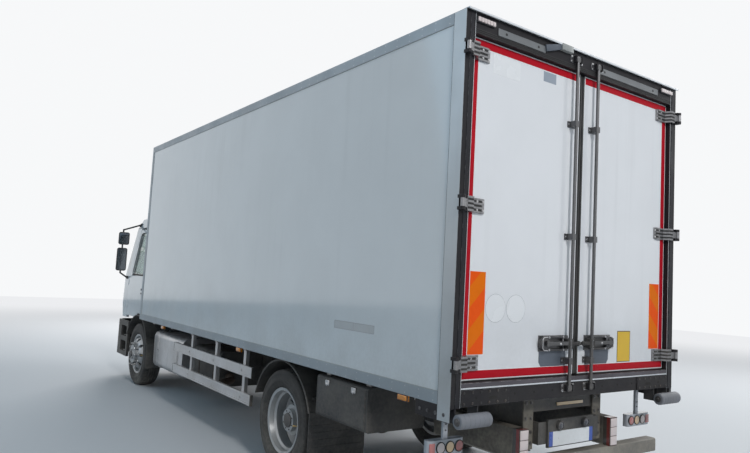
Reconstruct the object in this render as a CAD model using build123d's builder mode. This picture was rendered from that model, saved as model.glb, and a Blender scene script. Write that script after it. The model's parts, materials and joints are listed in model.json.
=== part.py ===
from build123d import *
import os
from math import cos, radians, sin

# Refrigerated box truck on two axles, with a tilting day cab and a fridge unit on its nose.
# Millimetres. X points to the truck's left, Y to its rear, Z up. The ground is Z = 0 and
# the origin lies on the ground under the middle of the truck.

os.makedirs("parts", exist_ok=True)

# Truck as a whole
overall_length = 8900
buffer_reach = 100
front_overhang = 1350
rear_overhang = 2500
cab_length = 1690
body_gap = 146
rear_face = overall_length / 2 - buffer_reach
front_face = -overall_length / 2
cab_rear = front_face + cab_length
front_axle_place = front_face + front_overhang
rear_axle_place = overall_length / 2 - rear_overhang

# Running clearances and seats
pin_clearance = 0.3
seat = 0.3
swing_gap = 8

# Load body
body_width = 2600
body_height = 2655
body_base = 1050
wall_thickness = 84
rail_proud = 6
roof_thickness = 100
bulkhead_thickness = 100
floor_underside = 20
floor_top = 150
bearer_depth = 50
rail_height = 82
half_body = body_width / 2
body_front = cab_rear + body_gap
body_top = body_base + body_height
wall_outside = half_body - rail_proud
wall_inside = wall_outside - wall_thickness
deck = body_base + floor_top
bearer_base = body_base + floor_underside - bearer_depth
bearer_setback = 414
bearer_pitch = 800
arch_room = 700
tail_bearer_place = 770
tail_bearer_pitch = 590
bearer_places = (
    *range(int(body_front) + bearer_setback, int(rear_axle_place) - arch_room, bearer_pitch),
    *range(int(rear_axle_place) + tail_bearer_place, int(rear_face) - 400, tail_bearer_pitch),
)

# Rear door frame
post_width = 85
post_depth = 120
header_height = 155
sill_lift = 10
sill_height = 150
doorway_half = half_body - post_width
header_base = body_top - header_height
sill_base = body_base + sill_lift
sill_top = sill_base + sill_height

# Rear doors, their hinges and lock rods; heights are above the body's base
leaf_thickness = 87
leaf_recess = 38
leaf_side_gap = 10
leaf_top_gap = 5
leaf_bottom_gap = 10
leaf_half_gap = 24.5
hinge_back = 36
hinge_height = 100
hinge_bases = (234, 1284, body_height - 319)
knuckle_radius = 16
hinge_pin_radius = 7
lug_height = 22
strap_thickness = 16
strap_lift = 8
strap_end = 1040
rod_place = 130
rod_radius = 13
rod_back = 16
rod_bottom = 55
rod_top = body_height - 55
keeper_heights = (78, body_height - 78)
cam_height = 34
cam_half = 22
cheek_gap = 9
cheek_thickness = 8
guide_heights = (250, 1180, 2050)
handle_base = 345
handle_height = 115
handle_end = 430

# Chassis
rail_outside = 430
rail_flange = 70
rail_web = 8
rail_top = 930
rail_bottom = 660
rail_front = front_face + 250
rail_rear = rear_face - 135
bearer_width = 70
crossmember_height = 110
crossmember_depth = 90
crossmember_places = (
    front_axle_place + 950, front_axle_place + 2100, front_axle_place + 3250,
    rear_axle_place - 800, rear_axle_place + 800, rear_axle_place + 1550,
)

# Axles, wheels and tyres
tyre_radius = 479
tyre_width = 276
rim_seat_radius = 286
rim_half = 105
twin_spacing = 305
disc_offset = twin_spacing / 2
disc_thickness = 12
stud_circle = 335 / 2
stud_count = 10
hand_hole_radius = 26
hand_hole_circle = 226
front_tyre_place = 1030
rear_tyre_place = 1090
kingpin_place = 860
kingpin_radius = 20
steering_arm = 240
front_arch_radius = 600
rear_arch_radius = 560
arch_thickness = 6

# Cab. Each section: height, front Y, rear Y, half width, front corner radius
cab_wall = 45
cab_sections = (
    (990, front_face + 25, cab_rear, 1135, 250),
    (1250, front_face + 10, cab_rear, 1150, 260),
    (1690, front_face + 45, cab_rear, 1150, 270),
    (2500, front_face + 300, cab_rear, 1072, 270),
    (2660, front_face + 430, cab_rear - 20, 1020, 250),
    (2720, front_face + 590, cab_rear - 80, 920, 200),
)
belt_height = 1690
roof_line = 2500
cab_side_base = 1030
door_step = 1100
cab_floor_base = 1110
lining_gap = 10
cab_floor_thickness = 50
tunnel_half = 420
tunnel_top = 1450
tunnel_wall = 30
door_front = front_face + 493
door_rear = cab_rear - 215
front_panel_rear = door_front - swing_gap
door_top = roof_line - 30
pivot_place = front_face + 150
pivot_height = 720
pivot_radius = 16
pivot_arm_side = 550
pivot_arm_width = 54
ear_thickness = 20

# Front bumper
bumper_base = 360
bumper_top = 935
bumper_thickness = 40
bumper_half = 1165
bumper_corner = 210
bumper_rear = front_axle_place - 590

# Fridge unit on the nose of the body
fridge_half = 960
fridge_base = body_top - 750
fridge_top = body_top - 85
fridge_depth = 450
fridge_corner = 70
fridge_front = body_front - fridge_depth


def block(x, y, z, mode=Mode.ADD):
    """Add a block that spans the given pair of values along X, Y and Z."""
    middle = [(pair[0] + pair[1]) / 2 for pair in (x, y, z)]
    with Locations(tuple(middle)):
        Box(abs(x[1] - x[0]), abs(y[1] - y[0]), abs(z[1] - z[0]), mode=mode)


def side_prism(points, x, mode=Mode.ADD, corner=0):
    """Extrude an outline in Y and Z between two X, with its corners rounded."""
    low, high = sorted(x)
    with BuildSketch(Plane.YZ.offset(low)) as outline:
        Polygon(*points, align=None)
        if corner:
            fillet(outline.vertices(), corner)
    extrude(outline.sketch, amount=high - low, mode=mode)


def front_plane(y):
    """Plane at Y whose own axes are X and Z, and which faces the front."""
    return Plane(origin=(0, y, 0), x_dir=(1, 0, 0), z_dir=(0, -1, 0))


def front_prism(points, y, mode=Mode.ADD, corner=0):
    """Extrude an outline in X and Z between two Y, with its corners rounded."""
    low, high = sorted(y)
    with BuildSketch(front_plane(high)) as outline:
        Polygon(*points, align=None)
        if corner:
            fillet(outline.vertices(), corner)
    extrude(outline.sketch, amount=high - low, mode=mode)


def plan_prism(points, z, mode=Mode.ADD, corner=0):
    """Extrude an outline in X and Y between two Z, with its corners rounded."""
    low, high = sorted(z)
    with BuildSketch(Plane.XY.offset(low)) as outline:
        Polygon(*points, align=None)
        if corner:
            fillet(outline.vertices(), corner)
    extrude(outline.sketch, amount=high - low, mode=mode)


def bar(start, end, radius, mode=Mode.ADD):
    """Add a round bar from one point to another."""
    span = Vector(*end) - Vector(*start)
    with BuildSketch(Plane(origin=start, z_dir=span)) as section:
        Circle(radius)
    extrude(section.sketch, amount=span.length, mode=mode)


def rounded_front(y, z, half, corner, mode=Mode.ADD):
    """Block across the truck whose outline from the front has round corners."""
    points = ((-half, z[0]), (half, z[0]), (half, z[1]), (-half, z[1]))
    front_prism(points, y, mode, corner)


def on_arc(axle, distance, angle):
    """Point in Y and Z at a distance and an angle from a wheel's axis, counted up from the front."""
    turn = radians(angle)
    return (axle - distance * cos(turn), tyre_radius + distance * sin(turn))


def save(builder, name):
    """Label a finished piece and write it to its file."""
    builder.part.label = name
    export_step(builder.part, "parts/" + name + ".step")


# Chassis rails: C sections that open inwards, with the body bearers on top
with BuildPart() as chassis_rails:
    for side in (1, -1):
        outline = (
            (side * rail_outside, rail_bottom),
            (side * (rail_outside - rail_flange), rail_bottom),
            (side * (rail_outside - rail_flange), rail_bottom + rail_web),
            (side * (rail_outside - rail_web), rail_bottom + rail_web),
            (side * (rail_outside - rail_web), rail_top - rail_web),
            (side * (rail_outside - rail_flange), rail_top - rail_web),
            (side * (rail_outside - rail_flange), rail_top),
            (side * rail_outside, rail_top),
        )
        front_prism(outline, (rail_front, rail_rear))
        bearer = (side * (rail_outside - bearer_width), side * rail_outside)
        block(bearer, (body_front + 60, rail_rear), (rail_top, body_base + floor_underside))
save(chassis_rails, "chassis_rails")

# Crossmembers between the webs, the front one with the cab's pivot ears, and the cab's rear bearer
web_inside = rail_outside - rail_web
crossmember_z = (rail_top - 30 - crossmember_height, rail_top - 30)
beam_front = rail_front - 60
beam_z = (pivot_height - 145, pivot_height - 45)
with BuildPart() as crossmembers:
    for place in crossmember_places:
        span = (place - crossmember_depth / 2, place + crossmember_depth / 2)
        block((-web_inside, web_inside), span, crossmember_z)
        block((-web_inside + 60, web_inside - 60), (span[0] + 10, span[1]),
              (crossmember_z[0] + 10, crossmember_z[1] - 10), mode=Mode.SUBTRACT)
    ear_side = pivot_arm_side + pivot_arm_width / 2 + 3
    block((-ear_side - ear_thickness, ear_side + ear_thickness), (beam_front, rail_front), beam_z)
    for side in (1, -1):
        block((side * 370, side * 450), (beam_front, rail_front), (beam_z[0], rail_top - 30))
        block((side * 370, side * 450), (front_face + bumper_thickness, beam_front),
              (rail_bottom, rail_bottom + 80))
        for ear in (ear_side, 2 * pivot_arm_side - ear_side - ear_thickness):
            plate = ((pivot_place - 30, pivot_height - 34), (beam_front, beam_z[0]), (rail_front, beam_z[0]),
                     (rail_front, beam_z[1]), (pivot_place + 34, pivot_height + 26),
                     (pivot_place, pivot_height + 34), (pivot_place - 34, pivot_height + 10))
            side_prism(plate, (side * ear, side * (ear + ear_thickness)))
        bar((side * (2 * pivot_arm_side - ear_side), pivot_place, pivot_height),
            (side * ear_side, pivot_place, pivot_height), pivot_radius)
    with Locations((0, cab_rear + 10, rail_top + 130)):
        Box(900, 90, 45)
    for side in (1, -1):
        post = (side * (rail_outside - rail_flange), side * rail_outside)
        block(post, (cab_rear - 35, cab_rear + 55), (rail_top, cab_floor_base - seat))
save(crossmembers, "crossmembers")

# Front axle: forged beam, dropped between the springs, with a boss at each kingpin
axle_front_z = tyre_radius
boss_half = 75
with BuildPart() as front_axle:
    beam = (
        (-kingpin_place, axle_front_z + 45), (-kingpin_place, axle_front_z - 45),
        (-560, 370), (560, 370), (kingpin_place, axle_front_z - 45),
        (kingpin_place, axle_front_z + 45), (540, 450), (-540, 450),
    )
    front_prism(beam, (front_axle_place - 50, front_axle_place + 50))
    for side in (1, -1):
        for face in (1, -1):
            pocket = ((side * 120, 395), (side * 530, 395), (side * 530, 430), (side * 120, 430))
            front_prism(pocket, (front_axle_place + face * 50, front_axle_place + face * 22),
                        mode=Mode.SUBTRACT)
        bar((side * kingpin_place, front_axle_place, axle_front_z - boss_half),
            (side * kingpin_place, front_axle_place, axle_front_z + boss_half), 48)
        bar((side * kingpin_place, front_axle_place, axle_front_z - boss_half),
            (side * kingpin_place, front_axle_place, axle_front_z + boss_half),
            kingpin_radius + pin_clearance, mode=Mode.SUBTRACT)
        block((side * 350, side * 450), (front_axle_place - 90, front_axle_place + 90), (440, 470))
save(front_axle, "front_axle")

# Leaf springs, each with its hangers on the rail.
# Columns: axle Y, side X of the middle, half length, height of the seat, height of the eyes
spring_table = (
    (front_axle_place, 400, 720, 470, 590),
    (rear_axle_place, 490, 760, 600, 720),
)
spring_width = 80
spring_thickness = 54
with BuildPart() as leaf_springs:
    for axle, place, reach, seat_z, eye_z in spring_table:
        for side in (1, -1):
            span = (side * (place - spring_width / 2), side * (place + spring_width / 2))
            with BuildSketch(Plane.YZ.offset(min(span))):
                with BuildLine():
                    ThreePointArc((axle - reach, eye_z - 12), (axle, seat_z), (axle + reach, eye_z - 12))
                    Line((axle + reach, eye_z - 12), (axle + reach, eye_z + 12))
                    ThreePointArc((axle + reach, eye_z + 12), (axle, seat_z + spring_thickness),
                                  (axle - reach, eye_z + 12))
                    Line((axle - reach, eye_z + 12), (axle - reach, eye_z - 12))
                make_face()
            extrude(amount=spring_width)
            for end in (-1, 1):
                eye = axle + end * reach
                bar((min(span), eye, eye_z), (max(span), eye, eye_z), 32)
            if place < rail_outside:
                for end in (-1, 1):
                    eye = axle + end * reach
                    block(span, (eye - 30, eye + 30), (eye_z, rail_bottom))
            else:
                for end in (-1, 1):
                    eye = axle + end * reach
                    block((side * rail_outside, span[1]), (eye - 30, eye + 30), (eye_z, eye_z + 90))
save(leaf_springs, "leaf_springs")

# Rear axle housing with the differential, and the propeller shaft in two lengths
rear_hub_inside = 655
pinion_place = rear_axle_place - 360
with BuildPart() as rear_axle:
    tube_end = rear_hub_inside - 10
    bar((-tube_end, rear_axle_place, tyre_radius), (tube_end, rear_axle_place, tyre_radius), 75)
    bar((-rear_tyre_place + 60, rear_axle_place, tyre_radius),
        (rear_tyre_place - 60, rear_axle_place, tyre_radius), 45)
    with Locations((40, rear_axle_place, tyre_radius)):
        Sphere(205)
    with Locations((40, rear_axle_place, tyre_radius)):
        Cylinder(radius=215, height=80, rotation=(90, 0, 0))
    bar((0, pinion_place, tyre_radius + 30), (0, rear_axle_place, tyre_radius + 30), 80)
    for side in (1, -1):
        block((side * 440, side * 540), (rear_axle_place - 90, rear_axle_place + 90),
              (tyre_radius, spring_table[1][3]))
save(rear_axle, "rear_axle")

gearbox_end = front_axle_place + 770
gearbox_height = 680
bearing_place = crossmember_places[1]
with BuildPart() as propeller_shaft:
    joint = (0, bearing_place, 640)
    bar((0, gearbox_end + 30, gearbox_height), joint, 50)
    bar(joint, (0, pinion_place - 30, tyre_radius + 30), 55)
    with Locations(joint):
        Sphere(72)
    bar((0, gearbox_end, gearbox_height), (0, gearbox_end + 40, gearbox_height), 78)
    bar((0, pinion_place - 40, tyre_radius + 30), (0, pinion_place, tyre_radius + 30), 78)
    block((-30, 30), (bearing_place - 25, bearing_place + 25), (640, crossmember_z[0]))
save(propeller_shaft, "propeller_shaft")

# Engine and gearbox as one plain mass on its mounts
engine_half = 330
engine_front = front_axle_place - 850
engine_rear = front_axle_place + 50
engine_top = 1330
with BuildPart() as engine_block:
    block((-engine_half, engine_half), (engine_front, engine_rear), (520, engine_top))
    chamfer(engine_block.edges().filter_by(Axis.Y), 90)
    with BuildSketch(front_plane(engine_rear)):
        with Locations((0, 750)):
            RectangleRounded(480, 340, 40)
    with BuildSketch(front_plane(gearbox_end)):
        with Locations((0, gearbox_height)):
            RectangleRounded(220, 220, 40)
    loft(ruled=True)
    for place in (front_axle_place - 460, front_axle_place + 200):
        block((-web_inside, web_inside), (place - 40, place + 40), (700, 760))
save(engine_block, "engine_block")

# Fuel tank on the left, two air tanks on the right
tank_front = front_axle_place + 620
tank_length = 1250
tank_half_x = (460, 1080)
with BuildPart() as tanks:
    points = ((tank_half_x[0], 370), (tank_half_x[1], 370), (tank_half_x[1], 900), (tank_half_x[0], 900))
    front_prism(points, (tank_front, tank_front + tank_length), corner=85)
    for place in (tank_front + 200, tank_front + tank_length - 200):
        block((rail_outside, tank_half_x[0] + 40), (place - 30, place + 30), (420, 900))
    for height in (480, 745):
        bar((-620, tank_front + 30, height), (-620, tank_front + 880, height), 118)
        for place in (tank_front + 200, tank_front + 700):
            block((-rail_outside, -620), (place - 25, place + 25), (height + 60, height + 110))
    block((-rail_outside, -520), (tank_front + 175, tank_front + 225), (480, 860))
    block((-rail_outside, -520), (tank_front + 675, tank_front + 725), (480, 860))
save(tanks, "tanks")

# Battery box and silencer on the right, locker behind the rear wheels on the left.
# Columns: side, near X, far X, front Y, rear Y, base, top, corner radius
box_table = (
    (-1, 440, 1090, front_axle_place + 1700, front_axle_place + 2480, 420, 880, 30),
    (1, 440, 1000, front_axle_place + 2100, front_axle_place + 3000, 440, 860, 60),
    (1, 690, 1262, rear_axle_place + 690, rear_axle_place + 1440, 680, bearer_base, 25),
    (-1, 690, 1262, rear_axle_place + 690, rear_axle_place + 1440, 680, bearer_base, 25),
)
with BuildPart() as chassis_boxes:
    for side, near, far, front, rear, base, top, corner in box_table:
        points = ((side * near, base), (side * far, base), (side * far, top), (side * near, top))
        front_prism(points, (front, rear), corner=corner)
        for place in (front + 200, rear - 200):
            block((side * rail_outside, side * (near + 80)), (place - 30, place + 30),
                  (max(base, rail_bottom) + 60, rail_top - 60))
save(chassis_boxes, "chassis_boxes")

# Side guards between the axles
guard_side = 1190
guard_depth = 30
guard_rails = (480, 760)
guard_height = 110
guard_span = (front_axle_place + 1920, rear_axle_place - arch_room)
guard_stays = [place for place in bearer_places if guard_span[0] < place < guard_span[1]]
with BuildPart() as side_guards:
    for side in (1, -1):
        face = (side * guard_side, side * (guard_side + guard_depth))
        for base in guard_rails:
            block(face, guard_span, (base, base + guard_height))
        for place in guard_stays:
            block((side * (guard_side - 40), side * guard_side), (place - 30, place + 30),
                  (guard_rails[0], bearer_base))
save(side_guards, "side_guards")

# Mudguards: an arc over each wheel, carried by a stay from the rail.
# Columns: axle Y, radius, near X, far X, start and end angle from the front
arch_table = (
    (front_axle_place, front_arch_radius, 640, 1190, 25, 160),
    (rear_axle_place, rear_arch_radius, 625, 1240, 18, 162),
)
with BuildPart() as mudguards:
    for axle, radius, near, far, start, end in arch_table:
        for side in (1, -1):
            low = min(side * near, side * far)
            outer = radius + arch_thickness
            inner_line = [on_arc(axle, radius, angle) for angle in (start, (start + end) / 2, end)]
            outer_line = [on_arc(axle, outer, angle) for angle in (end, (start + end) / 2, start)]
            with BuildSketch(Plane.YZ.offset(low)):
                with BuildLine():
                    ThreePointArc(*inner_line)
                    Line(inner_line[2], outer_line[0])
                    ThreePointArc(*outer_line)
                    Line(outer_line[2], inner_line[0])
                make_face()
            extrude(amount=far - near)
            for angle in (start + 12, end - 12):
                foot = on_arc(axle, outer + 12, angle)
                bar((side * rail_outside, *foot), (side * (far - 60), *foot), 14)
save(mudguards, "mudguards")

# Load body: insulated floor, side walls, roof and front bulkhead
inside_rear = rear_face - post_depth
with BuildPart() as box_floor:
    block((-wall_inside, wall_inside), (body_front + bulkhead_thickness, inside_rear),
          (body_base + floor_underside, deck))
    for place in bearer_places:
        block((-wall_inside + 10, wall_inside - 10), (place - 30, place + 30),
              (bearer_base, body_base + floor_underside))
    for side in (1, -1):
        block((side * (rail_outside - bearer_width), side * rail_outside), (body_front, inside_rear),
              (bearer_base, body_base + floor_underside), mode=Mode.SUBTRACT)
save(box_floor, "box_floor")

wall_z = (body_base + floor_underside, body_top - roof_thickness)
with BuildPart() as box_side_walls:
    for side in (1, -1):
        block((side * wall_inside, side * wall_outside), (body_front, inside_rear), wall_z)
save(box_side_walls, "box_side_walls")

with BuildPart() as box_roof:
    block((-wall_outside, wall_outside), (body_front, inside_rear), (wall_z[1], body_top - 4))
save(box_roof, "box_roof")

with BuildPart() as box_bulkhead:
    block((-wall_inside, wall_inside), (body_front, body_front + bulkhead_thickness), wall_z)
save(box_bulkhead, "box_bulkhead")

# Aluminium edge rails along the sides, and the front corner posts
with BuildPart() as body_rails:
    for side in (1, -1):
        skin = (side * wall_outside, side * half_body)
        block(skin, (body_front, inside_rear), (body_base + 12, body_base + 12 + rail_height))
        block(skin, (body_front, inside_rear), (body_top - rail_height, body_top))
        block((side * (wall_outside - 40), side * half_body), (body_front, inside_rear),
              (body_top - 4, body_top))
        block(skin, (body_front, body_front + 70), (body_base + 12, body_top))
save(body_rails, "body_rails")

# Rear frame: posts with their hinge lugs, header and sill with the rods' keepers
lug_span = ((0, lug_height), (hinge_height - lug_height, hinge_height))
hinge_y = rear_face + hinge_back
with BuildPart() as rear_posts:
    for side in (1, -1):
        block((side * doorway_half, side * half_body), (inside_rear, rear_face), (body_base, body_top))
        block((side * (half_body - 12), side * half_body), (rear_face - 345, inside_rear),
              (body_base - 90, body_base + 12))
        block((side * (half_body - 12), side * half_body), (inside_rear, rear_face - 20),
              (body_base - 90, body_base))
        for base in hinge_bases:
            for low, high in lug_span:
                z = (body_base + base + low, body_base + base + high)
                block((side * (half_body - 30), side * (half_body + knuckle_radius)),
                      (rear_face, hinge_y), z)
                with BuildSketch(Plane.XY.offset(z[0])):
                    with Locations((side * half_body, hinge_y)):
                        Circle(knuckle_radius)
                extrude(amount=high - low)
            z = body_base + base
            bar((side * half_body, hinge_y, z), (side * half_body, hinge_y, z + hinge_height),
                hinge_pin_radius)
save(rear_posts, "rear_posts")


def keeper(height):
    """Cheeks of one keeper for each lock rod, open to the rear."""
    for side in (1, -1):
        for hand in (1, -1):
            near = side * rod_place + hand * (cam_half + cheek_gap)
            far = near + hand * cheek_thickness
            block((near, far), (rear_face, rear_face + 32),
                  (body_base + height - 25, body_base + height + 25))


with BuildPart() as rear_header:
    block((-doorway_half, doorway_half), (inside_rear, rear_face), (header_base, body_top))
    block((-doorway_half + 20, doorway_half - 20), (inside_rear + 12, rear_face - 12),
          (header_base + 12, body_top - 12), mode=Mode.SUBTRACT)
    block((90, 330), (rear_face - 60, rear_face), (body_top - 50, body_top))
    keeper(keeper_heights[1])
save(rear_header, "rear_header")

with BuildPart() as rear_sill:
    block((-doorway_half, doorway_half), (inside_rear, rear_face), (sill_base, sill_top))
    for side in (1, -1):
        block((side * 770, side * doorway_half), (rear_face, rear_face + 8),
              (sill_base, sill_base + 105))
    keeper(keeper_heights[0])
save(rear_sill, "rear_sill")

# Dock buffers: a roller on each end of the sill, between two cheeks
roller_radius = 47.5
roller_half = 140
roller_place = 1145
roller_height = body_base - 70
roller_back = overall_length / 2 - roller_radius
with BuildPart() as dock_buffers:
    for side in (1, -1):
        bar((side * (roller_place - roller_half), roller_back, roller_height),
            (side * (roller_place + roller_half), roller_back, roller_height), roller_radius)
    fillet(dock_buffers.edges().filter_by(GeomType.CIRCLE), 12)
    for side in (1, -1):
        for hand in (1, -1):
            near = side * (roller_place + hand * (roller_half - 44))
            block((near, near + side * hand * 10), (inside_rear + 20, roller_back),
                  (roller_height - 26, roller_height + 26))
            top = body_base if hand > 0 else sill_base
            block((near, near + side * hand * 10), (inside_rear + 20, rear_face - 10),
                  (roller_height - 26, top))
save(dock_buffers, "dock_buffers")

# Underrun bar on two box arms, with the hangers under the rail ends
arm_place = 535
arm_half = 48
arm_height = 222
arm_front = rail_rear - 820
arm_back = rear_face - 110
tail_lamp_back = rear_face - 50
underrun_top = body_base - 425
underrun_base = underrun_top - 110
with BuildPart() as underrun_bar:
    rounded = ((tail_lamp_back - 100, underrun_base), (tail_lamp_back, underrun_base),
               (tail_lamp_back, underrun_top), (tail_lamp_back - 100, underrun_top))
    side_prism(rounded, (-1150, 1150), corner=14)
    for side in (1, -1):
        block((side * (arm_place - arm_half), side * (arm_place + arm_half)), (arm_front, arm_back),
              (underrun_top, underrun_top + arm_height))
        hanger = ((rail_rear - 760, underrun_top + 75), (rail_rear - 640, underrun_top + 75),
                  (rail_rear - 560, rail_top - 40), (rail_rear - 840, rail_top - 40))
        side_prism(hanger, (side * rail_outside, side * (rail_outside + 10)))
        block((side * rail_outside, side * (arm_place - arm_half)), (rail_rear - 760, rail_rear - 640),
              (underrun_top, underrun_top + 75))
        block((side * 355, side * 460), (rail_rear, rail_rear + 12), (body_base - 375, sill_base))
        block((side * 355, side * 460), (rail_rear, rear_face - 60), (sill_base - 12, sill_base))
save(underrun_bar, "underrun_bar")

# Number plate carrier between the rail ends
plate_base = body_base - 355
with BuildPart() as plate_carrier:
    block((-270, 270), (rear_face - 70, rear_face - 52), (plate_base - 6, plate_base + 195))
    block((-260, 260), (rear_face - 52, rear_face - 50), (plate_base, plate_base + 110))
    for side in (1, -1):
        block((side * 250, side * 356), (rear_face - 76, rear_face - 70),
              (plate_base + 20, plate_base + 180))
        block((side * 335, side * 355), (rail_rear, rear_face - 70),
              (plate_base + 20, plate_base + 180))
        with BuildSketch(front_plane(rear_face - 30)):
            with Locations((side * 150, plate_base + 152)):
                Circle(34)
        extrude(amount=22)
save(plate_carrier, "plate_carrier")

# Front bumper: a thin shell round the corners, with lamp openings, an intake and two steps a side
lamp_span = (690, 1010)
lamp_z = (600, 790)
intake_half = 480
intake_z = (470, 650)
step_z = ((430, 600), (680, 850))
with BuildPart() as front_bumper:
    with BuildSketch(Plane.XY.offset(bumper_base)) as shape:
        with Locations((0, (front_face + bumper_rear) / 2)):
            Rectangle(2 * bumper_half, bumper_rear - front_face)
        fillet(shape.vertices().group_by(Axis.Y)[0], bumper_corner)
    extrude(amount=bumper_top - bumper_base)
    with BuildSketch(Plane.XY.offset(bumper_base)) as hollow:
        with Locations((0, (front_face + bumper_thickness + bumper_rear + 10) / 2)):
            Rectangle(2 * (bumper_half - bumper_thickness), bumper_rear + 10 - front_face - bumper_thickness)
        fillet(hollow.vertices().group_by(Axis.Y)[0], bumper_corner - bumper_thickness)
    extrude(amount=bumper_top - bumper_base, mode=Mode.SUBTRACT)
    front_face_span = (front_face, front_face + bumper_thickness)
    rounded_front(front_face_span, intake_z, intake_half, 30, mode=Mode.SUBTRACT)
    for height in range(intake_z[0] + 40, intake_z[1], 45):
        block((-intake_half, intake_half), (front_face + 12, front_face + 32), (height - 6, height + 6))
    for side in (1, -1):
        points = ((side * lamp_span[0], lamp_z[0]), (side * lamp_span[1], lamp_z[0]),
                  (side * lamp_span[1], lamp_z[1]), (side * lamp_span[0], lamp_z[1]))
        front_prism(points, (front_face - 10, front_face + 80), mode=Mode.SUBTRACT, corner=30)
        for base, top in step_z:
            block((side * (bumper_half - bumper_thickness - 150), side * (bumper_half - bumper_thickness)),
                  (bumper_rear - 420, bumper_rear - 60), (base - 12, top + 12))
            points = ((bumper_rear - 400, base), (bumper_rear - 80, base),
                      (bumper_rear - 80, top), (bumper_rear - 400, top))
            side_prism(points, (side * (bumper_half - 170), side * (bumper_half + 5)),
                       mode=Mode.SUBTRACT, corner=20)
save(front_bumper, "front_bumper")

# Lamps: headlamps in the bumper, end lamps on the arms, a tail cluster on a stem under each end of
# the sill, and markers along the sides
marker_places = (rear_face - 500, rear_face - 3300, rear_face - 5850)
cluster_span = (970, half_body - 5)
cluster_z = (body_base - 350, body_base - 247)
cluster_back = rear_face - 200
cluster_depth = 60
cluster_corner = 25
stem_span = (1110, 1150)
stem_depth = 20
with BuildPart() as lamps:
    for side in (1, -1):
        points = ((side * lamp_span[0], lamp_z[0]), (side * lamp_span[1], lamp_z[0]),
                  (side * lamp_span[1], lamp_z[1]), (side * lamp_span[0], lamp_z[1]))
        front_prism(points, (front_face + 18, front_face + 80), corner=30)
        block((side * (arm_place - arm_half), side * (arm_place + arm_half)), (arm_back, tail_lamp_back),
              (underrun_top, underrun_top + arm_height))
        near, far = (side * x for x in cluster_span)
        front = cluster_back - cluster_depth
        plan_prism(((near, front), (far, front), (far, cluster_back), (near, cluster_back)), cluster_z,
                   corner=cluster_corner)
        block((side * stem_span[0], side * stem_span[1]), (front + stem_depth, front + 2 * stem_depth),
              (cluster_z[1], body_base + floor_underside))
        for place in marker_places:
            block((side * (half_body - 26), side * (half_body - 6)), (place - 55, place + 55),
                  (body_base - 34, body_base + 12))
save(lamps, "lamps")

# Fridge unit: a rounded housing with an open face, and the louvred grille in that opening
grille_half = fridge_half - 110
grille_z = (fridge_base + 70, fridge_top - 120)
grille_depth = 60
grille_corner = 30
with BuildPart() as fridge_unit:
    rounded_front((fridge_front, body_front), (fridge_base, fridge_top), fridge_half, fridge_corner)
    fillet(fridge_unit.faces().sort_by(Axis.Y)[0].edges(), 40)
    rounded_front((fridge_front - 5, fridge_front + grille_depth), grille_z, grille_half, grille_corner,
                  mode=Mode.SUBTRACT)
    for side in (1, -1):
        for height in range(int(fridge_base) + 140, int(fridge_top) - 140, 60):
            block((side * (fridge_half - 8), side * (fridge_half + 5)),
                  (fridge_front + 110, body_front - 90), (height, height + 22), mode=Mode.SUBTRACT)
save(fridge_unit, "fridge_unit")

louvre_pitch = 46
with BuildPart() as fridge_grille:
    rounded_front((fridge_front + 8, fridge_front + grille_depth - seat),
                  (grille_z[0] + seat, grille_z[1] - seat), grille_half - seat, grille_corner)
    rounded_front((fridge_front, fridge_front + grille_depth), (grille_z[0] + 18, grille_z[1] - 18),
                  grille_half - 18, 20, mode=Mode.SUBTRACT)
    slat_bottom = int(grille_z[0] + grille_corner)
    slat_top = int(grille_z[1] - 2 * grille_corner)
    for height in range(slat_bottom, slat_top, louvre_pitch):
        slat = ((fridge_front + 12, height), (fridge_front + 50, height + 22),
                (fridge_front + 50, height + 28), (fridge_front + 12, height + 6))
        side_prism(slat, (-grille_half + 10, grille_half - 10))
    for place in (-grille_half / 2, 0, grille_half / 2):
        block((place - 7, place + 7), (fridge_front + 30, fridge_front + grille_depth - seat),
              (grille_z[0] + 10, grille_z[1] - 10))
save(fridge_grille, "fridge_grille")

# Evaporator in the load space, under the roof at the bulkhead, with two fans in its sloped face
evaporator_half = 700
evaporator_drop = 370
evaporator_reach = 430
evaporator_nose = 140
evaporator_slope = 170
fan_radius = 108
fan_hub = 38
fan_place = 330
fan_recess = 35
evaporator_back = body_front + bulkhead_thickness + evaporator_reach
evaporator_base = wall_z[1] - evaporator_drop
slope_top = Vector(0, evaporator_back, wall_z[1] - evaporator_nose)
slope_bottom = Vector(0, evaporator_back - evaporator_slope, evaporator_base)
with BuildPart() as evaporator:
    profile = (
        (body_front + bulkhead_thickness, wall_z[1]), (body_front + bulkhead_thickness, evaporator_base),
        (slope_bottom.Y, slope_bottom.Z), (slope_top.Y, slope_top.Z), (evaporator_back, wall_z[1]),
    )
    side_prism(profile, (-evaporator_half, evaporator_half))
    across_slope = Vector(1, 0, 0)
    slope_normal = across_slope.cross(slope_top - slope_bottom)
    if slope_normal.Y < 0:
        slope_normal = slope_normal * -1
    fan_plane = Plane(origin=(slope_top + slope_bottom) / 2, x_dir=across_slope, z_dir=slope_normal)
    with BuildSketch(fan_plane) as fans:
        with Locations((-fan_place, 0), (fan_place, 0)):
            Circle(fan_radius)
            Circle(fan_hub, mode=Mode.SUBTRACT)
    extrude(fans.sketch, amount=-fan_recess, mode=Mode.SUBTRACT)
save(evaporator, "evaporator")


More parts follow.
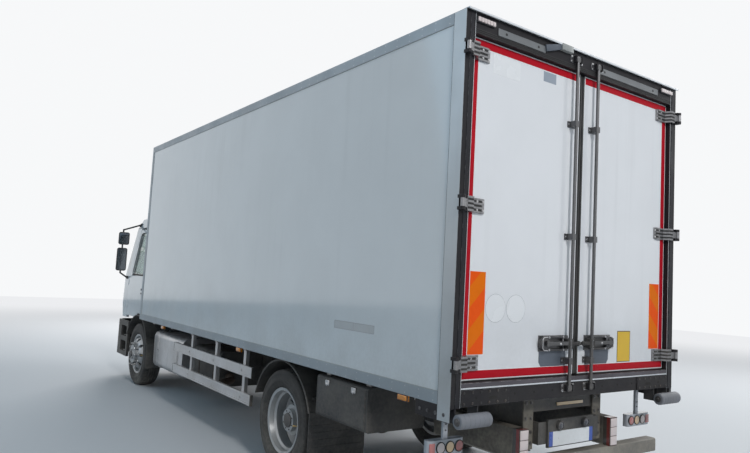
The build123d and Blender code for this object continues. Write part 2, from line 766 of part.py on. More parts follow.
def cab_skin(inset, drop):
    """Solid of the cab's outline, moved in by the inset and down at the roof by the drop."""
    with BuildPart() as skin:
        for index, (z, front, rear, half, corner) in enumerate(cab_sections):
            height = z - drop if index > 2 else z
            height = height - (10 if drop and index == 0 else 0)
            with BuildSketch(Plane.XY.offset(height)) as section:
                with Locations((0, (front + rear) / 2)):
                    Rectangle(2 * (half - inset), rear - front - 2 * inset)
                fillet(section.vertices().group_by(Axis.Y)[0], corner - inset)
        loft(ruled=True)
    return skin.part


def cab_half(height):
    """Half width of the cab's skin at a height, on its straight sides."""
    for below, above in zip(cab_sections, cab_sections[1:]):
        if below[0] <= height <= above[0]:
            share = (height - below[0]) / (above[0] - below[0])
            return below[3] + share * (above[3] - below[3])


cab_shell = cab_skin(0, 0) - cab_skin(cab_wall, cab_wall)
cab_room = cab_skin(cab_wall + lining_gap, cab_wall + lining_gap)
glass_shell = cab_skin(10, 10) - cab_skin(16, 16)

# Cutting bounds clear of the cab's skin, ahead of it, behind it, over it and to its side
ahead = front_face - 150
behind = cab_rear + 160
overhead = cab_sections[-1][0] + 80
beside = body_width / 2

# Outlines in Y and Z of a cab door and its window, and in X and Z of the windscreen
cab_door_outline = (
    (door_front, cab_side_base), (door_front, belt_height - 30), (door_front + 107, belt_height + 60),
    (door_front + 292, door_top), (door_rear, door_top), (door_rear, door_step),
    (door_rear - 325, door_step), (door_rear - 445, cab_side_base),
)
window_outline = (
    (door_front + 209, belt_height + 40), (door_front + 357, door_top - 65),
    (door_rear - 70, door_top - 65), (door_rear - 70, belt_height + 40),
)
pillar_outline = (
    (ahead, belt_height), (front_panel_rear, belt_height), (front_panel_rear, belt_height - 27),
    (front_panel_rear + 107, belt_height + 63), (front_panel_rear + 292, roof_line), (ahead, roof_line),
)
windscreen_outline = ((-985, 1725), (985, 1725), (915, 2440), (-915, 2440))

with BuildPart() as cab_roof:
    add(cab_shell)
    block((-beside, beside), (ahead, behind), (roof_line, overhead), mode=Mode.INTERSECT)
save(cab_roof, "cab_roof")

with BuildPart() as cab_rear_wall:
    add(cab_shell)
    block((-beside, beside), (cab_rear - cab_wall, behind), (cab_floor_base, roof_line),
          mode=Mode.INTERSECT)
save(cab_rear_wall, "cab_rear_wall")

with BuildPart() as pillar_region:
    side_prism(pillar_outline, (-beside, beside))
    front_prism(windscreen_outline, (ahead, door_front + 307), mode=Mode.SUBTRACT, corner=60)
    block((-800, 800), (ahead, door_front + 307), (belt_height - 90, roof_line + 100), mode=Mode.SUBTRACT)
    block((-beside, beside), (door_rear + swing_gap, cab_rear - cab_wall), (door_step, roof_line))
with BuildPart() as cab_pillars:
    add(cab_shell)
    add(pillar_region.part, mode=Mode.INTERSECT)
save(cab_pillars, "cab_pillars")

# Hinges of the cab doors: lugs and pins on the front panel, a knuckle on the door's edge
door_hinge_side = 1146
door_hinge_place = door_front + 4
door_hinge_bases = (1180, 1560)
door_hinge_height = 70
door_lug_height = 14
door_knuckle_radius = 11
door_pin_radius = 5

# Front panel of the cab with its slotted grille
slot_half = 560
slot_z = ((1090, 1150), (1180, 1240), (1270, 1330), (1360, 1420))
with BuildPart() as cab_front:
    add(cab_shell)
    block((-beside, beside), (ahead, front_panel_rear), (cab_sections[0][0], belt_height),
          mode=Mode.INTERSECT)
    for low, high in slot_z:
        rounded_front((ahead, front_face + 100), (low, high), slot_half, 18, mode=Mode.SUBTRACT)
    for side in (1, -1):
        for base in door_hinge_bases:
            bar((side * door_hinge_side, door_hinge_place, base - door_lug_height),
                (side * door_hinge_side, door_hinge_place, base + door_hinge_height + door_lug_height),
                door_pin_radius)
            for low in (base - door_lug_height, base + door_hinge_height + seat):
                high = low + door_lug_height - seat
                bar((side * door_hinge_side, door_hinge_place, low),
                    (side * door_hinge_side, door_hinge_place, high), door_knuckle_radius)
                block((side * (door_hinge_side - 9), side * (door_hinge_side + 9)),
                      (front_panel_rear - 20, door_hinge_place), (low, high))
save(cab_front, "cab_front")

# Windscreen, seated in the opening between the pillars, the front panel and the roof
with BuildPart() as windscreen_region:
    front_prism(windscreen_outline, (ahead, door_front + 57), corner=60)
with BuildPart() as windscreen:
    add(glass_shell)
    add(windscreen_region.part, mode=Mode.INTERSECT)
save(windscreen, "windscreen")

# Cab floor with the tunnel over the engine and the arms that carry the tilt pivot
floor_front = front_face + 175
floor_half = 1100
floor_z = (cab_floor_base, cab_floor_base + cab_floor_thickness)
with BuildPart() as cab_room_to_wall:
    add(cab_room)
    block((-900, 900), (cab_rear - cab_wall - 200, cab_rear - cab_wall), (cab_floor_base, roof_line))
with BuildPart() as cab_floor:
    hat = (
        (-floor_half, floor_z[0]), (-tunnel_half + tunnel_wall, floor_z[0]),
        (-tunnel_half + tunnel_wall, tunnel_top - tunnel_wall),
        (tunnel_half - tunnel_wall, tunnel_top - tunnel_wall),
        (tunnel_half - tunnel_wall, floor_z[0]), (floor_half, floor_z[0]),
        (floor_half, floor_z[1]), (tunnel_half, floor_z[1]), (tunnel_half, tunnel_top),
        (-tunnel_half, tunnel_top), (-tunnel_half, floor_z[1]), (-floor_half, floor_z[1]),
    )
    front_prism(hat, (floor_front, cab_rear - cab_wall))
    add(cab_room_to_wall.part, mode=Mode.INTERSECT)
    for side in (1, -1):
        arm = (side * (pivot_arm_side - pivot_arm_width / 2), side * (pivot_arm_side + pivot_arm_width / 2))
        points = ((pivot_place - 10, pivot_height + 30), (pivot_place + 28, pivot_height - 8),
                  (pivot_place + 310, floor_z[0]), (pivot_place + 226, floor_z[0]))
        side_prism(points, arm)
        bar((arm[0], pivot_place, pivot_height), (arm[1], pivot_place, pivot_height), 34)
        bar((arm[0], pivot_place, pivot_height), (arm[1], pivot_place, pivot_height),
            pivot_radius + pin_clearance, mode=Mode.SUBTRACT)
save(cab_floor, "cab_floor")

# Dashboard with the steering column and wheel on the left
wheel_place = (600, front_face + 620, 1790)
wheel_lean = 58
column_length = 260
steering_wheel_radius = 225
dash_half = 1060
with BuildPart() as dashboard:
    points = (
        (front_face + 190, 1300), (front_face + 390, 1300), (front_face + 465, 1500),
        (front_face + 465, 1640), (front_face + 360, belt_height), (front_face + 120, belt_height),
    )
    side_prism(points, (-dash_half, dash_half))
    dash_edges = dashboard.edges().filter_by(Axis.X).sort_by(Axis.Y)
    fillet(dash_edges[-2:], 40)
    block((-dash_half, dash_half), (floor_front, floor_front + 55), (floor_z[1], 1310))
    block((-tunnel_half, tunnel_half), (front_face + 50, front_face + 550), (cab_floor_base, tunnel_top),
          mode=Mode.SUBTRACT)
    add(cab_room, mode=Mode.INTERSECT)
    hub = Vector(*wheel_place)
    lean = Vector(0, cos(radians(wheel_lean)), sin(radians(wheel_lean)))
    foot = hub - lean * column_length
    bar(tuple(foot), tuple(hub), 34)
    with BuildSketch(Plane(origin=tuple(hub), x_dir=(1, 0, 0), z_dir=tuple(lean.cross(Vector(1, 0, 0))))):
        with Locations((steering_wheel_radius, 0)):
            Circle(15)
    revolve(axis=Axis(tuple(hub), tuple(lean)))
    for turn in (-20, 90, 200):
        direction = Vector(1, 0, 0).rotate(Axis((0, 0, 0), tuple(lean)), turn)
        bar(tuple(hub), tuple(hub + direction * (steering_wheel_radius - 3)), 11)
save(dashboard, "dashboard")

# Seats, each a cushion, a back and a base. Columns: middle X, width
seat_table = ((655, 450), (-655, 450))
with BuildPart() as seats:
    for middle, width in seat_table:
        near, far = middle - width / 2, middle + width / 2
        points = (
            (cab_rear - 700, 1480), (cab_rear - 280, 1460), (cab_rear - 175, 2180), (cab_rear - 90, 2180),
            (cab_rear - 140, 1560), (cab_rear - 220, 1330), (cab_rear - 720, 1360),
        )
        side_prism(points, (near, far))
        block((near + 60, far - 60), (cab_rear - 660, cab_rear - 200), (floor_z[1], 1400))
    fillet(seats.edges().filter_by(Axis.X).group_by(Axis.Z)[-1], 25)
save(seats, "seats")

# Mirrors on tube arms from the roof edge and the front corner of the cab.
# Columns: middle X, middle Y, base, top, width
mirror_table = ((1285, front_face + 420, 1770, 2160, 170), (1270, front_face + 415, 2215, 2430, 180))
arm_radius = 13
foot_depth = 18
upper_foot = (front_face + 650, 2560)
lower_foot = (front_face + 415, 1660)
post_side = 1280
post_place = front_face + 405
post_z = (1735, 2470)
with BuildPart() as mirrors:
    for side in (1, -1):
        for x, y, base, top, width in mirror_table:
            with BuildSketch(front_plane(y + 22)):
                with Locations((side * x, (base + top) / 2)):
                    RectangleRounded(width, top - base, 35)
            with BuildSketch(front_plane(y - 55)):
                with Locations((side * x, (base + top) / 2)):
                    RectangleRounded(width * 0.62, (top - base) * 0.8, 30)
            loft(ruled=True)
        post_base = (side * post_side, post_place, post_z[0])
        post_top = (side * post_side, post_place, post_z[1])
        bar(post_base, post_top, arm_radius)
        foot = (side * (cab_half(upper_foot[1]) + foot_depth), *upper_foot)
        bar(post_top, foot, arm_radius)
        low, high = upper_foot[1] - 30, upper_foot[1] + 30
        pad = ((side * (cab_half(low) + seat), low), (side * (cab_half(low) + foot_depth), low),
               (side * (cab_half(high) + foot_depth), high), (side * (cab_half(high) + seat), high))
        front_prism(pad, (upper_foot[0] - 30, upper_foot[0] + 30))
        skin = cab_half(lower_foot[1])
        bar(post_base, (side * (skin + foot_depth), *lower_foot), arm_radius)
        block((side * (skin + seat), side * (skin + foot_depth)), (lower_foot[0] - 30, lower_foot[0] + 30),
              (lower_foot[1] - 25, lower_foot[1] + 25))
        for joint in (post_base, post_top):
            with Locations(joint):
                Sphere(arm_radius + 1)
save(mirrors, "mirrors")

# Cab doors: skin, inner panel and window frame in one shell, hinged at the front edge
door_handle_side = 1150
door_handle_z = (1440, 1475)
with BuildPart() as door_region:
    side_prism(cab_door_outline, (0, beside))
    side_prism(window_outline, (0, beside), mode=Mode.SUBTRACT, corner=45)
with BuildPart() as cab_door_left:
    add(cab_shell)
    add(door_region.part, mode=Mode.INTERSECT)
    for base in door_hinge_bases:
        top = base + door_hinge_height
        foot = (door_hinge_side, door_hinge_place, base)
        head = (door_hinge_side, door_hinge_place, top)
        block((door_hinge_side - 18, door_hinge_side + 20), (door_front - 5, door_hinge_place + 20),
              (base - door_lug_height - 4, top + door_lug_height + 4), mode=Mode.SUBTRACT)
        block((door_hinge_side - 11, door_hinge_side + 11), (door_hinge_place, door_hinge_place + 24),
              (base, top))
        bar(foot, head, door_knuckle_radius)
        bar(foot, head, door_pin_radius + pin_clearance, mode=Mode.SUBTRACT)
    block((door_handle_side, door_handle_side + 22), (door_rear - 190, door_rear - 60), door_handle_z)
    block((door_handle_side - 10, door_handle_side + 5), (door_rear - 190, door_rear - 170), door_handle_z)
save(cab_door_left, "cab_door_left")
with BuildPart() as cab_door_right:
    add(mirror(cab_door_left.part, about=Plane.YZ))
save(cab_door_right, "cab_door_right")

with BuildPart() as window_region:
    side_prism(window_outline, (0, beside), corner=45)
with BuildPart() as door_glass_left:
    add(glass_shell)
    add(window_region.part, mode=Mode.INTERSECT)
save(door_glass_left, "door_glass_left")
with BuildPart() as door_glass_right:
    add(mirror(door_glass_left.part, about=Plane.YZ))
save(door_glass_right, "door_glass_right")

# Rear doors: one insulated leaf a side, set back in the doorway
leaf_outside = doorway_half - leaf_side_gap
leaf_back = rear_face - leaf_recess
leaf_z = (sill_top + leaf_bottom_gap, header_base - leaf_top_gap)
with BuildPart() as rear_door_left:
    block((leaf_half_gap, leaf_outside), (leaf_back - leaf_thickness, leaf_back), leaf_z)
    fillet(rear_door_left.edges().filter_by(Axis.Z), 6)
save(rear_door_left, "rear_door_left")
with BuildPart() as rear_door_right:
    add(mirror(rear_door_left.part, about=Plane.YZ))
save(rear_door_right, "rear_door_right")

# Fittings of one rear door: three ribbed strap hinges, the lock rod with its cams and guides,
# and the handle on its plate
rod_y = rear_face + rod_back
strap_back = rear_face + strap_lift
strap_ribs = 4
with BuildPart() as door_fittings_left:
    for base in hinge_bases:
        z = (body_base + base, body_base + base + hinge_height)
        step = ((strap_end, leaf_back), (doorway_half - 34, leaf_back), (doorway_half - 8, strap_back),
                (half_body - 52, strap_back), (half_body - 52, strap_back + strap_thickness),
                (doorway_half - 24, strap_back + strap_thickness),
                (doorway_half - 50, leaf_back + 14), (strap_end, leaf_back + 9))
        plan_prism(step, z)
        middle = (z[0] + lug_height + seat, z[1] - lug_height - seat)
        arm = (
            (half_body - 60, strap_back), (half_body - 26, strap_back), (half_body, hinge_y - 14),
            (half_body, hinge_y), (half_body - 22, hinge_y - 8),
            (half_body - 60, strap_back + strap_thickness),
        )
        plan_prism(arm, middle)
        bar((half_body, hinge_y, middle[0]), (half_body, hinge_y, middle[1]), knuckle_radius)
        bar((half_body, hinge_y, middle[0]), (half_body, hinge_y, middle[1]),
            hinge_pin_radius + pin_clearance, mode=Mode.SUBTRACT)
        pitch = (hinge_height - 12) / (strap_ribs - 1)
        for index in range(strap_ribs):
            low = z[0] + index * pitch
            block((strap_end + 20, doorway_half - 58), (leaf_back + 6, leaf_back + 17), (low, low + 12))
    bar((rod_place, rod_y, body_base + rod_bottom), (rod_place, rod_y, body_base + rod_top), rod_radius)
    for height in keeper_heights:
        z = (body_base + height - cam_height / 2, body_base + height + cam_height / 2)
        block((rod_place - cam_half, rod_place + cam_half), (rear_face + 1, rod_y + rod_radius - 2), z)
    for height in guide_heights:
        z = (body_base + height, body_base + height + 46)
        block((rod_place - 42, rod_place + 42), (leaf_back, leaf_back + 10), z)
        block((rod_place - 21, rod_place + 21), (leaf_back, rod_y + rod_radius - 1), z)
    handle_z = (body_base + handle_base, body_base + handle_base + handle_height)
    block((rod_place - 30, handle_end), (leaf_back, leaf_back + 9), handle_z)
    block((rod_place, handle_end - 30), (rod_y - 9, rod_y + 9), (handle_z[0] + 48, handle_z[0] + 74))
    block((handle_end - 70, handle_end - 40), (leaf_back, rod_y), (handle_z[0] + 40, handle_z[0] + 82))
save(door_fittings_left, "door_fittings_left")
with BuildPart() as door_fittings_right:
    add(mirror(door_fittings_left.part, about=Plane.YZ))
save(door_fittings_right, "door_fittings_right")

# Knuckle: two ears and the kingpin, the spindle, the brake backplate and the tie rod arm
hub_inside = 985
ear_gap = 3
ear_height = 36
hub_bore = 42
with BuildPart() as knuckle_left:
    z = (axle_front_z - boss_half - ear_gap - ear_height, axle_front_z + boss_half + ear_gap + ear_height)
    centre = (kingpin_place, front_axle_place)
    bar((*centre, z[0]), (*centre, z[1]), kingpin_radius)
    for low in (z[0], z[1] - ear_height):
        bar((*centre, low), (*centre, low + ear_height), 48)
        block((kingpin_place, 925), (front_axle_place - 45, front_axle_place + 45), (low, low + ear_height))
    block((918, 945), (front_axle_place - 75, front_axle_place + 75), z)
    bar((940, front_axle_place, tyre_radius), (948, front_axle_place, tyre_radius), 200)
    bar((940, front_axle_place, tyre_radius), (1150, front_axle_place, tyre_radius), hub_bore - 2)
    arm_end = (kingpin_place, front_axle_place + steering_arm)
    points = ((kingpin_place - 30, front_axle_place), (kingpin_place + 55, front_axle_place),
              (kingpin_place + 40, front_axle_place + 120), (arm_end[0] + 26, arm_end[1]),
              (arm_end[0] - 26, arm_end[1]), (kingpin_place - 25, front_axle_place + 110))
    plan_prism(points, (z[0], z[0] + 26))
    bar((*arm_end, z[0]), (*arm_end, z[0] + 26), 28)
    bar((*arm_end, z[0] + 26), (*arm_end, z[0] + 84), 12)
save(knuckle_left, "knuckle_left")
with BuildPart() as knuckle_right:
    add(mirror(knuckle_left.part, about=Plane.YZ))
save(knuckle_right, "knuckle_right")

# Tie rod between the two steering arms, with an eye over each ball pin
eye_z = (z[0] + 26 + 5, z[0] + 26 + 45)
eye_middle = (eye_z[0] + eye_z[1]) / 2
with BuildPart() as tie_rod:
    bar((-arm_end[0] + 10, arm_end[1], eye_middle), (arm_end[0] - 10, arm_end[1], eye_middle), 17)
    for side in (1, -1):
        place = (side * arm_end[0], arm_end[1])
        bar((*place, eye_z[0]), (*place, eye_z[1]), 27)
        bar((*place, eye_z[0]), (*place, eye_z[1]), 12 + pin_clearance, mode=Mode.SUBTRACT)
save(tie_rod, "tie_rod")


def across(place, axle):
    """Plane through a wheel's middle whose own axes are X and Z."""
    return Plane(origin=(place, axle, tyre_radius), x_dir=(1, 0, 0), z_dir=(0, -1, 0))


def wheel_axis(axle):
    """Axis of the wheels on an axle."""
    return Axis((0, axle, tyre_radius), (1, 0, 0))


def tyre(place, axle):
    """Add a tyre: a ring with rounded shoulders, bulged walls and beads on the rim."""
    half = tyre_width / 2
    bead = rim_half - 1
    with BuildSketch(across(place, axle)) as section:
        with BuildLine():
            Line((-bead, rim_seat_radius + 0.3), (bead, rim_seat_radius + 0.3))
            Line((bead, rim_seat_radius + 0.3), (bead, rim_seat_radius + 22))
            ThreePointArc((bead, rim_seat_radius + 22), (half, 385), (half - 12, 452))
            ThreePointArc((half - 12, 452), (half - 20, 466), (half - 36, 471))
            ThreePointArc((half - 36, 471), (0, tyre_radius), (-half + 36, 471))
            ThreePointArc((-half + 36, 471), (-half + 20, 466), (-half + 12, 452))
            ThreePointArc((-half + 12, 452), (-half, 385), (-bead, rim_seat_radius + 22))
            Line((-bead, rim_seat_radius + 22), (-bead, rim_seat_radius + 0.3))
        make_face()
    revolve(section.sketch, axis=wheel_axis(axle))


def rim(place, axle, face):
    """Add a rim with its dished disc; face is 1 where the disc stands towards +X."""
    seat_r = rim_seat_radius
    face_x = face * disc_offset
    with BuildSketch(across(place, axle)) as band:
        Polygon((-rim_half - 10, seat_r + 19), (-rim_half, seat_r + 19), (-rim_half, seat_r),
                (-60, seat_r - 8), (-42, seat_r - 24), (42, seat_r - 24), (60, seat_r - 8),
                (rim_half, seat_r), (rim_half, seat_r + 19), (rim_half + 10, seat_r + 19),
                (rim_half + 4, seat_r - 8), (62, seat_r - 18), (44, seat_r - 34),
                (-44, seat_r - 34), (-62, seat_r - 18), (-rim_half - 4, seat_r - 8), align=None)
    revolve(band.sketch, axis=wheel_axis(axle))
    with BuildSketch(across(place, axle)) as dish:
        Polygon((face_x, 141), (face_x, 205), (face_x - face * 22, 232),
                (face * 66, seat_r - 14), (face * 50, seat_r - 20),
                (face_x - face * 36, 222), (face_x - face * disc_thickness, 196),
                (face_x - face * disc_thickness, 141), align=None)
    revolve(dish.sketch, axis=wheel_axis(axle))
    outward = Plane(origin=(place, axle, tyre_radius), x_dir=(0, 1, 0), z_dir=(face, 0, 0))
    with BuildSketch(outward) as holes:
        with PolarLocations(hand_hole_circle, stud_count):
            Circle(hand_hole_radius)
    extrude(holes.sketch, amount=disc_offset + 20, mode=Mode.SUBTRACT)


def studs(x_from, x_to, axle):
    """Add the ring of wheel nuts between two X."""
    with BuildSketch(Plane(origin=(x_from, axle, tyre_radius), x_dir=(0, 1, 0), z_dir=(1, 0, 0))) as ring:
        with PolarLocations(stud_circle, stud_count):
            RegularPolygon(17, 6)
    extrude(ring.sketch, amount=x_to - x_from)


with BuildPart() as front_tyre_left:
    tyre(front_tyre_place, front_axle_place)
save(front_tyre_left, "front_tyre_left")
with BuildPart() as front_tyre_right:
    add(mirror(front_tyre_left.part, about=Plane.YZ))
save(front_tyre_right, "front_tyre_right")
with BuildPart() as rear_tyres_left:
    tyre(rear_tyre_place, rear_axle_place)
    tyre(rear_tyre_place - twin_spacing, rear_axle_place)
save(rear_tyres_left, "rear_tyres_left")
with BuildPart() as rear_tyres_right:
    add(mirror(rear_tyres_left.part, about=Plane.YZ))
save(rear_tyres_right, "rear_tyres_right")

# Front wheel: rim and disc, hub with its cap, and the ring of nuts
front_disc_x = front_tyre_place + disc_offset
with BuildPart() as front_wheel_left:
    rim(front_tyre_place, front_axle_place, 1)
    bar((hub_inside, front_axle_place, tyre_radius),
        (front_disc_x - disc_thickness, front_axle_place, tyre_radius), 195)
    bar((front_disc_x - disc_thickness, front_axle_place, tyre_radius),
        (front_disc_x + 45, front_axle_place, tyre_radius), 141)
    bar((front_disc_x + 45, front_axle_place, tyre_radius),
        (front_disc_x + 62, front_axle_place, tyre_radius), 82)
    studs(front_disc_x, front_disc_x + 40, front_axle_place)
    bar((hub_inside - 5, front_axle_place, tyre_radius), (1150 + 5, front_axle_place, tyre_radius),
        hub_bore - 2 + pin_clearance, mode=Mode.SUBTRACT)
save(front_wheel_left, "front_wheel_left")
with BuildPart() as front_wheel_right:
    add(mirror(front_wheel_left.part, about=Plane.YZ))
save(front_wheel_right, "front_wheel_right")

# Twin rear wheels: two rims back to back on one drum and hub
rear_disc_x = rear_tyre_place - disc_offset
spindle_end = rear_tyre_place - 60
with BuildPart() as rear_wheels_left:
    rim(rear_tyre_place, rear_axle_place, -1)
    rim(rear_tyre_place - twin_spacing, rear_axle_place, 1)
    bar((rear_hub_inside, rear_axle_place, tyre_radius),
        (rear_disc_x - disc_thickness, rear_axle_place, tyre_radius), 205)
    bar((rear_disc_x - disc_thickness, rear_axle_place, tyre_radius),
        (rear_tyre_place + 10, rear_axle_place, tyre_radius), 141)
    bar((rear_tyre_place + 10, rear_axle_place, tyre_radius),
        (rear_tyre_place + 55, rear_axle_place, tyre_radius), 105)
    studs(rear_disc_x + disc_thickness, rear_disc_x + disc_thickness + 40, rear_axle_place)
    bar((rear_hub_inside - 5, rear_axle_place, tyre_radius),
        (spindle_end + 5, rear_axle_place, tyre_radius), 45 + pin_clearance, mode=Mode.SUBTRACT)
save(rear_wheels_left, "rear_wheels_left")
with BuildPart() as rear_wheels_right:
    add(mirror(rear_wheels_left.part, about=Plane.YZ))
save(rear_wheels_right, "rear_wheels_right")
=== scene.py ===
"""Looks of a refrigerated box truck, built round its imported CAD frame."""

import json
import logging
import math
from collections.abc import Callable, Iterable, Sequence
from dataclasses import dataclass
from enum import Enum
from functools import lru_cache

import bmesh
import bpy
from mathutils import Matrix, Vector
from mathutils.bvhtree import BVHTree

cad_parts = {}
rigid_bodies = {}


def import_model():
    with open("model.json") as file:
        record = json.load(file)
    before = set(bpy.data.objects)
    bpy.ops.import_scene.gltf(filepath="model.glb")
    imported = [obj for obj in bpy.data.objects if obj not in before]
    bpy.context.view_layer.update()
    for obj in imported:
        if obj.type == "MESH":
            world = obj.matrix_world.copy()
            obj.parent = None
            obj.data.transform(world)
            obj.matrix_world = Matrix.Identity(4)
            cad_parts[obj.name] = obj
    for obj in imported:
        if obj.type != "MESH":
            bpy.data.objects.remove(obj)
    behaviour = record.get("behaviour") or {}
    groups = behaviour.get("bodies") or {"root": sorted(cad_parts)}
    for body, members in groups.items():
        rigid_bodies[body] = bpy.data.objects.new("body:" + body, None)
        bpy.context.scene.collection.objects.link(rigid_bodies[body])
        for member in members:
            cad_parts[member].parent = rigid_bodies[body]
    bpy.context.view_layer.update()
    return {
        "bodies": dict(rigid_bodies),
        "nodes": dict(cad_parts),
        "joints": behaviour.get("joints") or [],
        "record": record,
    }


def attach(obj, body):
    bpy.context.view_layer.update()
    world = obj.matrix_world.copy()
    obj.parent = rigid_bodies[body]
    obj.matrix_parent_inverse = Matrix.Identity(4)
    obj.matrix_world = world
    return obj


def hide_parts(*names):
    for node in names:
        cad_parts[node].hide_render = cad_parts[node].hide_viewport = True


LOG = logging.getLogger("truck")

Colour = tuple[float, float, float]
Point = tuple[float, float, float]
Pair = tuple[float, float]

SIDES = (("left", 1), ("right", -1))
REARWARD = (0.0, 1.0, 0.0)
FORWARD = (0.0, -1.0, 0.0)
OUTWARD = (1.0, 0.0, 0.0)
INWARD = (-1.0, 0.0, 0.0)
UPWARD = (0.0, 0.0, 1.0)
DOWNWARD = (0.0, 0.0, -1.0)

# Where the rays start that look for the cab's faces, outside the truck
RAY_FRONT = -6.0
RAY_SIDE = 2.0
RAY_TOP = 4.0

# A coordinate that no part of the truck reaches
ANYWHERE = 9.0


class Body(str, Enum):
    """Bodies of the frame that the pieces ride on."""

    CHASSIS = "chassis"
    CAB = "cab"
    DOOR_LEFT = "door_left"
    DOOR_RIGHT = "door_right"
    LEAF_LEFT = "leaf_left"
    LEAF_RIGHT = "leaf_right"
    WHEEL_FRONT_LEFT = "wheel_front_left"
    WHEEL_FRONT_RIGHT = "wheel_front_right"
    WHEELS_REAR_LEFT = "wheels_rear_left"
    WHEELS_REAR_RIGHT = "wheels_rear_right"


LEAVES = (("left", 1, Body.LEAF_LEFT), ("right", -1, Body.LEAF_RIGHT))
DOORS = (("left", 1, Body.DOOR_LEFT), ("right", -1, Body.DOOR_RIGHT))


class Slot(str, Enum):
    """Material slots of the record."""

    CHASSIS_PAINT = "chassis_paint"
    ALUMINIUM = "aluminium"
    BLACK_PLASTIC = "black_plastic"
    GALVANISED = "galvanised_steel"
    WHITE_PANEL = "white_panel"
    GREY_FRAME = "grey_frame"
    BUFFER = "buffer_rubber"
    LENS = "lamp_lens"
    WHITE_PAINT = "white_paint"
    GLASS = "glass"
    CLOTH = "seat_cloth"
    TYRE = "tyre"
    WHEEL = "wheel_steel"


@dataclass(frozen=True)
class Truck:
    """Driving sizes of the truck in metres, as the CAD source has them."""

    rear_face: float = 4.35
    body_base: float = 1.05
    body_height: float = 2.655
    half_body: float = 1.30
    body_length: float = 6.964
    doorway_half: float = 1.215
    leaf_recess: float = 0.038
    sill_top: float = 1.21
    header_base: float = 3.55
    wheel_radius: float = 0.479
    front_axle: float = -3.10
    rear_axle: float = 1.95

    @property
    def leaf_back(self) -> float:
        """Y of the rear doors' outer face."""
        return self.rear_face - self.leaf_recess

    @property
    def body_top(self) -> float:
        """Height of the body's top edge."""
        return self.body_base + self.body_height

    @property
    def body_front(self) -> float:
        """Y of the body's front face."""
        return self.rear_face - self.body_length


TRUCK = Truck()


class Graph:
    """A node tree that is filled by short calls."""

    def __init__(self, tree: bpy.types.NodeTree) -> None:
        """Wrap a tree.

        Args:
            tree: The node tree of a material or of a group.
        """
        self.tree = tree

    def add(self, kind: str, sockets: dict | None = None, **properties: object) -> bpy.types.Node:
        """Add a node, and set or link its inputs.

        Args:
            kind: The node's type name without its common prefix.
            sockets: Values or output sockets, by the input's name or number.
            **properties: Settings of the node itself.

        Returns:
            The new node.
        """
        node = self.tree.nodes.new("ShaderNode" + kind)
        for name, value in properties.items():
            setattr(node, name, value)
        for key, value in (sockets or {}).items():
            if isinstance(value, bpy.types.NodeSocket):
                self.tree.links.new(value, node.inputs[key])
            else:
                node.inputs[key].default_value = value
        return node

    def math(self, operation: str, first: object, second: object = 0.0,
             clamp: bool = False) -> bpy.types.NodeSocket:
        """Add a Math node and return its result.

        Args:
            operation: The Math node's operation.
            first: A number or an output socket.
            second: A number or an output socket.
            clamp: Whether the result stays between 0 and 1.

        Returns:
            The result's socket.
        """
        node = self.add("Math", {0: first, 1: second}, operation=operation, use_clamp=clamp)
        return node.outputs[0]

    def ramp(self, value: bpy.types.NodeSocket, low: float, high: float) -> bpy.types.NodeSocket:
        """Stretch the part of a value between two numbers over 0 to 1.

        Args:
            value: The value's socket.
            low: What becomes 0.
            high: What becomes 1.

        Returns:
            The stretched value's socket.
        """
        node = self.add("MapRange", {"Value": value, "From Min": low, "From Max": high},
                        interpolation_type="SMOOTHSTEP")
        return node.outputs["Result"]

    def mix(self, share: object, first: object, second: object) -> bpy.types.NodeSocket:
        """Mix two colours.

        Args:
            share: How much of the second colour, as a number or a socket.
            first: A colour or an output socket.
            second: A colour or an output socket.

        Returns:
            The mixed colour's socket.
        """
        node = self.add("Mix", data_type="RGBA")
        for key, value in ((0, share), (6, first), (7, second)):
            if isinstance(value, bpy.types.NodeSocket):
                self.tree.links.new(value, node.inputs[key])
            else:
                node.inputs[key].default_value = (*value, 1.0) if isinstance(value, tuple) else value
        return node.outputs[2]

    def coordinates(self, scale: Point = (1.0, 1.0, 1.0),
                    turn: Point = (0.0, 0.0, 0.0)) -> bpy.types.NodeSocket:
        """Give Object coordinates, scaled and turned.

        Args:
            scale: How much finer a pattern is along each axis.
            turn: Turn about each axis in radians.

        Returns:
            The coordinates' socket.
        """
        place = self.add("TexCoord").outputs["Object"]
        return self.add("Mapping", {"Vector": place, "Scale": scale, "Rotation": turn}).outputs[0]

    def noise(self, scale: object, detail: float = 3.0,
              vector: bpy.types.NodeSocket | None = None) -> bpy.types.NodeSocket:
        """Add a noise over Object coordinates.

        Args:
            scale: The noise's scale, as a number or a socket.
            detail: How many finer layers it has.
            vector: Other coordinates for it.

        Returns:
            The noise's value socket.
        """
        where = vector if vector is not None else self.coordinates()
        return self.add("TexNoise", {"Vector": where, "Scale": scale, "Detail": detail}).outputs[0]


@dataclass(frozen=True)
class Zone:
    """Region of a finish with a colour of its own; X counts from the truck's middle."""

    colour: Colour
    x: Pair = (0.0, ANYWHERE)
    y: Pair = (-ANYWHERE, ANYWHERE)
    z: Pair = (-ANYWHERE, ANYWHERE)

    def mask(self, graph: Graph) -> bpy.types.NodeSocket:
        """Give 1 inside the region and 0 outside it.

        Args:
            graph: The graph that the mask goes into.

        Returns:
            The mask's socket.
        """
        place = graph.add("SeparateXYZ", {0: graph.add("TexCoord").outputs["Object"]})
        values = (graph.math("ABSOLUTE", place.outputs[0]), place.outputs[1], place.outputs[2])
        mask = None
        for value, (low, high) in zip(values, (self.x, self.y, self.z)):
            if abs(low) < ANYWHERE:
                above = graph.math("GREATER_THAN", value, low)
                mask = above if mask is None else graph.math("MULTIPLY", mask, above)
            if abs(high) < ANYWHERE:
                below = graph.math("LESS_THAN", value, high)
                mask = below if mask is None else graph.math("MULTIPLY", mask, below)
        return mask


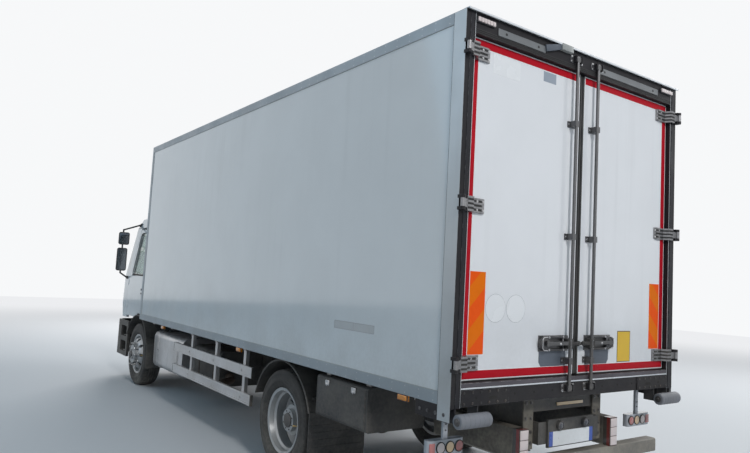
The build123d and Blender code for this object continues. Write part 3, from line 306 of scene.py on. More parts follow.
class Effect(Enum):
    """Shader groups that several finishes share."""

    DUST = "road_dust"
    WEAR = "edge_wear"
    STREAKS = "rain_streaks"
    GRAIN = "fine_grain"
    BRUSH = "brushed_lines"
    SPOTS = "stone_spots"
    WEAVE = "plain_weave"


class Effects:
    """Builds each shared shader group once."""

    def __init__(self) -> None:
        """Start with no group built."""
        self.built: dict[Effect, bpy.types.NodeTree] = {}

    def group(self, effect: Effect) -> bpy.types.NodeTree:
        """Give a group, and build it the first time.

        Args:
            effect: Which group.

        Returns:
            The group's tree.
        """
        if effect not in self.built:
            makers: dict[Effect, Callable[[], bpy.types.NodeTree]] = {
                Effect.DUST: self.dust,
                Effect.WEAR: self.wear,
                Effect.STREAKS: self.streaks,
                Effect.GRAIN: self.grain,
                Effect.BRUSH: self.brush,
                Effect.SPOTS: self.spots,
                Effect.WEAVE: self.weave,
            }
            self.built[effect] = makers[effect]()
        return self.built[effect]

    def start(self, effect: Effect, inputs: Sequence[tuple[str, float]],
              output: str) -> tuple[Graph, bpy.types.Node]:
        """Make an empty group with named sockets.

        Args:
            effect: Which group.
            inputs: Name and default of each input value.
            output: Name of the one output value.

        Returns:
            The graph and its input node.
        """
        tree = bpy.data.node_groups.new(effect.value, "ShaderNodeTree")
        for name, default in inputs:
            socket = tree.interface.new_socket(name, in_out="INPUT", socket_type="NodeSocketFloat")
            socket.default_value = default
        tree.interface.new_socket(output, in_out="OUTPUT", socket_type="NodeSocketFloat")
        return Graph(tree), tree.nodes.new("NodeGroupInput")

    def close(self, graph: Graph, value: bpy.types.NodeSocket) -> bpy.types.NodeTree:
        """Put a value out of a group.

        Args:
            graph: The group's graph.
            value: The value's socket.

        Returns:
            The finished group.
        """
        result = graph.tree.nodes.new("NodeGroupOutput")
        graph.tree.links.new(value, result.inputs[0])
        return graph.tree

    def dust(self) -> bpy.types.NodeTree:
        """Road dust: thick near the ground and on faces that look up."""
        graph, given = self.start(Effect.DUST,
                                  (("Amount", 0.5), ("Low", 0.3), ("High", 1.6), ("Scale", 3.0),
                                   ("Tops", 0.4)), "Mask")
        place = graph.add("SeparateXYZ", {0: graph.add("TexCoord").outputs["Object"]})
        height = graph.add("MapRange", {"Value": place.outputs[2], "From Min": given.outputs["High"],
                                        "From Max": given.outputs["Low"]}).outputs[0]
        facing = graph.add("SeparateXYZ", {0: graph.add("NewGeometry").outputs["Normal"]})
        tops = graph.math("MULTIPLY", graph.ramp(facing.outputs[2], 0.25, 0.95), given.outputs["Tops"])
        broad = graph.ramp(graph.noise(given.outputs["Scale"], 6.0), 0.32, 0.72)
        fine = graph.ramp(graph.noise(38.0, 5.0), 0.3, 0.75)
        cover = graph.math("MAXIMUM", height, tops)
        both = graph.math("MULTIPLY", cover, graph.math("ADD", graph.math("MULTIPLY", broad, 0.7),
                                                        graph.math("MULTIPLY", fine, 0.3)))
        mask = graph.math("MULTIPLY", both, given.outputs["Amount"], clamp=True)
        return self.close(graph, mask)

    def wear(self) -> bpy.types.NodeTree:
        """Wear along outer edges, from the turn of a bevelled normal."""
        graph, given = self.start(Effect.WEAR, (("Amount", 0.5), ("Radius", 0.004), ("Scale", 22.0)), "Mask")
        soft = graph.add("Bevel", {"Radius": given.outputs["Radius"]}, samples=4).outputs[0]
        plain = graph.add("NewGeometry").outputs["Normal"]
        turn = graph.add("VectorMath", {0: soft, 1: plain}, operation="DOT_PRODUCT").outputs["Value"]
        edge = graph.ramp(graph.math("SUBTRACT", 1.0, turn), 0.01, 0.12)
        broken = graph.ramp(graph.noise(given.outputs["Scale"], 6.0), 0.45, 0.62)
        mask = graph.math("MULTIPLY", graph.math("MULTIPLY", edge, broken), given.outputs["Amount"],
                          clamp=True)
        return self.close(graph, mask)

    def streaks(self) -> bpy.types.NodeTree:
        """Faint marks that rain leaves down an upright panel."""
        graph, given = self.start(Effect.STREAKS, (("Amount", 0.3), ("Scale", 9.0)), "Mask")
        tall = graph.coordinates((1.0, 1.0, 0.045))
        lines = graph.ramp(graph.noise(given.outputs["Scale"], 5.0, tall), 0.5, 0.74)
        broad = graph.ramp(graph.noise(0.8, 3.0), 0.35, 0.7)
        mask = graph.math("MULTIPLY", graph.math("MULTIPLY", lines, broad), given.outputs["Amount"],
                          clamp=True)
        return self.close(graph, mask)

    def grain(self) -> bpy.types.NodeTree:
        """Fine grain of moulded plastic, paint or cast metal, as a height."""
        graph, given = self.start(Effect.GRAIN, (("Amount", 1.0), ("Scale", 400.0)), "Height")
        height = graph.math("MULTIPLY", graph.noise(given.outputs["Scale"], 2.0), given.outputs["Amount"])
        return self.close(graph, height)

    def brush(self) -> bpy.types.NodeTree:
        """Drawn or brushed lines along Y, as a height."""
        graph, given = self.start(Effect.BRUSH, (("Amount", 1.0), ("Scale", 60.0)), "Height")
        long = graph.coordinates((1.0, 0.02, 1.0))
        height = graph.math("MULTIPLY", graph.noise(given.outputs["Scale"], 4.0, long),
                            given.outputs["Amount"])
        return self.close(graph, height)

    def spots(self) -> bpy.types.NodeTree:
        """Cells of different shade, as the flowers of a zinc coat."""
        graph, given = self.start(Effect.SPOTS, (("Amount", 1.0), ("Scale", 60.0)), "Mask")
        cells = graph.add("TexVoronoi", {"Vector": graph.coordinates(), "Scale": given.outputs["Scale"]})
        grey = graph.add("RGBToBW", {0: cells.outputs["Color"]}).outputs[0]
        mask = graph.math("MULTIPLY", grey, given.outputs["Amount"], clamp=True)
        return self.close(graph, mask)

    def weave(self) -> bpy.types.NodeTree:
        """Threads that cross, as a height; it also makes the cells of marking tape."""
        graph, given = self.start(Effect.WEAVE, (("Amount", 1.0), ("Scale", 220.0)), "Height")
        place = graph.add("TexCoord").outputs["Object"]
        threads = [graph.add("TexWave", {"Vector": place, "Scale": given.outputs["Scale"], "Distortion": 0.4},
                             bands_direction=axis).outputs["Fac"] for axis in ("X", "Z", "Y")]
        crossed = graph.math("MAXIMUM", threads[0], graph.math("MULTIPLY", threads[1], threads[2]))
        height = graph.math("MULTIPLY", crossed, given.outputs["Amount"])
        return self.close(graph, height)


EFFECTS = Effects()


@dataclass(frozen=True)
class Finish:
    """One finish of the truck, with its dirt and its wear.

    The colours are as the clean surface shows them, save a few that hold painted shade, a painted highlight
    or a painted reflection, as their comments say.
    """

    name: str
    slot: Slot
    colour: Colour
    roughness: float = 0.5
    metallic: float = 0.0
    coat: float = 0.0
    specular: float = 0.5
    variation: float = 0.04
    dust: float = 0.3
    dust_low: float = 0.2
    dust_high: float = 1.5
    dust_tops: float = 0.4
    dust_colour: Colour = (0.30, 0.27, 0.23)
    wear: float = 0.0
    wear_colour: Colour = (0.45, 0.45, 0.46)
    streaks: float = 0.0
    grain: float = 0.1
    grain_scale: float = 350.0
    brush: float = 0.0
    zinc: float = 0.0
    waves: float = 0.0
    transmission: float = 0.0
    emission: float = 0.0
    weave: float = 0.0
    weave_scale: float = 160.0
    bump: float = 0.0006
    zones: tuple[Zone, ...] = ()

    def material(self) -> bpy.types.Material:
        """Give the finish's material, and build it the first time."""
        found = bpy.data.materials.get(self.name)
        return found if found is not None else self.build()

    def effect(self, graph: Graph, effect: Effect, values: dict) -> bpy.types.NodeSocket:
        """Place one shared group in the material.

        Args:
            graph: The material's graph.
            effect: Which group.
            values: The group's inputs by name.

        Returns:
            The group's one output.
        """
        node = graph.tree.nodes.new("ShaderNodeGroup")
        node.node_tree = EFFECTS.group(effect)
        for name, value in values.items():
            node.inputs[name].default_value = value
        return node.outputs[0]

    def base_colour(self, graph: Graph) -> bpy.types.NodeSocket:
        """Colour of the clean surface, a little uneven.

        Args:
            graph: The material's graph.

        Returns:
            The colour's socket.
        """
        darker = tuple(c * (1.0 - self.variation * 2.0) for c in self.colour)
        colour = graph.mix(graph.ramp(graph.noise(1.7, 5.0), 0.3, 0.7), self.colour, darker)
        for zone in self.zones:
            colour = graph.mix(zone.mask(graph), colour, zone.colour)
        return colour

    def build(self) -> bpy.types.Material:
        """Build the node tree of the finish.

        Returns:
            The new material.
        """
        material = bpy.data.materials.new(self.name)
        material.use_nodes = True
        material.node_tree.nodes.clear()
        graph = Graph(material.node_tree)
        colour = self.base_colour(graph)
        rough = graph.math("MULTIPLY_ADD", graph.ramp(graph.noise(5.0, 6.0), 0.3, 0.7), 0.12)
        rough.node.inputs[2].default_value = max(self.roughness - 0.06, 0.02)
        if self.zinc:
            cells = self.effect(graph, Effect.SPOTS, {"Amount": self.zinc, "Scale": 75.0})
            colour = graph.mix(cells, colour, tuple(c * 0.62 for c in self.colour))
            rough = graph.math("MULTIPLY_ADD", cells, 0.25, clamp=True)
            rough.node.inputs[2].default_value = self.roughness
        if self.wear:
            worn = self.effect(graph, Effect.WEAR, {"Amount": self.wear})
            colour = graph.mix(worn, colour, self.wear_colour)
        if self.streaks:
            marks = self.effect(graph, Effect.STREAKS, {"Amount": self.streaks})
            colour = graph.mix(marks, colour, tuple(c * 0.55 for c in self.colour))
            rough = graph.math("MULTIPLY_ADD", marks, 0.5, clamp=True)
            rough.node.inputs[2].default_value = self.roughness
        if self.dust:
            film = self.effect(graph, Effect.DUST, {"Amount": self.dust, "Low": self.dust_low,
                                                    "High": self.dust_high, "Tops": self.dust_tops})
            colour = graph.mix(film, colour, self.dust_colour)
            rough = graph.add("Mix", {0: film, 2: rough, 3: 0.85}).outputs[0]
        normal = self.surface(graph)
        shader = graph.add("BsdfPrincipled", {"Base Color": colour, "Roughness": rough, "Normal": normal})
        for name, value in (("Metallic", self.metallic), ("Coat Weight", self.coat), ("Coat Roughness", 0.06),
                            ("Specular IOR Level", self.specular),
                            ("Transmission Weight", self.transmission), ("Emission Strength", self.emission)):
            shader.inputs[name].default_value = value
        if self.emission:
            shader.inputs["Emission Color"].default_value = (*self.colour, 1.0)
        graph.add("OutputMaterial", {"Surface": shader.outputs[0]})
        return material

    def surface(self, graph: Graph) -> bpy.types.NodeSocket:
        """Bump of the surface: grain, drawn lines and long waves.

        Args:
            graph: The material's graph.

        Returns:
            The normal's socket.
        """
        height = self.effect(graph, Effect.GRAIN, {"Amount": self.grain, "Scale": self.grain_scale})
        if self.brush:
            lines = self.effect(graph, Effect.BRUSH, {"Amount": self.brush})
            height = graph.math("ADD", height, lines)
        if self.weave:
            threads = self.effect(graph, Effect.WEAVE, {"Amount": self.weave, "Scale": self.weave_scale})
            height = graph.math("ADD", height, threads)
        bump = graph.add("Bump", {"Height": height, "Distance": self.bump, "Strength": 0.6})
        if self.waves:
            long = graph.noise(1.1, 1.0, graph.coordinates((1.0, 0.8, 1.3)))
            wavy = graph.add("Bump", {"Height": long, "Distance": self.waves, "Strength": 1.0})
            graph.tree.links.new(wavy.outputs[0], bump.inputs["Normal"])
        return bump.outputs[0]


@dataclass(frozen=True)
class StripedFinish(Finish):
    """Marking plate with slanting stripes that rise towards the truck's middle."""

    second: Colour = (0.7, 0.2, 0.01)
    pitch: float = 0.29
    start: float = 2.974

    def base_colour(self, graph: Graph) -> bpy.types.NodeSocket:
        """Colour of the stripes.

        Args:
            graph: The material's graph.

        Returns:
            The colour's socket.
        """
        place = graph.add("SeparateXYZ", {0: graph.add("TexCoord").outputs["Object"]})
        slant = graph.math("ADD", place.outputs[2], graph.math("ABSOLUTE", place.outputs[0]))
        turn = graph.math("FRACT", graph.math("DIVIDE", graph.math("SUBTRACT", slant, self.start),
                                              self.pitch))
        return graph.mix(graph.math("GREATER_THAN", turn, 0.5), self.colour, self.second)


# White of the body's walls: a little darker and cooler than the doors' white, as painted shade on the sides.
WHITE_PANEL = Finish("white_gel_coat_with_painted_shade", Slot.WHITE_PANEL, (0.80, 0.82, 0.83), 0.10, coat=0.5, variation=0.02,
                     dust=0.35, dust_low=0.9, dust_high=1.75, dust_tops=0.35, streaks=0.10, grain=0.02,
                     waves=0.0012)
WHITE_DOOR = Finish("white_door_skin", Slot.WHITE_PANEL, (0.86, 0.86, 0.88), 0.16, coat=0.4, variation=0.02,
                    dust=0.22, dust_low=1.0, dust_high=1.9, dust_tops=0.3, streaks=0.14, grain=0.03,
                    waves=0.0006)
WHITE_PAINT = Finish("white_cab_paint", Slot.WHITE_PAINT, (0.84, 0.85, 0.86), 0.14, coat=0.6, variation=0.02,
                     dust=0.4, dust_low=0.7, dust_high=1.7, dust_tops=0.25, streaks=0.08, grain=0.03,
                     waves=0.0004)
# The steel frame round the rear doors is painted near black, as painted shade.
GREY_FRAME = Finish("frame_grey_with_painted_shade", Slot.GREY_FRAME, (0.012, 0.011, 0.014), 0.55, specular=0.3,
                    variation=0.12, dust=0.07, dust_low=0.9, dust_high=2.2, wear=0.5,
                    wear_colour=(0.30, 0.30, 0.31), grain=0.06)
CHASSIS_PAINT = Finish("black_chassis_paint", Slot.CHASSIS_PAINT, (0.030, 0.030, 0.033), 0.45, variation=0.2,
                       dust=0.75, dust_low=0.2, dust_high=1.5, wear=0.5, wear_colour=(0.16, 0.11, 0.08),
                       grain=0.15)
ALUMINIUM = Finish("dull_aluminium", Slot.ALUMINIUM, (0.60, 0.61, 0.63), 0.38, metallic=0.85, variation=0.08,
                   dust=0.4, dust_low=0.5, dust_high=1.8, wear=0.2, wear_colour=(0.8, 0.8, 0.82), grain=0.05,
                   brush=0.5)
GALVANISED = Finish("galvanised_zinc", Slot.GALVANISED, (0.46, 0.46, 0.47), 0.42, metallic=0.7,
                    variation=0.12, dust=0.45, dust_low=0.4, dust_high=1.6, zinc=0.7, grain=0.12)
DOOR_FITTING = Finish("door_fitting_zinc", Slot.GALVANISED, (0.15, 0.15, 0.155), 0.36, metallic=0.8,
                      variation=0.15, dust=0.35, dust_low=0.9, dust_high=1.9, wear=0.4,
                      wear_colour=(0.6, 0.6, 0.61), zinc=0.4, grain=0.1,
                      zones=(Zone((0.30, 0.30, 0.31), x=(1.0, 9.0)),))
BLACK_PLASTIC = Finish("black_moulded_plastic", Slot.BLACK_PLASTIC, (0.030, 0.031, 0.033), 0.55,
                       variation=0.15, dust=0.5, dust_low=0.2, dust_high=1.9, wear=0.3,
                       wear_colour=(0.12, 0.12, 0.12), grain=0.7, grain_scale=520.0)
RUBBER = Finish("seal_rubber", Slot.BLACK_PLASTIC, (0.016, 0.016, 0.017), 0.6, variation=0.2, dust=0.35,
                dust_low=0.6, dust_high=2.4, grain=0.4, grain_scale=300.0)
HOLE_BLACK = Finish("dark_opening", Slot.BLACK_PLASTIC, (0.006, 0.006, 0.006), 0.9, dust=0.2, grain=0.2)
DARK_METAL = Finish("dark_cast_metal", Slot.CHASSIS_PAINT, (0.085, 0.085, 0.092), 0.38, metallic=0.6,
                    variation=0.2, dust=0.4, dust_low=0.9, dust_high=2.0, wear=0.7,
                    wear_colour=(0.40, 0.40, 0.41), grain=0.5, grain_scale=260.0)
BRIGHT_STEEL = Finish("bright_steel", Slot.GALVANISED, (0.66, 0.66, 0.67), 0.22, metallic=0.95, variation=0.1,
                      dust=0.2, dust_low=0.6, dust_high=1.6, grain=0.08)
# Painted shade: the plate under each door handle is the handle's painted shadow, and the header housing's
# wing is painted darker as its shaded side.
PAINTED_SHADE_GREY = Finish("painted_shade_grey_plate", Slot.GREY_FRAME, (0.125, 0.145, 0.18), 0.4, metallic=0.3,
                    variation=0.15, dust=0.3, wear=0.6, wear_colour=(0.45, 0.46, 0.48), grain=0.15, brush=0.4)
SCUFF_PALE = Finish("faded_grey_patch", Slot.WHITE_PANEL, (0.42, 0.47, 0.55), 0.45, variation=0.12, dust=0.2)
# Pale strips of the rear frame; along the header's top edge the pale is a painted highlight.
PALE_TRIM_AND_HIGHLIGHT = Finish("pale_trim_and_painted_highlight", Slot.ALUMINIUM, (0.80, 0.82, 0.85), 0.3, metallic=0.3, dust=0.25,
                   dust_low=0.6, dust_high=1.5, wear=0.2, wear_colour=(0.3, 0.3, 0.3), brush=0.2)
COVER_GREY = Finish("grey_cover_plate", Slot.GREY_FRAME, (0.22, 0.23, 0.24), 0.4, metallic=0.2,
                    variation=0.15, dust=0.3, wear=0.5, wear_colour=(0.5, 0.5, 0.5))
# The posts' bands, near black like the frame round the doors: painted shade.
POST_GREY = Finish("post_grey_with_painted_shade", Slot.GREY_FRAME, (0.018, 0.018, 0.023), 0.5, specular=0.25,
                   variation=0.14, dust=0.06, dust_low=0.9, dust_high=2.2, wear=0.4,
                   wear_colour=(0.35, 0.35, 0.36))
SIDE_TRIM = Finish("pale_corner_profile", Slot.ALUMINIUM, (0.50, 0.53, 0.55), 0.3, metallic=0.4,
                   variation=0.08, dust=0.4, dust_low=0.8, dust_high=1.9, streaks=0.15, brush=0.2)
THRESHOLD = Finish("threshold_grey", Slot.GREY_FRAME, (0.115, 0.102, 0.118), 0.4, metallic=0.4,
                   variation=0.18, dust=0.2, wear=0.8, wear_colour=(0.5, 0.5, 0.5), brush=0.6)
TAPE_RED = Finish("red_marking_tape", Slot.WHITE_PANEL, (0.52, 0.004, 0.016), 0.5, specular=0.15,
                  variation=0.05, dust=0.04, dust_low=1.0, dust_high=1.5, weave=0.5, weave_scale=90.0,
                  grain=0.05)
TAPE_WHITE = Finish("white_marking_border", Slot.WHITE_PANEL, (0.86, 0.86, 0.87), 0.3, coat=0.3,
                    variation=0.03, dust=0.2, dust_low=1.0, dust_high=1.5)
STRIPES = StripedFinish("striped_marking", Slot.WHITE_PANEL, (0.95, 0.105, 0.006), 0.5, specular=0.15,
                        dust=0.05, dust_low=1.0, dust_high=1.6, weave=0.3, weave_scale=90.0,
                        second=(0.88, 0.18, 0.002))
RING_GREY = Finish("disc_ring_grey", Slot.WHITE_PANEL, (0.38, 0.38, 0.40), 0.4, dust=0.15)
DISC_WHITE = Finish("blank_disc_white", Slot.WHITE_PANEL, (0.90, 0.90, 0.91), 0.28, variation=0.02, dust=0.12)
SIGN_DARK = Finish("sign_border_dark", Slot.WHITE_PANEL, (0.035, 0.022, 0.018), 0.4, dust=0.15)
SIGN_AMBER = Finish("sign_face_amber", Slot.WHITE_PANEL, (0.80, 0.50, 0.035), 0.34, variation=0.05, dust=0.2)
PLATE_WHITE = Finish("number_plate_white", Slot.WHITE_PANEL, (0.84, 0.85, 0.86), 0.26, coat=0.4, dust=0.4,
                     dust_low=0.4, dust_high=1.1, weave=0.2, weave_scale=120.0)
PLATE_BLUE = Finish("number_plate_blue", Slot.WHITE_PANEL, (0.02, 0.08, 0.42), 0.26, coat=0.4, dust=0.3,
                    dust_low=0.4, dust_high=1.1)
BUFFER = Finish("pale_buffer", Slot.BUFFER, (0.24, 0.25, 0.28), 0.6, variation=0.18, dust=0.4, dust_low=0.7,
                dust_high=1.3, wear=0.6, wear_colour=(0.07, 0.07, 0.08), grain=0.8, grain_scale=120.0,
                zones=(Zone((0.03, 0.03, 0.035), y=(4.0, 4.352)),))
LENS = Finish("lamp_plastic", Slot.LENS, (0.20, 0.012, 0.012), 0.14, coat=0.6, dust=0.3, dust_low=0.3,
              dust_high=1.2, grain=0.1, grain_scale=220.0,
              zones=(Zone((0.62, 0.64, 0.66), y=(-9.0, -4.2)), Zone((0.72, 0.24, 0.012), x=(1.26, 9.0)),
                     Zone((0.40, 0.42, 0.46), x=(0.95, 1.296), y=(4.0, 4.2)),
                     Zone((0.040, 0.034, 0.030), x=(0.48, 0.59), y=(4.20, 4.272), z=(0.6, 0.86))))
# Pale lens colour: the clear lamps' own; on the faces of the red lamps at the arms' ends it is a painted
# highlight.
LENS_PALE_AND_SHEEN = Finish("pale_lens_and_painted_sheen", Slot.LENS, (0.80, 0.68, 0.66), 0.1, coat=0.8, variation=0.05, dust=0.25,
                   dust_low=0.4, dust_high=1.2, weave=0.5, weave_scale=60.0)
LENS_CLEAR = Finish("clear_lens", Slot.LENS, (0.86, 0.88, 0.90), 0.05, transmission=0.85, variation=0.0,
                    dust=0.15, dust_low=0.3, dust_high=1.2, weave=0.5, weave_scale=45.0)
LENS_AMBER = Finish("amber_lens", Slot.LENS, (0.80, 0.27, 0.012), 0.08, coat=0.8, dust=0.25, dust_low=0.3,
                    dust_high=1.2, weave=0.6, weave_scale=60.0)
REFLECTOR = Finish("lamp_reflector", Slot.LENS, (0.86, 0.87, 0.88), 0.08, metallic=1.0, variation=0.02,
                   dust=0.0)
GLASS = Finish("cab_glass", Slot.GLASS, (0.62, 0.70, 0.68), 0.03, transmission=1.0, variation=0.0, dust=0.08,
               dust_low=1.3, dust_high=2.4, dust_tops=0.05, grain=0.0)
MIRROR_GLASS = Finish("mirror_glass", Slot.GLASS, (0.30, 0.32, 0.36), 0.02, metallic=1.0, variation=0.0,
                      dust=0.06, grain=0.0)
CLOTH = Finish("seat_weave", Slot.CLOTH, (0.055, 0.060, 0.075), 0.9, dust=0.12, variation=0.12, weave=1.0,
               weave_scale=230.0, grain=0.3, bump=0.0012)
SEAT_SIDE = Finish("seat_bolster", Slot.CLOTH, (0.020, 0.021, 0.024), 0.8, dust=0.12, grain=0.6,
                   grain_scale=500.0)
WEBBING = Finish("belt_webbing", Slot.CLOTH, (0.028, 0.028, 0.030), 0.7, dust=0.1, weave=1.0,
                 weave_scale=400.0)
CABIN_PLASTIC = Finish("cabin_plastic", Slot.BLACK_PLASTIC, (0.085, 0.088, 0.092), 0.6, variation=0.08,
                       dust=0.2, grain=0.8, grain_scale=420.0)
CABIN_PALE = Finish("cabin_lining", Slot.BLACK_PLASTIC, (0.32, 0.32, 0.31), 0.75, variation=0.08, dust=0.15,
                    grain=0.6, grain_scale=300.0)
DIAL_WHITE = Finish("dial_marks", Slot.WHITE_PANEL, (0.8, 0.8, 0.8), 0.4, dust=0.0)
TYRE = Finish("tyre_rubber", Slot.TYRE, (0.022, 0.022, 0.023), 0.72, variation=0.2, dust=0.6, dust_low=0.0,
              dust_high=1.0, grain=0.5, grain_scale=260.0)
WHEEL_STEEL = Finish("silver_wheel_paint", Slot.WHEEL, (0.50, 0.51, 0.52), 0.34, metallic=0.5, variation=0.1,
                     dust=0.6, dust_low=0.1, dust_high=0.95, wear=0.4, wear_colour=(0.2, 0.12, 0.08),
                     grain=0.15)
RUSTY_IRON = Finish("rusty_cast_iron", Slot.CHASSIS_PAINT, (0.085, 0.050, 0.034), 0.8, metallic=0.2,
                    variation=0.3, dust=0.6, dust_low=0.0, dust_high=1.1, grain=0.9, grain_scale=120.0)
BRASS = Finish("brass_fitting", Slot.GALVANISED, (0.62, 0.44, 0.18), 0.35, metallic=0.9, variation=0.1,
               dust=0.3)
STEP_ALLOY = Finish("chequered_alloy", Slot.ALUMINIUM, (0.52, 0.53, 0.54), 0.42, metallic=0.85,
                    variation=0.12, dust=0.5, dust_low=0.3, dust_high=1.2, wear=0.3,
                    wear_colour=(0.8, 0.8, 0.8), grain=0.2)
COVER_PALE = Finish("pale_housing", Slot.GREY_FRAME, (0.36, 0.37, 0.36), 0.4, variation=0.1, dust=0.25,
                    wear=0.4, wear_colour=(0.5, 0.5, 0.5))
LENS_SMOKED = Finish("smoked_lens", Slot.LENS, (0.030, 0.034, 0.050), 0.08, coat=0.8, dust=0.3, dust_low=0.4,
                     dust_high=1.2)
LENS_FADED_RED = Finish("faded_red_lens", Slot.LENS, (0.52, 0.16, 0.15), 0.1, coat=0.8, dust=0.3,
                        dust_low=0.4, dust_high=1.2, weave=0.6, weave_scale=60.0)
# Faded amber made paler still: a painted sheen of a lit-up reflection.
LENS_FADED_AMBER_AND_SHEEN = Finish("faded_amber_lens_and_sheen", Slot.LENS, (0.95, 0.66, 0.38), 0.1, coat=0.8, dust=0.3,
                          dust_low=0.4, dust_high=1.2, weave=0.6, weave_scale=60.0)
UNDERRUN = Finish("dusty_underrun_paint", Slot.GALVANISED, (0.20, 0.185, 0.165), 0.6, metallic=0.1,
                  variation=0.2, dust=0.6, dust_low=0.4, dust_high=1.4, dust_tops=0.6,
                  dust_colour=(0.52, 0.47, 0.38), wear=0.4, wear_colour=(0.10, 0.08, 0.07), grain=0.3,
                  zones=(Zone((0.045, 0.040, 0.036), z=(0.635, 1.4)),))
# Blue-grey of the body's aluminium rails: a painted reflection of a blue sky.
BODY_RAIL_WITH_PAINTED_SKY = Finish("body_rail_with_painted_sky_reflection", Slot.ALUMINIUM, (0.34, 0.39, 0.43), 0.42, metallic=0.35, variation=0.08,
                   dust=0.3, dust_low=0.5, dust_high=1.8, wear=0.2, wear_colour=(0.7, 0.72, 0.74), brush=0.4)


class Form:
    """The mesh of one piece while it is put together from shapes."""

    sharp_angle: float = 0.7
    merge_distance: float = 1e-5
    # Washer and outer face of a bolt, as shares of its head
    washer_height: float = 0.3
    washer_radius: float = 1.45
    head_taper: float = 0.88

    def __init__(self) -> None:
        """Start empty."""
        self.mesh = bmesh.new()

    def soften(self, verts: Iterable[bmesh.types.BMVert], bevel: float, segments: int) -> None:
        """Bevel the sharp edges of a shape.

        Args:
            verts: The shape's vertices.
            bevel: Width of the bevel, 0 for none.
            segments: How many steps the bevel has.
        """
        if bevel:
            edges = {edge for vert in verts for edge in vert.link_edges}
            sharp = [edge for edge in edges if edge.calc_face_angle(0.0) > self.sharp_angle]
            bmesh.ops.bevel(self.mesh, geom=sharp, offset=bevel, offset_type="OFFSET", segments=segments,
                            profile=0.5, affect="EDGES", material=-1)

    def box(self, x: Pair, y: Pair, z: Pair, bevel: float = 0.0, segments: int = 1) -> None:
        """Add a block.

        Args:
            x: Its two ends along X.
            y: Its two ends along Y.
            z: Its two ends along Z.
            bevel: Width of its bevelled edges.
            segments: How many steps the bevel has.
        """
        middle = [(pair[0] + pair[1]) / 2 for pair in (x, y, z)]
        size = [abs(pair[1] - pair[0]) for pair in (x, y, z)]
        matrix = Matrix.Translation(middle) @ Matrix.Diagonal((*size, 1.0))
        made = bmesh.ops.create_cube(self.mesh, size=1.0, matrix=matrix)
        self.soften(made["verts"], bevel, segments)

    def rod(self, start: Point, end: Point, radius: float, sides: int = 16, bevel: float = 0.0,
            tip: float | None = None) -> None:
        """Add a round bar, or a cone where its tip has another radius.

        Args:
            start: Middle of its first end.
            end: Middle of its last end.
            radius: Radius at the first end.
            sides: How many sides it has.
            bevel: Width of its bevelled rims.
            tip: Radius at the last end, if it differs.
        """
        span = Vector(end) - Vector(start)
        turn = span.to_track_quat("Z", "Y").to_matrix().to_4x4()
        matrix = Matrix.Translation((Vector(start) + Vector(end)) / 2) @ turn
        made = bmesh.ops.create_cone(self.mesh, cap_ends=True, cap_tris=False, segments=sides, radius1=radius,
                                     radius2=radius if tip is None else tip, depth=span.length, matrix=matrix)
        self.soften(made["verts"], bevel, 2)

    def ball(self, middle: Point, radius: float, flatten: Point = (1.0, 1.0, 1.0), sides: int = 12) -> None:
        """Add a ball or an ellipsoid.

        Args:
            middle: Its middle.
            radius: Its radius.
            flatten: Its scale along each axis.
            sides: How many sides it has.
        """
        matrix = Matrix.Translation(middle) @ Matrix.Diagonal((*flatten, 1.0))
        bmesh.ops.create_uvsphere(self.mesh, u_segments=sides, v_segments=sides // 2 + 1, radius=radius,
                                  matrix=matrix)

    def tube(self, points: Sequence[Point], radius: float, closed: bool = False, smooth: bool = False,
             resolution: int = 2) -> None:
        """Add a round bar that follows points.

        Args:
            points: The points in order.
            radius: The bar's radius.
            closed: Whether it runs back to its start.
            smooth: Whether it bends softly instead of at each point.
            resolution: How finely its section is rounded.
        """
        curve = bpy.data.curves.new("route", "CURVE")
        curve.dimensions = "3D"
        curve.bevel_depth = radius
        curve.bevel_resolution = resolution
        curve.use_fill_caps = True
        spline = curve.splines.new("NURBS" if smooth else "POLY")
        spline.points.add(len(points) - 1)
        for point, place in zip(spline.points, points):
            point.co = (*place, 1.0)
        spline.use_cyclic_u = closed
        if smooth:
            spline.order_u = 3
            spline.use_endpoint_u = not closed
            spline.resolution_u = 6
        holder = bpy.data.objects.new("route", curve)
        data = bpy.data.meshes.new_from_object(holder)
        self.mesh.from_mesh(data)
        bpy.data.objects.remove(holder)
        bpy.data.meshes.remove(data)
        bpy.data.curves.remove(curve)

    def mirror(self) -> None:
        """Add the mirrored copy of everything so far on the truck's other side."""
        made = bmesh.ops.duplicate(self.mesh, geom=[*self.mesh.verts, *self.mesh.edges, *self.mesh.faces])
        verts = [item for item in made["geom"] if isinstance(item, bmesh.types.BMVert)]
        bmesh.ops.scale(self.mesh, vec=(-1.0, 1.0, 1.0), verts=verts)

    def prism(self, outline: Sequence[Pair], axis: int, low: float, high: float, bevel: float = 0.0,
              segments: int = 1) -> None:
        """Extrude an outline along an axis.

        Args:
            outline: Corners of the outline, as the two other coordinates in order.
            axis: 0 for X, 1 for Y, 2 for Z.
            low: Where the shape starts.
            high: Where it ends.
            bevel: Width of its bevelled edges.
            segments: How many steps the bevel has.
        """
        verts = []
        for pair in outline:
            corner = list(pair)
            corner.insert(axis, low)
            verts.append(self.mesh.verts.new(corner))
        face = self.mesh.faces.new(verts)
        made = bmesh.ops.extrude_face_region(self.mesh, geom=[face])["geom"]
        moved = [item for item in made if isinstance(item, bmesh.types.BMVert)]
        shift = Vector((0.0, 0.0, 0.0))
        shift[axis] = high - low
        bmesh.ops.translate(self.mesh, verts=moved, vec=shift)
        self.soften([*verts, *moved], bevel, segments)

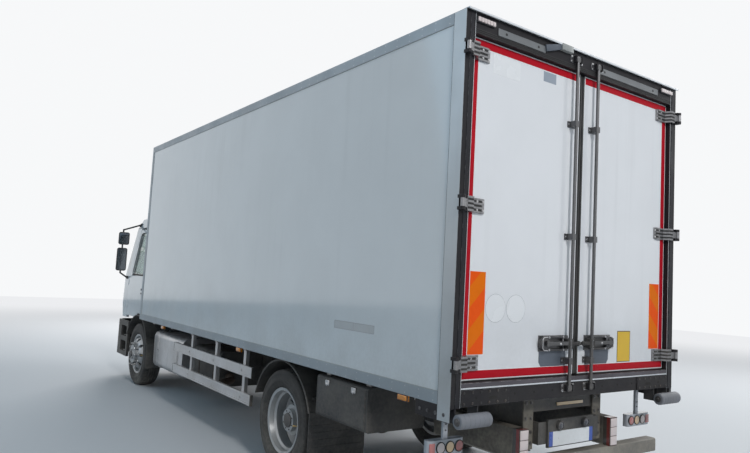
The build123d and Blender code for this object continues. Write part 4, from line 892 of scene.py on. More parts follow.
    def revolve(self, profile: Sequence[Pair], centre: Point, axis: int = 0, steps: int = 32,
                closed: bool = False) -> None:
        """Turn a profile round an axis.

        Args:
            profile: Pairs of a distance along the axis and a radius.
            centre: A point on the axis.
            axis: 0 for X, 1 for Y, 2 for Z.
            steps: How many steps a full turn has.
            closed: Whether the profile is a ring.
        """
        direction = Vector((0.0, 0.0, 0.0))
        direction[axis] = 1.0
        verts = []
        for along, radius in profile:
            corner = Vector(centre) + direction * along
            corner[(axis + 1) % 3] += radius
            verts.append(self.mesh.verts.new(corner))
        ends = [*verts[1:], verts[0]] if closed else verts[1:]
        before = set(self.mesh.verts) - set(verts)
        edges = [self.mesh.edges.new(pair) for pair in zip(verts, ends)]
        bmesh.ops.spin(self.mesh, geom=[*verts, *edges], cent=centre, axis=direction, dvec=(0.0, 0.0, 0.0),
                       angle=math.tau, steps=steps, use_merge=True, use_duplicate=False)
        made = [vert for vert in self.mesh.verts if vert not in before]
        bmesh.ops.remove_doubles(self.mesh, verts=made, dist=self.merge_distance)

    def bolts(self, heads: Iterable[Point], towards: Point, radius: float = 0.009, height: float = 0.007,
              sides: int = 6) -> None:
        """Add bolt heads, each on a washer.

        Args:
            heads: Where each head stands.
            towards: Direction that the heads face.
            radius: Radius of a head.
            height: Height of a head.
            sides: How many sides a head has.
        """
        out = Vector(towards)
        for head in heads:
            foot = Vector(head)
            self.rod(foot, foot + out * height * self.washer_height, radius * self.washer_radius, 10)
            self.rod(foot, foot + out * height, radius, sides, tip=radius * self.head_taper)

    def place(self, name: str, body: Body, finish: Finish, smooth: float = 38.0,
              mirrored: bool = False) -> bpy.types.Object:
        """Turn the mesh into a piece that rides on a body.

        Args:
            name: The piece's name.
            body: The body that it rides on.
            finish: Its finish.
            smooth: Angle in degrees over which an edge stays sharp.
            mirrored: Whether the truck's other side gets the same shapes.

        Returns:
            The piece.
        """
        if mirrored:
            self.mirror()
        bmesh.ops.recalc_face_normals(self.mesh, faces=self.mesh.faces)
        data = bpy.data.meshes.new(name)
        self.mesh.to_mesh(data)
        self.mesh.free()
        data.polygons.foreach_set("use_smooth", [True] * len(data.polygons))
        data.set_sharp_from_angle(angle=math.radians(smooth))
        data.materials.append(finish.material())
        piece = bpy.data.objects.new(name, data)
        bpy.context.scene.collection.objects.link(piece)
        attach(piece, body.value)
        LOG.info("%s: %d faces", name, len(data.polygons))
        return piece


def forms(count: int) -> list[Form]:
    """Start several empty forms.

    Args:
        count: How many.

    Returns:
        The forms.
    """
    return [Form() for _ in range(count)]


def about(middle: float, half: float) -> Pair:
    """Give the two ends of a span.

    Args:
        middle: The span's middle.
        half: Half of its length.

    Returns:
        Its low and its high end.
    """
    return middle - half, middle + half


def spread(low: float, high: float, count: int) -> list[float]:
    """Give places evenly spaced from low to high.

    Args:
        low: The first place.
        high: The last place.
        count: How many places.

    Returns:
        The places.
    """
    return [low + (high - low) * index / (count - 1) for index in range(count)]


def circle(middle: Pair, radius: float, count: int, start: float = 0.0) -> list[Pair]:
    """Give places evenly spaced round a circle.

    Args:
        middle: The circle's middle.
        radius: The circle's radius.
        count: How many places.
        start: Share of a step that the first place is turned by.

    Returns:
        The places.
    """
    turns = [(index + start) * math.tau / count for index in range(count)]
    return [(middle[0] + radius * math.cos(turn), middle[1] + radius * math.sin(turn)) for turn in turns]


@dataclass(frozen=True)
class RearDoors:
    """Marking tape, seals, handles and plates of the two rear doors."""

    inner: float = 0.0245
    outer: float = TRUCK.doorway_half - 0.010
    low: float = TRUCK.sill_top + 0.010
    high: float = TRUCK.header_base - 0.005
    tape: float = 0.070
    tape_side: float = TRUCK.doorway_half - 0.010
    border: float = 0.008
    lift: float = 0.0008
    rod_place: float = 0.130
    handle_low: float = 1.395
    handle_high: float = 1.510
    housing_span: Pair = (0.168, 0.404)
    stripes: Pair = (0.990, 1.137)
    stripes_z: Pair = (1.388, 1.942)
    strap_end: float = 1.040
    hinge_bases: tuple[float, ...] = (1.284, 2.334, 3.386)
    hinge_height: float = 0.100
    groove_places: tuple[float, ...] = (0.021, 0.050, 0.079)
    groove_half: float = 0.007
    rib_height: float = 0.012
    guide_bases: tuple[float, ...] = (1.300, 2.230, 3.100)
    disc_radius: float = 0.098
    disc_places: tuple[float, ...] = (0.883, 0.679)
    disc_height: float = 1.699

    def build(self) -> None:
        """Make the pieces of both leaves."""
        for name, side, body in LEAVES:
            self.marking(name, side, body)
            self.seals(name, side, body)
            self.handle(name, side, body)
            self.hinges(name, side, body)
        self.signs()

    def across(self, side: int, near: float, far: float) -> Pair:
        """Give the two ends along X of what spans near to far from the middle.

        Args:
            side: 1 on the left, -1 on the right.
            near: Distance of the near end.
            far: Distance of the far end.

        Returns:
            The two ends, the lower first.
        """
        return (near, far) if side > 0 else (-far, -near)

    def marking(self, name: str, side: int, body: Body) -> None:
        """Make the red tape with its white borders, and the striped plate.

        Args:
            name: The side's name.
            side: 1 on the left, -1 on the right.
            body: The leaf's body.
        """
        back = TRUCK.leaf_back
        inner = self.inner + 0.006
        runs = (
            ((inner, self.outer), (self.high - self.tape, self.high)),
            ((inner, self.outer), (self.low, self.low + self.tape)),
        )
        white, red = forms(2)
        for x, z in runs:
            white.box(self.across(side, *x), (back, back + self.lift), z)
            red.box(self.across(side, x[0] + self.border, x[1] - self.border), (back, back + self.lift * 1.6),
                    (z[0] + self.border, z[1] - self.border))
        upright = (self.tape_side - self.tape, self.tape_side)
        white.box(self.across(side, *upright), (back, back + self.lift),
                  (self.low + self.tape, self.high - self.tape))
        red.box(self.across(side, upright[0] + self.border, upright[1] - self.border),
                (back, back + self.lift * 1.6),
                (self.low + self.tape - self.border, self.high - self.tape + self.border))
        white.place(f"tape_border_{name}", body, TAPE_WHITE)
        red.place(f"tape_red_{name}", body, TAPE_RED)
        plate = Form()
        plate.box(self.across(side, *self.stripes), (back, back + 0.0015), self.stripes_z, 0.0004)
        plate.place(f"striped_plate_{name}", body, STRIPES)
        edge = Form()
        edge.box(self.across(side, self.stripes[0] - 0.004, self.stripes[1] + 0.003), (back, back + 0.0010),
                 (self.stripes_z[0] - 0.004, self.stripes_z[1] + 0.004))
        edge.place(f"striped_plate_edge_{name}", body, TAPE_WHITE)

    def seals(self, name: str, side: int, body: Body) -> None:
        """Make the rubber seal round the leaf, fatter at the middle of the doorway.

        Args:
            name: The side's name.
            side: 1 on the left, -1 on the right.
            body: The leaf's body.
        """
        back = TRUCK.leaf_back
        seal = Form()
        seal.box(self.across(side, 0.0035, self.inner), (back - 0.075, back + 0.006), (self.low, self.high),
                 0.004, 2)
        for lip in (-0.050, -0.025, 0.0):
            seal.box(self.across(side, 0.0020, 0.006), (back + lip - 0.004, back + lip + 0.002),
                     (self.low + 0.004, self.high - 0.004))
        rim = (back - 0.030, back - 0.001)
        seal.box(self.across(side, self.outer, self.outer + 0.0085), rim, (self.low, self.high), 0.002)
        seal.box(self.across(side, self.inner, self.outer), rim, (self.high, self.high + 0.0042), 0.001)
        seal.box(self.across(side, self.inner, self.outer), rim, (self.low - 0.0085, self.low), 0.002)
        seal.place(f"door_seal_{name}", body, RUBBER)

    def handle(self, name: str, side: int, body: Body) -> None:
        """Make the handle's housing, bail, clamp and bolts, and a grey plate under it that is a painted
        shadow.

        Args:
            name: The side's name.
            side: 1 on the left, -1 on the right.
            body: The leaf's body.
        """
        back = TRUCK.leaf_back
        front = back + 0.009
        middle = (self.handle_low + self.handle_high) / 2
        housing = Form()
        housing.box(self.across(side, *self.housing_span), (front, front + 0.022),
                    (self.handle_low + 0.004, self.handle_low + 0.020), 0.003)
        housing.box(self.across(side, *self.housing_span), (front, front + 0.022),
                    (self.handle_high - 0.020, self.handle_high - 0.004), 0.003)
        housing.box(self.across(side, 0.168, 0.186), (front, front + 0.022),
                    (self.handle_low + 0.018, self.handle_high - 0.018), 0.003)
        housing.rod((side * 0.398, front, middle), (side * 0.398, front + 0.030, middle), 0.046, 28, 0.006)
        housing.box(self.across(side, 0.352, 0.400), (front, front + 0.026), about(middle, 0.046), 0.004)
        housing.place(f"handle_housing_{name}", body, DARK_METAL)
        clamp = Form()
        clamp.box(self.across(side, 0.100, 0.166), (back + 0.012, back + 0.064), about(middle, 0.038),
                  0.007, 2)
        clamp.box(self.across(side, 0.006, 0.100), (back + 0.048, back + 0.062), about(middle, 0.013),
                  0.005, 2)
        clamp.ball((side * 0.034, back + 0.052, middle), 0.021, (1.2, 0.6, 1.0))
        clamp.place(f"rod_clamp_{name}", body, RUBBER)
        bright = Form()
        y = front + 0.034
        bail = [(0.372, middle + 0.049), (0.414, middle + 0.046), (0.427, middle + 0.032),
                (0.427, middle - 0.032), (0.414, middle - 0.046), (0.372, middle - 0.049)]
        bright.tube([(side * x, y, z) for x, z in bail], 0.0034)
        corners = [(side * x, front + 0.022, z) for x in (0.178, 0.340)
                   for z in (self.handle_low + 0.012, self.handle_high - 0.012)]
        bright.bolts(corners, REARWARD, 0.006, 0.004)
        bright.bolts([(side * 0.133, back + 0.063, middle + lift) for lift in (-0.022, 0.022)], REARWARD,
                     0.007, 0.003)
        bright.rod((side * 0.250, front + 0.008, middle), (side * 0.250, front + 0.056, middle), 0.010, 14,
                   0.002)
        bright.place(f"handle_bright_parts_{name}", body, BRIGHT_STEEL)
        # A painted shadow: a thin grey plate where the handle's shadow falls on the door.
        handle_shadow = Form()
        top = self.handle_low
        outline = [(0.118, top), (0.420, top), (0.420, top - 0.078), (0.396, top - 0.110),
                   (0.118, top - 0.110)]
        handle_shadow.prism([(side * x, z) for x, z in outline], 1, back, back + 0.0018, 0.0005)
        handle_shadow.place(f"handle_shadow_plate_{name}", body, PAINTED_SHADE_GREY)

    def hinges(self, name: str, side: int, body: Body) -> None:
        """Make the ribs and bolts of the hinge straps, black grooves between the ribs as painted shade, and
        the rod guides' bolts.

        Args:
            name: The side's name.
            side: 1 on the left, -1 on the right.
            body: The leaf's body.
        """
        back = TRUCK.leaf_back
        grooves, ribs, bolts = forms(3)
        dark = [(1.064, 0.0110), (1.1645, 0.0152), (1.1905, 0.0630), (1.244, 0.0630), (1.244, 0.0600),
                (1.192, 0.0600), (1.166, 0.0120), (1.064, 0.0080)]
        light = [(1.155, 0.0170), (1.1635, 0.0170), (1.1895, 0.0645), (1.246, 0.0645), (1.246, 0.0600),
                 (1.192, 0.0600), (1.166, 0.0120), (1.155, 0.0120)]
        for base in self.hinge_bases:
            # Painted shade: black boxes in the gaps between the ribs.
            for place in self.groove_places:
                grooves.prism([(side * x, back + lift) for x, lift in dark], 2,
                              *about(base + place, self.groove_half))
            for low in spread(base, base + self.hinge_height - self.rib_height, 4):
                ribs.prism([(side * x, back + lift) for x, lift in light], 2, low, low + self.rib_height)
            heads = [(side * (self.strap_end + 0.011), back + 0.0095, base + place)
                     for place in (0.020, 0.080)]
            bolts.bolts(heads, REARWARD, 0.007, 0.005)
            bolts.bolts([(side * (self.strap_end + 0.070), back + 0.0125, base + place)
                         for place in (0.021, 0.079)], REARWARD, 0.006, 0.004)
        for height in self.guide_bases:
            bolts.bolts([(side * (self.rod_place + turn * 0.032), back + 0.010, height + 0.023)
                         for turn in (-1, 1)], REARWARD, 0.006, 0.005)
        grooves.place(f"hinge_groove_shade_{name}", body, RUBBER)
        ribs.place(f"hinge_ribs_{name}", body, DOOR_FITTING)
        bolts.place(f"door_bolts_{name}", body, BRIGHT_STEEL)

    def signs(self) -> None:
        """Make the blank discs, label and patch of the left leaf and the blank sign of the right one."""
        back = TRUCK.leaf_back
        rings, discs = forms(2)
        for place in self.disc_places:
            middle = (place, back, self.disc_height)
            rings.rod(middle, (place, back + 0.0006, self.disc_height), self.disc_radius, 64)
            discs.rod(middle, (place, back + 0.0010, self.disc_height), self.disc_radius - 0.0022, 64)
        rings.place("blank_disc_rings", Body.LEAF_LEFT, RING_GREY)
        discs.box((0.718, 0.994), (back, back + 0.0008), (3.334, 3.474), 0.0002)
        discs.place("blank_discs", Body.LEAF_LEFT, DISC_WHITE)
        patch = Form()
        patch.box((0.318, 0.462), (back, back + 0.0008), (3.398, 3.474), 0.0002)
        patch.place("grey_patch", Body.LEAF_LEFT, SCUFF_PALE)
        border = Form()
        border.box((-0.722, -0.540), (back, back + 0.0007), (1.289, 1.540))
        border.place("blank_sign_border", Body.LEAF_RIGHT, SIGN_DARK)
        face = Form()
        face.box((-0.716, -0.546), (back, back + 0.0012), (1.295, 1.534))
        face.place("blank_sign_face", Body.LEAF_RIGHT, SIGN_AMBER)


@dataclass(frozen=True)
class RearFrame:
    """Trim of the frame round the rear doors."""

    lamp_span: Pair = (1.040, 1.212)
    lamp_z: Pair = (3.628, 3.670)
    cover_spans: tuple[Pair, ...] = ((0.500, 1.000), (-1.000, -0.145))
    cover_z: Pair = (3.590, 3.642)
    gasket_half: float = 1.205
    gasket_heights: tuple[float, ...] = (3.553, 3.566, 3.579)
    keeper_heights: Pair = (1.128, 3.627)
    keeper_place: float = 0.130
    threshold_half: float = 1.213
    drain_places: tuple[float, ...] = (0.30, 0.50, 0.70)

    def build(self) -> None:
        """Make the trim of the header, its lamps, the posts and the sill."""
        self.header()
        self.lamps()
        self.posts()
        self.sill()

    def header(self) -> None:
        """Make the header's lip, pale as a painted highlight, its covers, ribbed gasket and housing, whose
        wing is darker as painted shade, and the keepers of the lock rods.
        """
        rear = TRUCK.rear_face
        top = TRUCK.body_top
        # A painted highlight: a pale strip along the header's lit top edge.
        lip = Form()
        for x in ((-TRUCK.half_body, 0.200), (0.335, TRUCK.half_body)):
            lip.box(x, (rear - 0.030, rear + 0.024), about(top, 0.003), 0.001)
            lip.box(x, (rear + 0.019, rear + 0.025), (top - 0.011, top + 0.003), 0.001)
        lip.place("header_lip_highlight", Body.CHASSIS, PALE_TRIM_AND_HIGHLIGHT)
        covers, holes = forms(2)
        for low, high in self.cover_spans:
            covers.box((low, high), (rear, rear + 0.006), self.cover_z, 0.0015)
            for place in (low + 0.080, high - 0.080):
                middle = (place, rear + 0.0055, sum(self.cover_z) / 2)
                holes.rod(middle, (place, rear + 0.0068, middle[2]), 0.010, 18)
        covers.place("header_covers", Body.CHASSIS, COVER_GREY)
        holes.place("header_cover_holes", Body.CHASSIS, RUBBER)
        gasket = Form()
        for height in self.gasket_heights:
            gasket.box((-self.gasket_half, self.gasket_half), (rear, rear + 0.0025), (height, height + 0.008),
                       0.001)
        gasket.place("header_gasket", Body.CHASSIS, RUBBER)
        housing = Form()
        housing.box((0.202, 0.333), about(rear, 0.030), (top - 0.048, top + 0.004), 0.005, 2)
        housing.place("header_housing", Body.CHASSIS, COVER_PALE)
        # The housing's tapering wing, darker grey than the housing: painted shade.
        wedge = Form()
        outline = [(0.333, top - 0.002), (0.333, top - 0.048), (0.500, top - 0.104), (0.512, top - 0.054)]
        wedge.prism(outline, 1, rear, rear + 0.020, 0.004, 2)
        wedge.place("header_housing_wing", Body.CHASSIS, PAINTED_SHADE_GREY)
        plates, bolts = forms(2)
        for _, side in SIDES:
            for height in self.keeper_heights:
                x = about(side * self.keeper_place, 0.075)
                plates.box(x, (rear, rear + 0.003), about(height, 0.030), 0.001)
                bolts.bolts([(side * self.keeper_place + turn * 0.060, rear + 0.003, height + lift)
                             for turn in (-1, 1) for lift in (-0.018, 0.018)], REARWARD, 0.007, 0.006)
        plates.place("keeper_plates", Body.CHASSIS, DARK_METAL)
        bolts.place("keeper_bolts", Body.CHASSIS, BRIGHT_STEEL)

    def lamps(self) -> None:
        """Make the two high lamps, each a row of pale cells on a dark seat."""
        rear = TRUCK.rear_face
        lens, seats = forms(2)
        for _, side in SIDES:
            x = (side * self.lamp_span[0], side * self.lamp_span[1])
            seats.box(x, (rear, rear + 0.012), self.lamp_z, 0.003)
            for place in spread(self.lamp_span[0] + 0.016, self.lamp_span[1] - 0.016, 6):
                lens.box((side * (place - 0.0125), side * (place + 0.0125)), (rear + 0.010, rear + 0.022),
                         (self.lamp_z[0] + 0.005, self.lamp_z[1] - 0.005), 0.004, 2)
        seats.place("high_lamp_seats", Body.CHASSIS, DARK_METAL)
        lens.place("high_lamp_cells", Body.CHASSIS, LENS_PALE_AND_SHEEN)

    def posts(self) -> None:
        """Make the raised band of each post, its pale edge and the strip round the corner."""
        rear = TRUCK.rear_face
        z = (TRUCK.body_base + 0.003, TRUCK.body_top - 0.006)
        bands, edges, strips, lines = forms(4)
        for _, side in SIDES:
            bands.box((side * 1.234, side * 1.262), (rear, rear + 0.003), z, 0.001)
            edges.box((side * 1.2155, side * 1.2185), (rear - 0.001, rear + 0.0012), z)
            strips.box((side * 1.2995, side * 1.3018), (rear - 0.122, rear - 0.002),
                       (TRUCK.body_base - 0.086, TRUCK.body_top - 0.002), 0.0006)
            lines.box((side * 1.2990, side * 1.3012), (rear - 0.1250, rear - 0.1222),
                      (TRUCK.body_base - 0.088, TRUCK.body_top - 0.001))
            lines.box((side * 1.2990, side * 1.3010), (rear - 0.3475, rear - 0.3450),
                      (TRUCK.body_base - 0.088, TRUCK.body_base + 0.010))
        # The bands are near black as painted shade.
        bands.place("post_bands", Body.CHASSIS, POST_GREY)
        edges.place("post_pale_edges", Body.CHASSIS, PALE_TRIM_AND_HIGHLIGHT)
        strips.place("corner_strips", Body.CHASSIS, SIDE_TRIM)
        lines.place("corner_seams", Body.CHASSIS, RUBBER)

    def sill(self) -> None:
        """Make the threshold bands, the beam's bolts and the bolted end plates."""
        rear = TRUCK.rear_face
        band = Form()
        band.box((-self.threshold_half, self.threshold_half), (rear, rear + 0.0022), (1.1790, 1.2085), 0.0008)
        band.place("threshold_band", Body.CHASSIS, THRESHOLD)
        line = Form()
        line.box((-self.threshold_half, self.threshold_half), (rear, rear + 0.0028), (1.1690, 1.1785), 0.0008)
        line.place("threshold_line", Body.CHASSIS, PALE_TRIM_AND_HIGHLIGHT)
        bolts, holes = forms(2)
        for _, side in SIDES:
            heads = [(side * place, rear + 0.008, height) for place in spread(0.800, 1.190, 6)
                     for height in (1.078, 1.148)]
            bolts.bolts(heads, REARWARD, 0.0065, 0.005)
            holes.prism([(side * x, z) for x, z in ((0.880, 1.106), (0.900, 1.118), (0.945, 1.118),
                                                    (0.965, 1.106), (0.945, 1.094), (0.900, 1.094))], 1,
                        rear + 0.008, rear + 0.0086)
            for place in self.drain_places:
                holes.rod((side * place, rear, 1.118), (side * place, rear + 0.0008, 1.118), 0.008, 16)
            holes.rod((side * 1.080, rear + 0.008, 1.112), (side * 1.080, rear + 0.0086, 1.112), 0.010, 16)
        bolts.place("sill_bolts", Body.CHASSIS, CHASSIS_PAINT)
        holes.place("sill_holes", Body.CHASSIS, HOLE_BLACK)


@dataclass(frozen=True)
class TailGear:
    """Lamps, number plate, buffers and small parts under the rear sill."""

    carrier_back: float = 4.300
    plate_half: float = 0.258
    plate_z: Pair = (0.697, 0.803)
    band_width: float = 0.042
    plate_lamp_side: float = 0.150
    plate_lamp_height: float = 0.847
    plate_lamp_back: float = 4.320
    arm_span: Pair = (0.487, 0.583)
    arm_z: Pair = (0.625, 0.847)
    arm_back: float = 4.300
    arm_lenses: tuple[Pair, ...] = ((0.631, 0.700), (0.704, 0.770), (0.774, 0.841))
    cluster_back: float = 4.150
    cluster_height: float = 0.7515
    cluster_places: tuple[float, ...] = (1.018, 1.102, 1.186)
    cluster_radius: float = 0.0345
    roller_place: float = 1.145
    roller_half: float = 0.140
    roller_back: float = 4.4025
    roller_height: float = 0.980
    roller_radius: float = 0.0475

    def build(self) -> None:
        """Make everything that shows below the sill from behind."""
        self.number_plate()
        self.lamps()
        self.buffers()
        self.bolts()

    def number_plate(self) -> None:
        """Make the blank plate with its two coloured ends, its frame and its lamps."""
        back = self.carrier_back
        frame = Form()
        edge = self.plate_half + 0.008
        frame.box((-edge, edge), (back - 0.004, back + 0.0006),
                  (self.plate_z[0] - 0.007, self.plate_z[1] + 0.007), 0.0015)
        frame.place("plate_frame", Body.CHASSIS, BLACK_PLASTIC)
        face = Form()
        inner = self.plate_half - self.band_width
        face.box((-inner, inner), (back, back + 0.0020), self.plate_z, 0.0006)
        face.place("plate_face", Body.CHASSIS, PLATE_WHITE)
        ends = Form()
        ends.box((inner, self.plate_half), (back, back + 0.0020), self.plate_z, 0.0006)
        ends.place("plate_ends", Body.CHASSIS, PLATE_BLUE, mirrored=True)
        rims, lens = forms(2)
        middle = (self.plate_lamp_side, self.plate_lamp_back, self.plate_lamp_height)
        rims.revolve(((-0.002, 0.0345), (0.006, 0.0330), (0.007, 0.0280), (0.001, 0.0270), (-0.002, 0.0270)),
                     middle, 1, 28, closed=True)
        lens.ball((middle[0], middle[1] + 0.001, middle[2]), 0.027, (1.0, 0.28, 1.0), 20)
        rims.place("plate_lamp_rims", Body.CHASSIS, DARK_METAL, mirrored=True)
        lens.place("plate_lamp_lenses", Body.CHASSIS, LENS_SMOKED, mirrored=True)
        rivets = Form()
        rivets.bolts([(x, back + 0.002, 0.750) for x in (-0.150, 0.150)], REARWARD, 0.005, 0.0025, 12)
        rivets.place("plate_rivets", Body.CHASSIS, PLATE_WHITE)

    def lamps(self) -> None:
        """Make the lenses of the arms' ends, whose red faces are painted pale as a painted highlight, and of
        the clusters, and the panel and strip over the plate; the amber ones are paler as a painted sheen.
        """
        back = self.arm_back
        near, far = self.arm_span
        # The arms' lamps are red; their faces are painted pale pink, a painted highlight.
        pale, rims = forms(2)
        rims.box((near + 0.001, far - 0.001), about(back, 0.003),
                 (self.arm_z[0] + 0.001, self.arm_z[1] - 0.001), 0.003)
        for low, high in self.arm_lenses:
            pale.box((near + 0.006, far - 0.006), (back + 0.002, back + 0.008), (low, high), 0.004, 2)
        red, amber, clear = forms(3)
        base = self.cluster_back
        for form, place in zip((red, amber, clear), self.cluster_places):
            middle = (place, base, self.cluster_height)
            rims.revolve(((-0.002, 0.0405), (0.0060, 0.0395), (0.0075, 0.0345), (-0.002, 0.0340)), middle, 1,
                         28, closed=True)
            form.rod(middle, (place, base + 0.006, middle[2]), self.cluster_radius, 28, 0.003)
        red.box((1.236, 1.286), (base - 0.002, base + 0.004), (0.716, 0.787), 0.003, 2)
        pale.place("arm_lamp_lit_faces", Body.CHASSIS, LENS_PALE_AND_SHEEN, mirrored=True)
        rims.place("lamp_rims", Body.CHASSIS, RUBBER, mirrored=True)
        red.place("cluster_red", Body.CHASSIS, LENS_FADED_RED, mirrored=True)
        # The amber lenses, like the strip below, are painted paler as a painted sheen.
        amber.place("cluster_amber", Body.CHASSIS, LENS_FADED_AMBER_AND_SHEEN, mirrored=True)
        clear.place("cluster_clear", Body.CHASSIS, LENS_PALE_AND_SHEEN, mirrored=True)
        panel = Form()
        panel.box((-0.358, 0.358), (4.196, 4.212), (0.936, 1.056), 0.003)
        panel.place("rear_panel", Body.CHASSIS, CHASSIS_PAINT)
        strip = Form()
        strip.box((-0.240, 0.075), (4.211, 4.222), (0.968, 0.992), 0.003, 2)
        strip.place("amber_strip", Body.CHASSIS, LENS_FADED_AMBER_AND_SHEEN)

    def buffers(self) -> None:
        """Make the rollers' axle ends and the worn rings in their rubber."""
        ends, rings = forms(2)
        for hand in (-1, 1):
            x = self.roller_place + hand * self.roller_half
            ends.rod((x - hand * 0.004, self.roller_back, self.roller_height),
                     (x + hand * 0.004, self.roller_back, self.roller_height), 0.026, 24, 0.001)
            ends.rod((x, self.roller_back, self.roller_height),
                     (x + hand * 0.008, self.roller_back, self.roller_height), 0.012, 6, 0.001)
        for offset in spread(-0.105, 0.105, 6):
            rings.revolve(((-0.004, self.roller_radius - 0.002), (-0.0015, self.roller_radius + 0.0008),
                           (0.0015, self.roller_radius + 0.0008), (0.004, self.roller_radius - 0.002)),
                          (self.roller_place + offset, self.roller_back, self.roller_height), 0, 36,
                          closed=True)
        ends.place("buffer_axle_ends", Body.CHASSIS, DARK_METAL, mirrored=True)
        rings.place("buffer_rings", Body.CHASSIS, BUFFER, mirrored=True)

    def bolts(self) -> None:
        """Make the bolts of the hangers, cheeks, arms and clusters."""
        bolts = Form()
        bolts.bolts([(x, 4.227, z) for x in (0.380, 0.435) for z in (0.720, 0.800, 0.900, 1.010)], REARWARD,
                    0.010, 0.008)
        bolts.bolts([(0.440, y, z) for y in (3.500, 3.530, 3.560) for z in (0.730, 0.840)], OUTWARD, 0.010,
                    0.008)
        bolts.bolts([(1.300, y, 1.005) for y in (4.050, 4.130, 4.210, 4.290)], OUTWARD, 0.009, 0.007)
        bolts.bolts([(1.130, 4.110, z) for z in (0.860, 0.900)], REARWARD, 0.006, 0.026)
        bolts.place("tail_bolts", Body.CHASSIS, DARK_METAL, mirrored=True)


@dataclass(frozen=True)
class BodySides:
    """Rivets, seams and marks on the load body's sides, front and roof."""

    rail_bands: tuple[Pair, ...] = ((1.062, 1.144), (3.623, 3.705))
    rivet_pitch: float = 0.150
    post_width: float = 0.070
    wall: float = 1.294
    roof_face: float = TRUCK.body_top - 0.0035
    mark_y: Pair = (2.910, 3.470)
    mark_z: Pair = (1.440, 1.500)
    marker_places: tuple[float, ...] = (3.850, 1.050, -1.500)
    pipe_places: tuple[float, ...] = (0.30, 0.36, 0.42)
    clamp_heights: tuple[float, ...] = (1.45, 1.95, 2.45, 2.85)

    def build(self) -> None:
        """Make the small parts of the load body's outside."""
        self.rivets()
        self.seams()
        self.side_mark()
        self.side_lamps()
        self.front()

    def rivets(self) -> None:
        """Make the rivets along the rails and up the front posts."""
        front = TRUCK.body_front
        rear = TRUCK.rear_face - 0.120
        count = round((rear - front) / self.rivet_pitch)
        heads = []
        for low, high in self.rail_bands:
            for height in (low + 0.018, high - 0.018):
                heads += [(TRUCK.half_body, y, height) for y in spread(front + 0.05, rear - 0.05, count)]
        heads += [(TRUCK.half_body, front + place, z) for place in (0.018, 0.052)
                  for z in spread(1.200, 3.580, 17)]
        rivets = Form()
        for x, y, z in heads:
            rivets.rod((x - 0.001, y, z), (x + 0.0018, y, z), 0.0052, 8, tip=0.0030)
        rivets.place("body_rivets", Body.CHASSIS, ALUMINIUM, mirrored=True)

    def seams(self) -> None:
        """Make the sealant along the rails and the joints across the roof."""
        front = TRUCK.body_front + self.post_width
        rear = TRUCK.rear_face - 0.124
        seal = Form()
        for height in (self.rail_bands[0][1], self.rail_bands[1][0]):
            seal.rod((self.wall + 0.001, front, height), (self.wall + 0.001, rear, height), 0.0032, 8)
        seal.rod((self.wall + 0.001, front, self.rail_bands[0][1]),
                 (self.wall + 0.001, front, self.rail_bands[1][0]), 0.0032, 8)
        seal.rod((1.253, TRUCK.body_front, self.roof_face), (1.253, rear, self.roof_face), 0.004, 8)
        seal.place("body_sealant", Body.CHASSIS, COVER_PALE, mirrored=True)
        joints = Form()
        for place in spread(TRUCK.body_front + 0.04, rear - 0.03, 6):
            joints.box((-1.250, 1.250), about(place, 0.022), (self.roof_face - 0.001, self.roof_face + 0.002),
                       0.001)
        joints.place("roof_joints", Body.CHASSIS, WHITE_PANEL)

    def side_mark(self) -> None:
        """Make the faint outline left on the left side near the rear."""
        mark = Form()
        for height in self.mark_z:
            mark.box((self.wall, self.wall + 0.0006), self.mark_y, about(height, 0.002))
        for place in (*self.mark_y, sum(self.mark_y) / 2):
            mark.box((self.wall, self.wall + 0.0006), about(place, 0.002), self.mark_z)
        mark.place("side_mark", Body.CHASSIS, RING_GREY)
        film = Form()
        film.box((self.wall, self.wall + 0.0003), self.mark_y, self.mark_z)
        film.place("side_mark_film", Body.CHASSIS, SIDE_TRIM)

    def side_lamps(self) -> None:
        """Make the seats and lenses of the side markers."""
        seats, lens = forms(2)
        for place in self.marker_places:
            seats.box((1.290, 1.2955), about(place, 0.060), (1.013, 1.0615), 0.003)
            lens.box((1.2935, 1.3015), about(place, 0.050), (1.020, 1.056), 0.006, 3)
        seats.place("side_lamp_seats", Body.CHASSIS, RUBBER, mirrored=True)
        lens.place("side_lamp_lenses", Body.CHASSIS, LENS_AMBER, mirrored=True)

    def front(self) -> None:
        """Make the bulkhead's riveted edge covers and the pipes to the fridge unit."""
        face = TRUCK.body_front
        covers = Form()
        covers.box((1.200, 1.299), (face - 0.003, face), (1.065, 3.700), 0.001)
        covers.mirror()
        covers.box((-1.200, 1.200), (face - 0.003, face), (3.640, 3.700), 0.001)
        covers.box((-1.200, 1.200), (face - 0.003, face), (1.065, 1.125), 0.001)
        covers.place("front_covers", Body.CHASSIS, ALUMINIUM)
        rivets = Form()
        for z in spread(1.12, 3.66, 18):
            rivets.rod((1.215, face - 0.002, z), (1.215, face - 0.0048, z), 0.005, 8, tip=0.003)
        rivets.place("front_rivets", Body.CHASSIS, ALUMINIUM, mirrored=True)
        pipes = Form()
        for x in self.pipe_places:
            pipes.tube([(x, face - 0.018, 2.960), (x, face - 0.018, 2.40), (x, face - 0.018, 1.30),
                        (x * 0.9, face - 0.018, 1.075)], 0.011, smooth=True)
        for z in self.clamp_heights:
            pipes.box((0.270, 0.450), (face - 0.034, face), about(z, 0.012), 0.004)
        pipes.place("fridge_pipes", Body.CHASSIS, RUBBER)


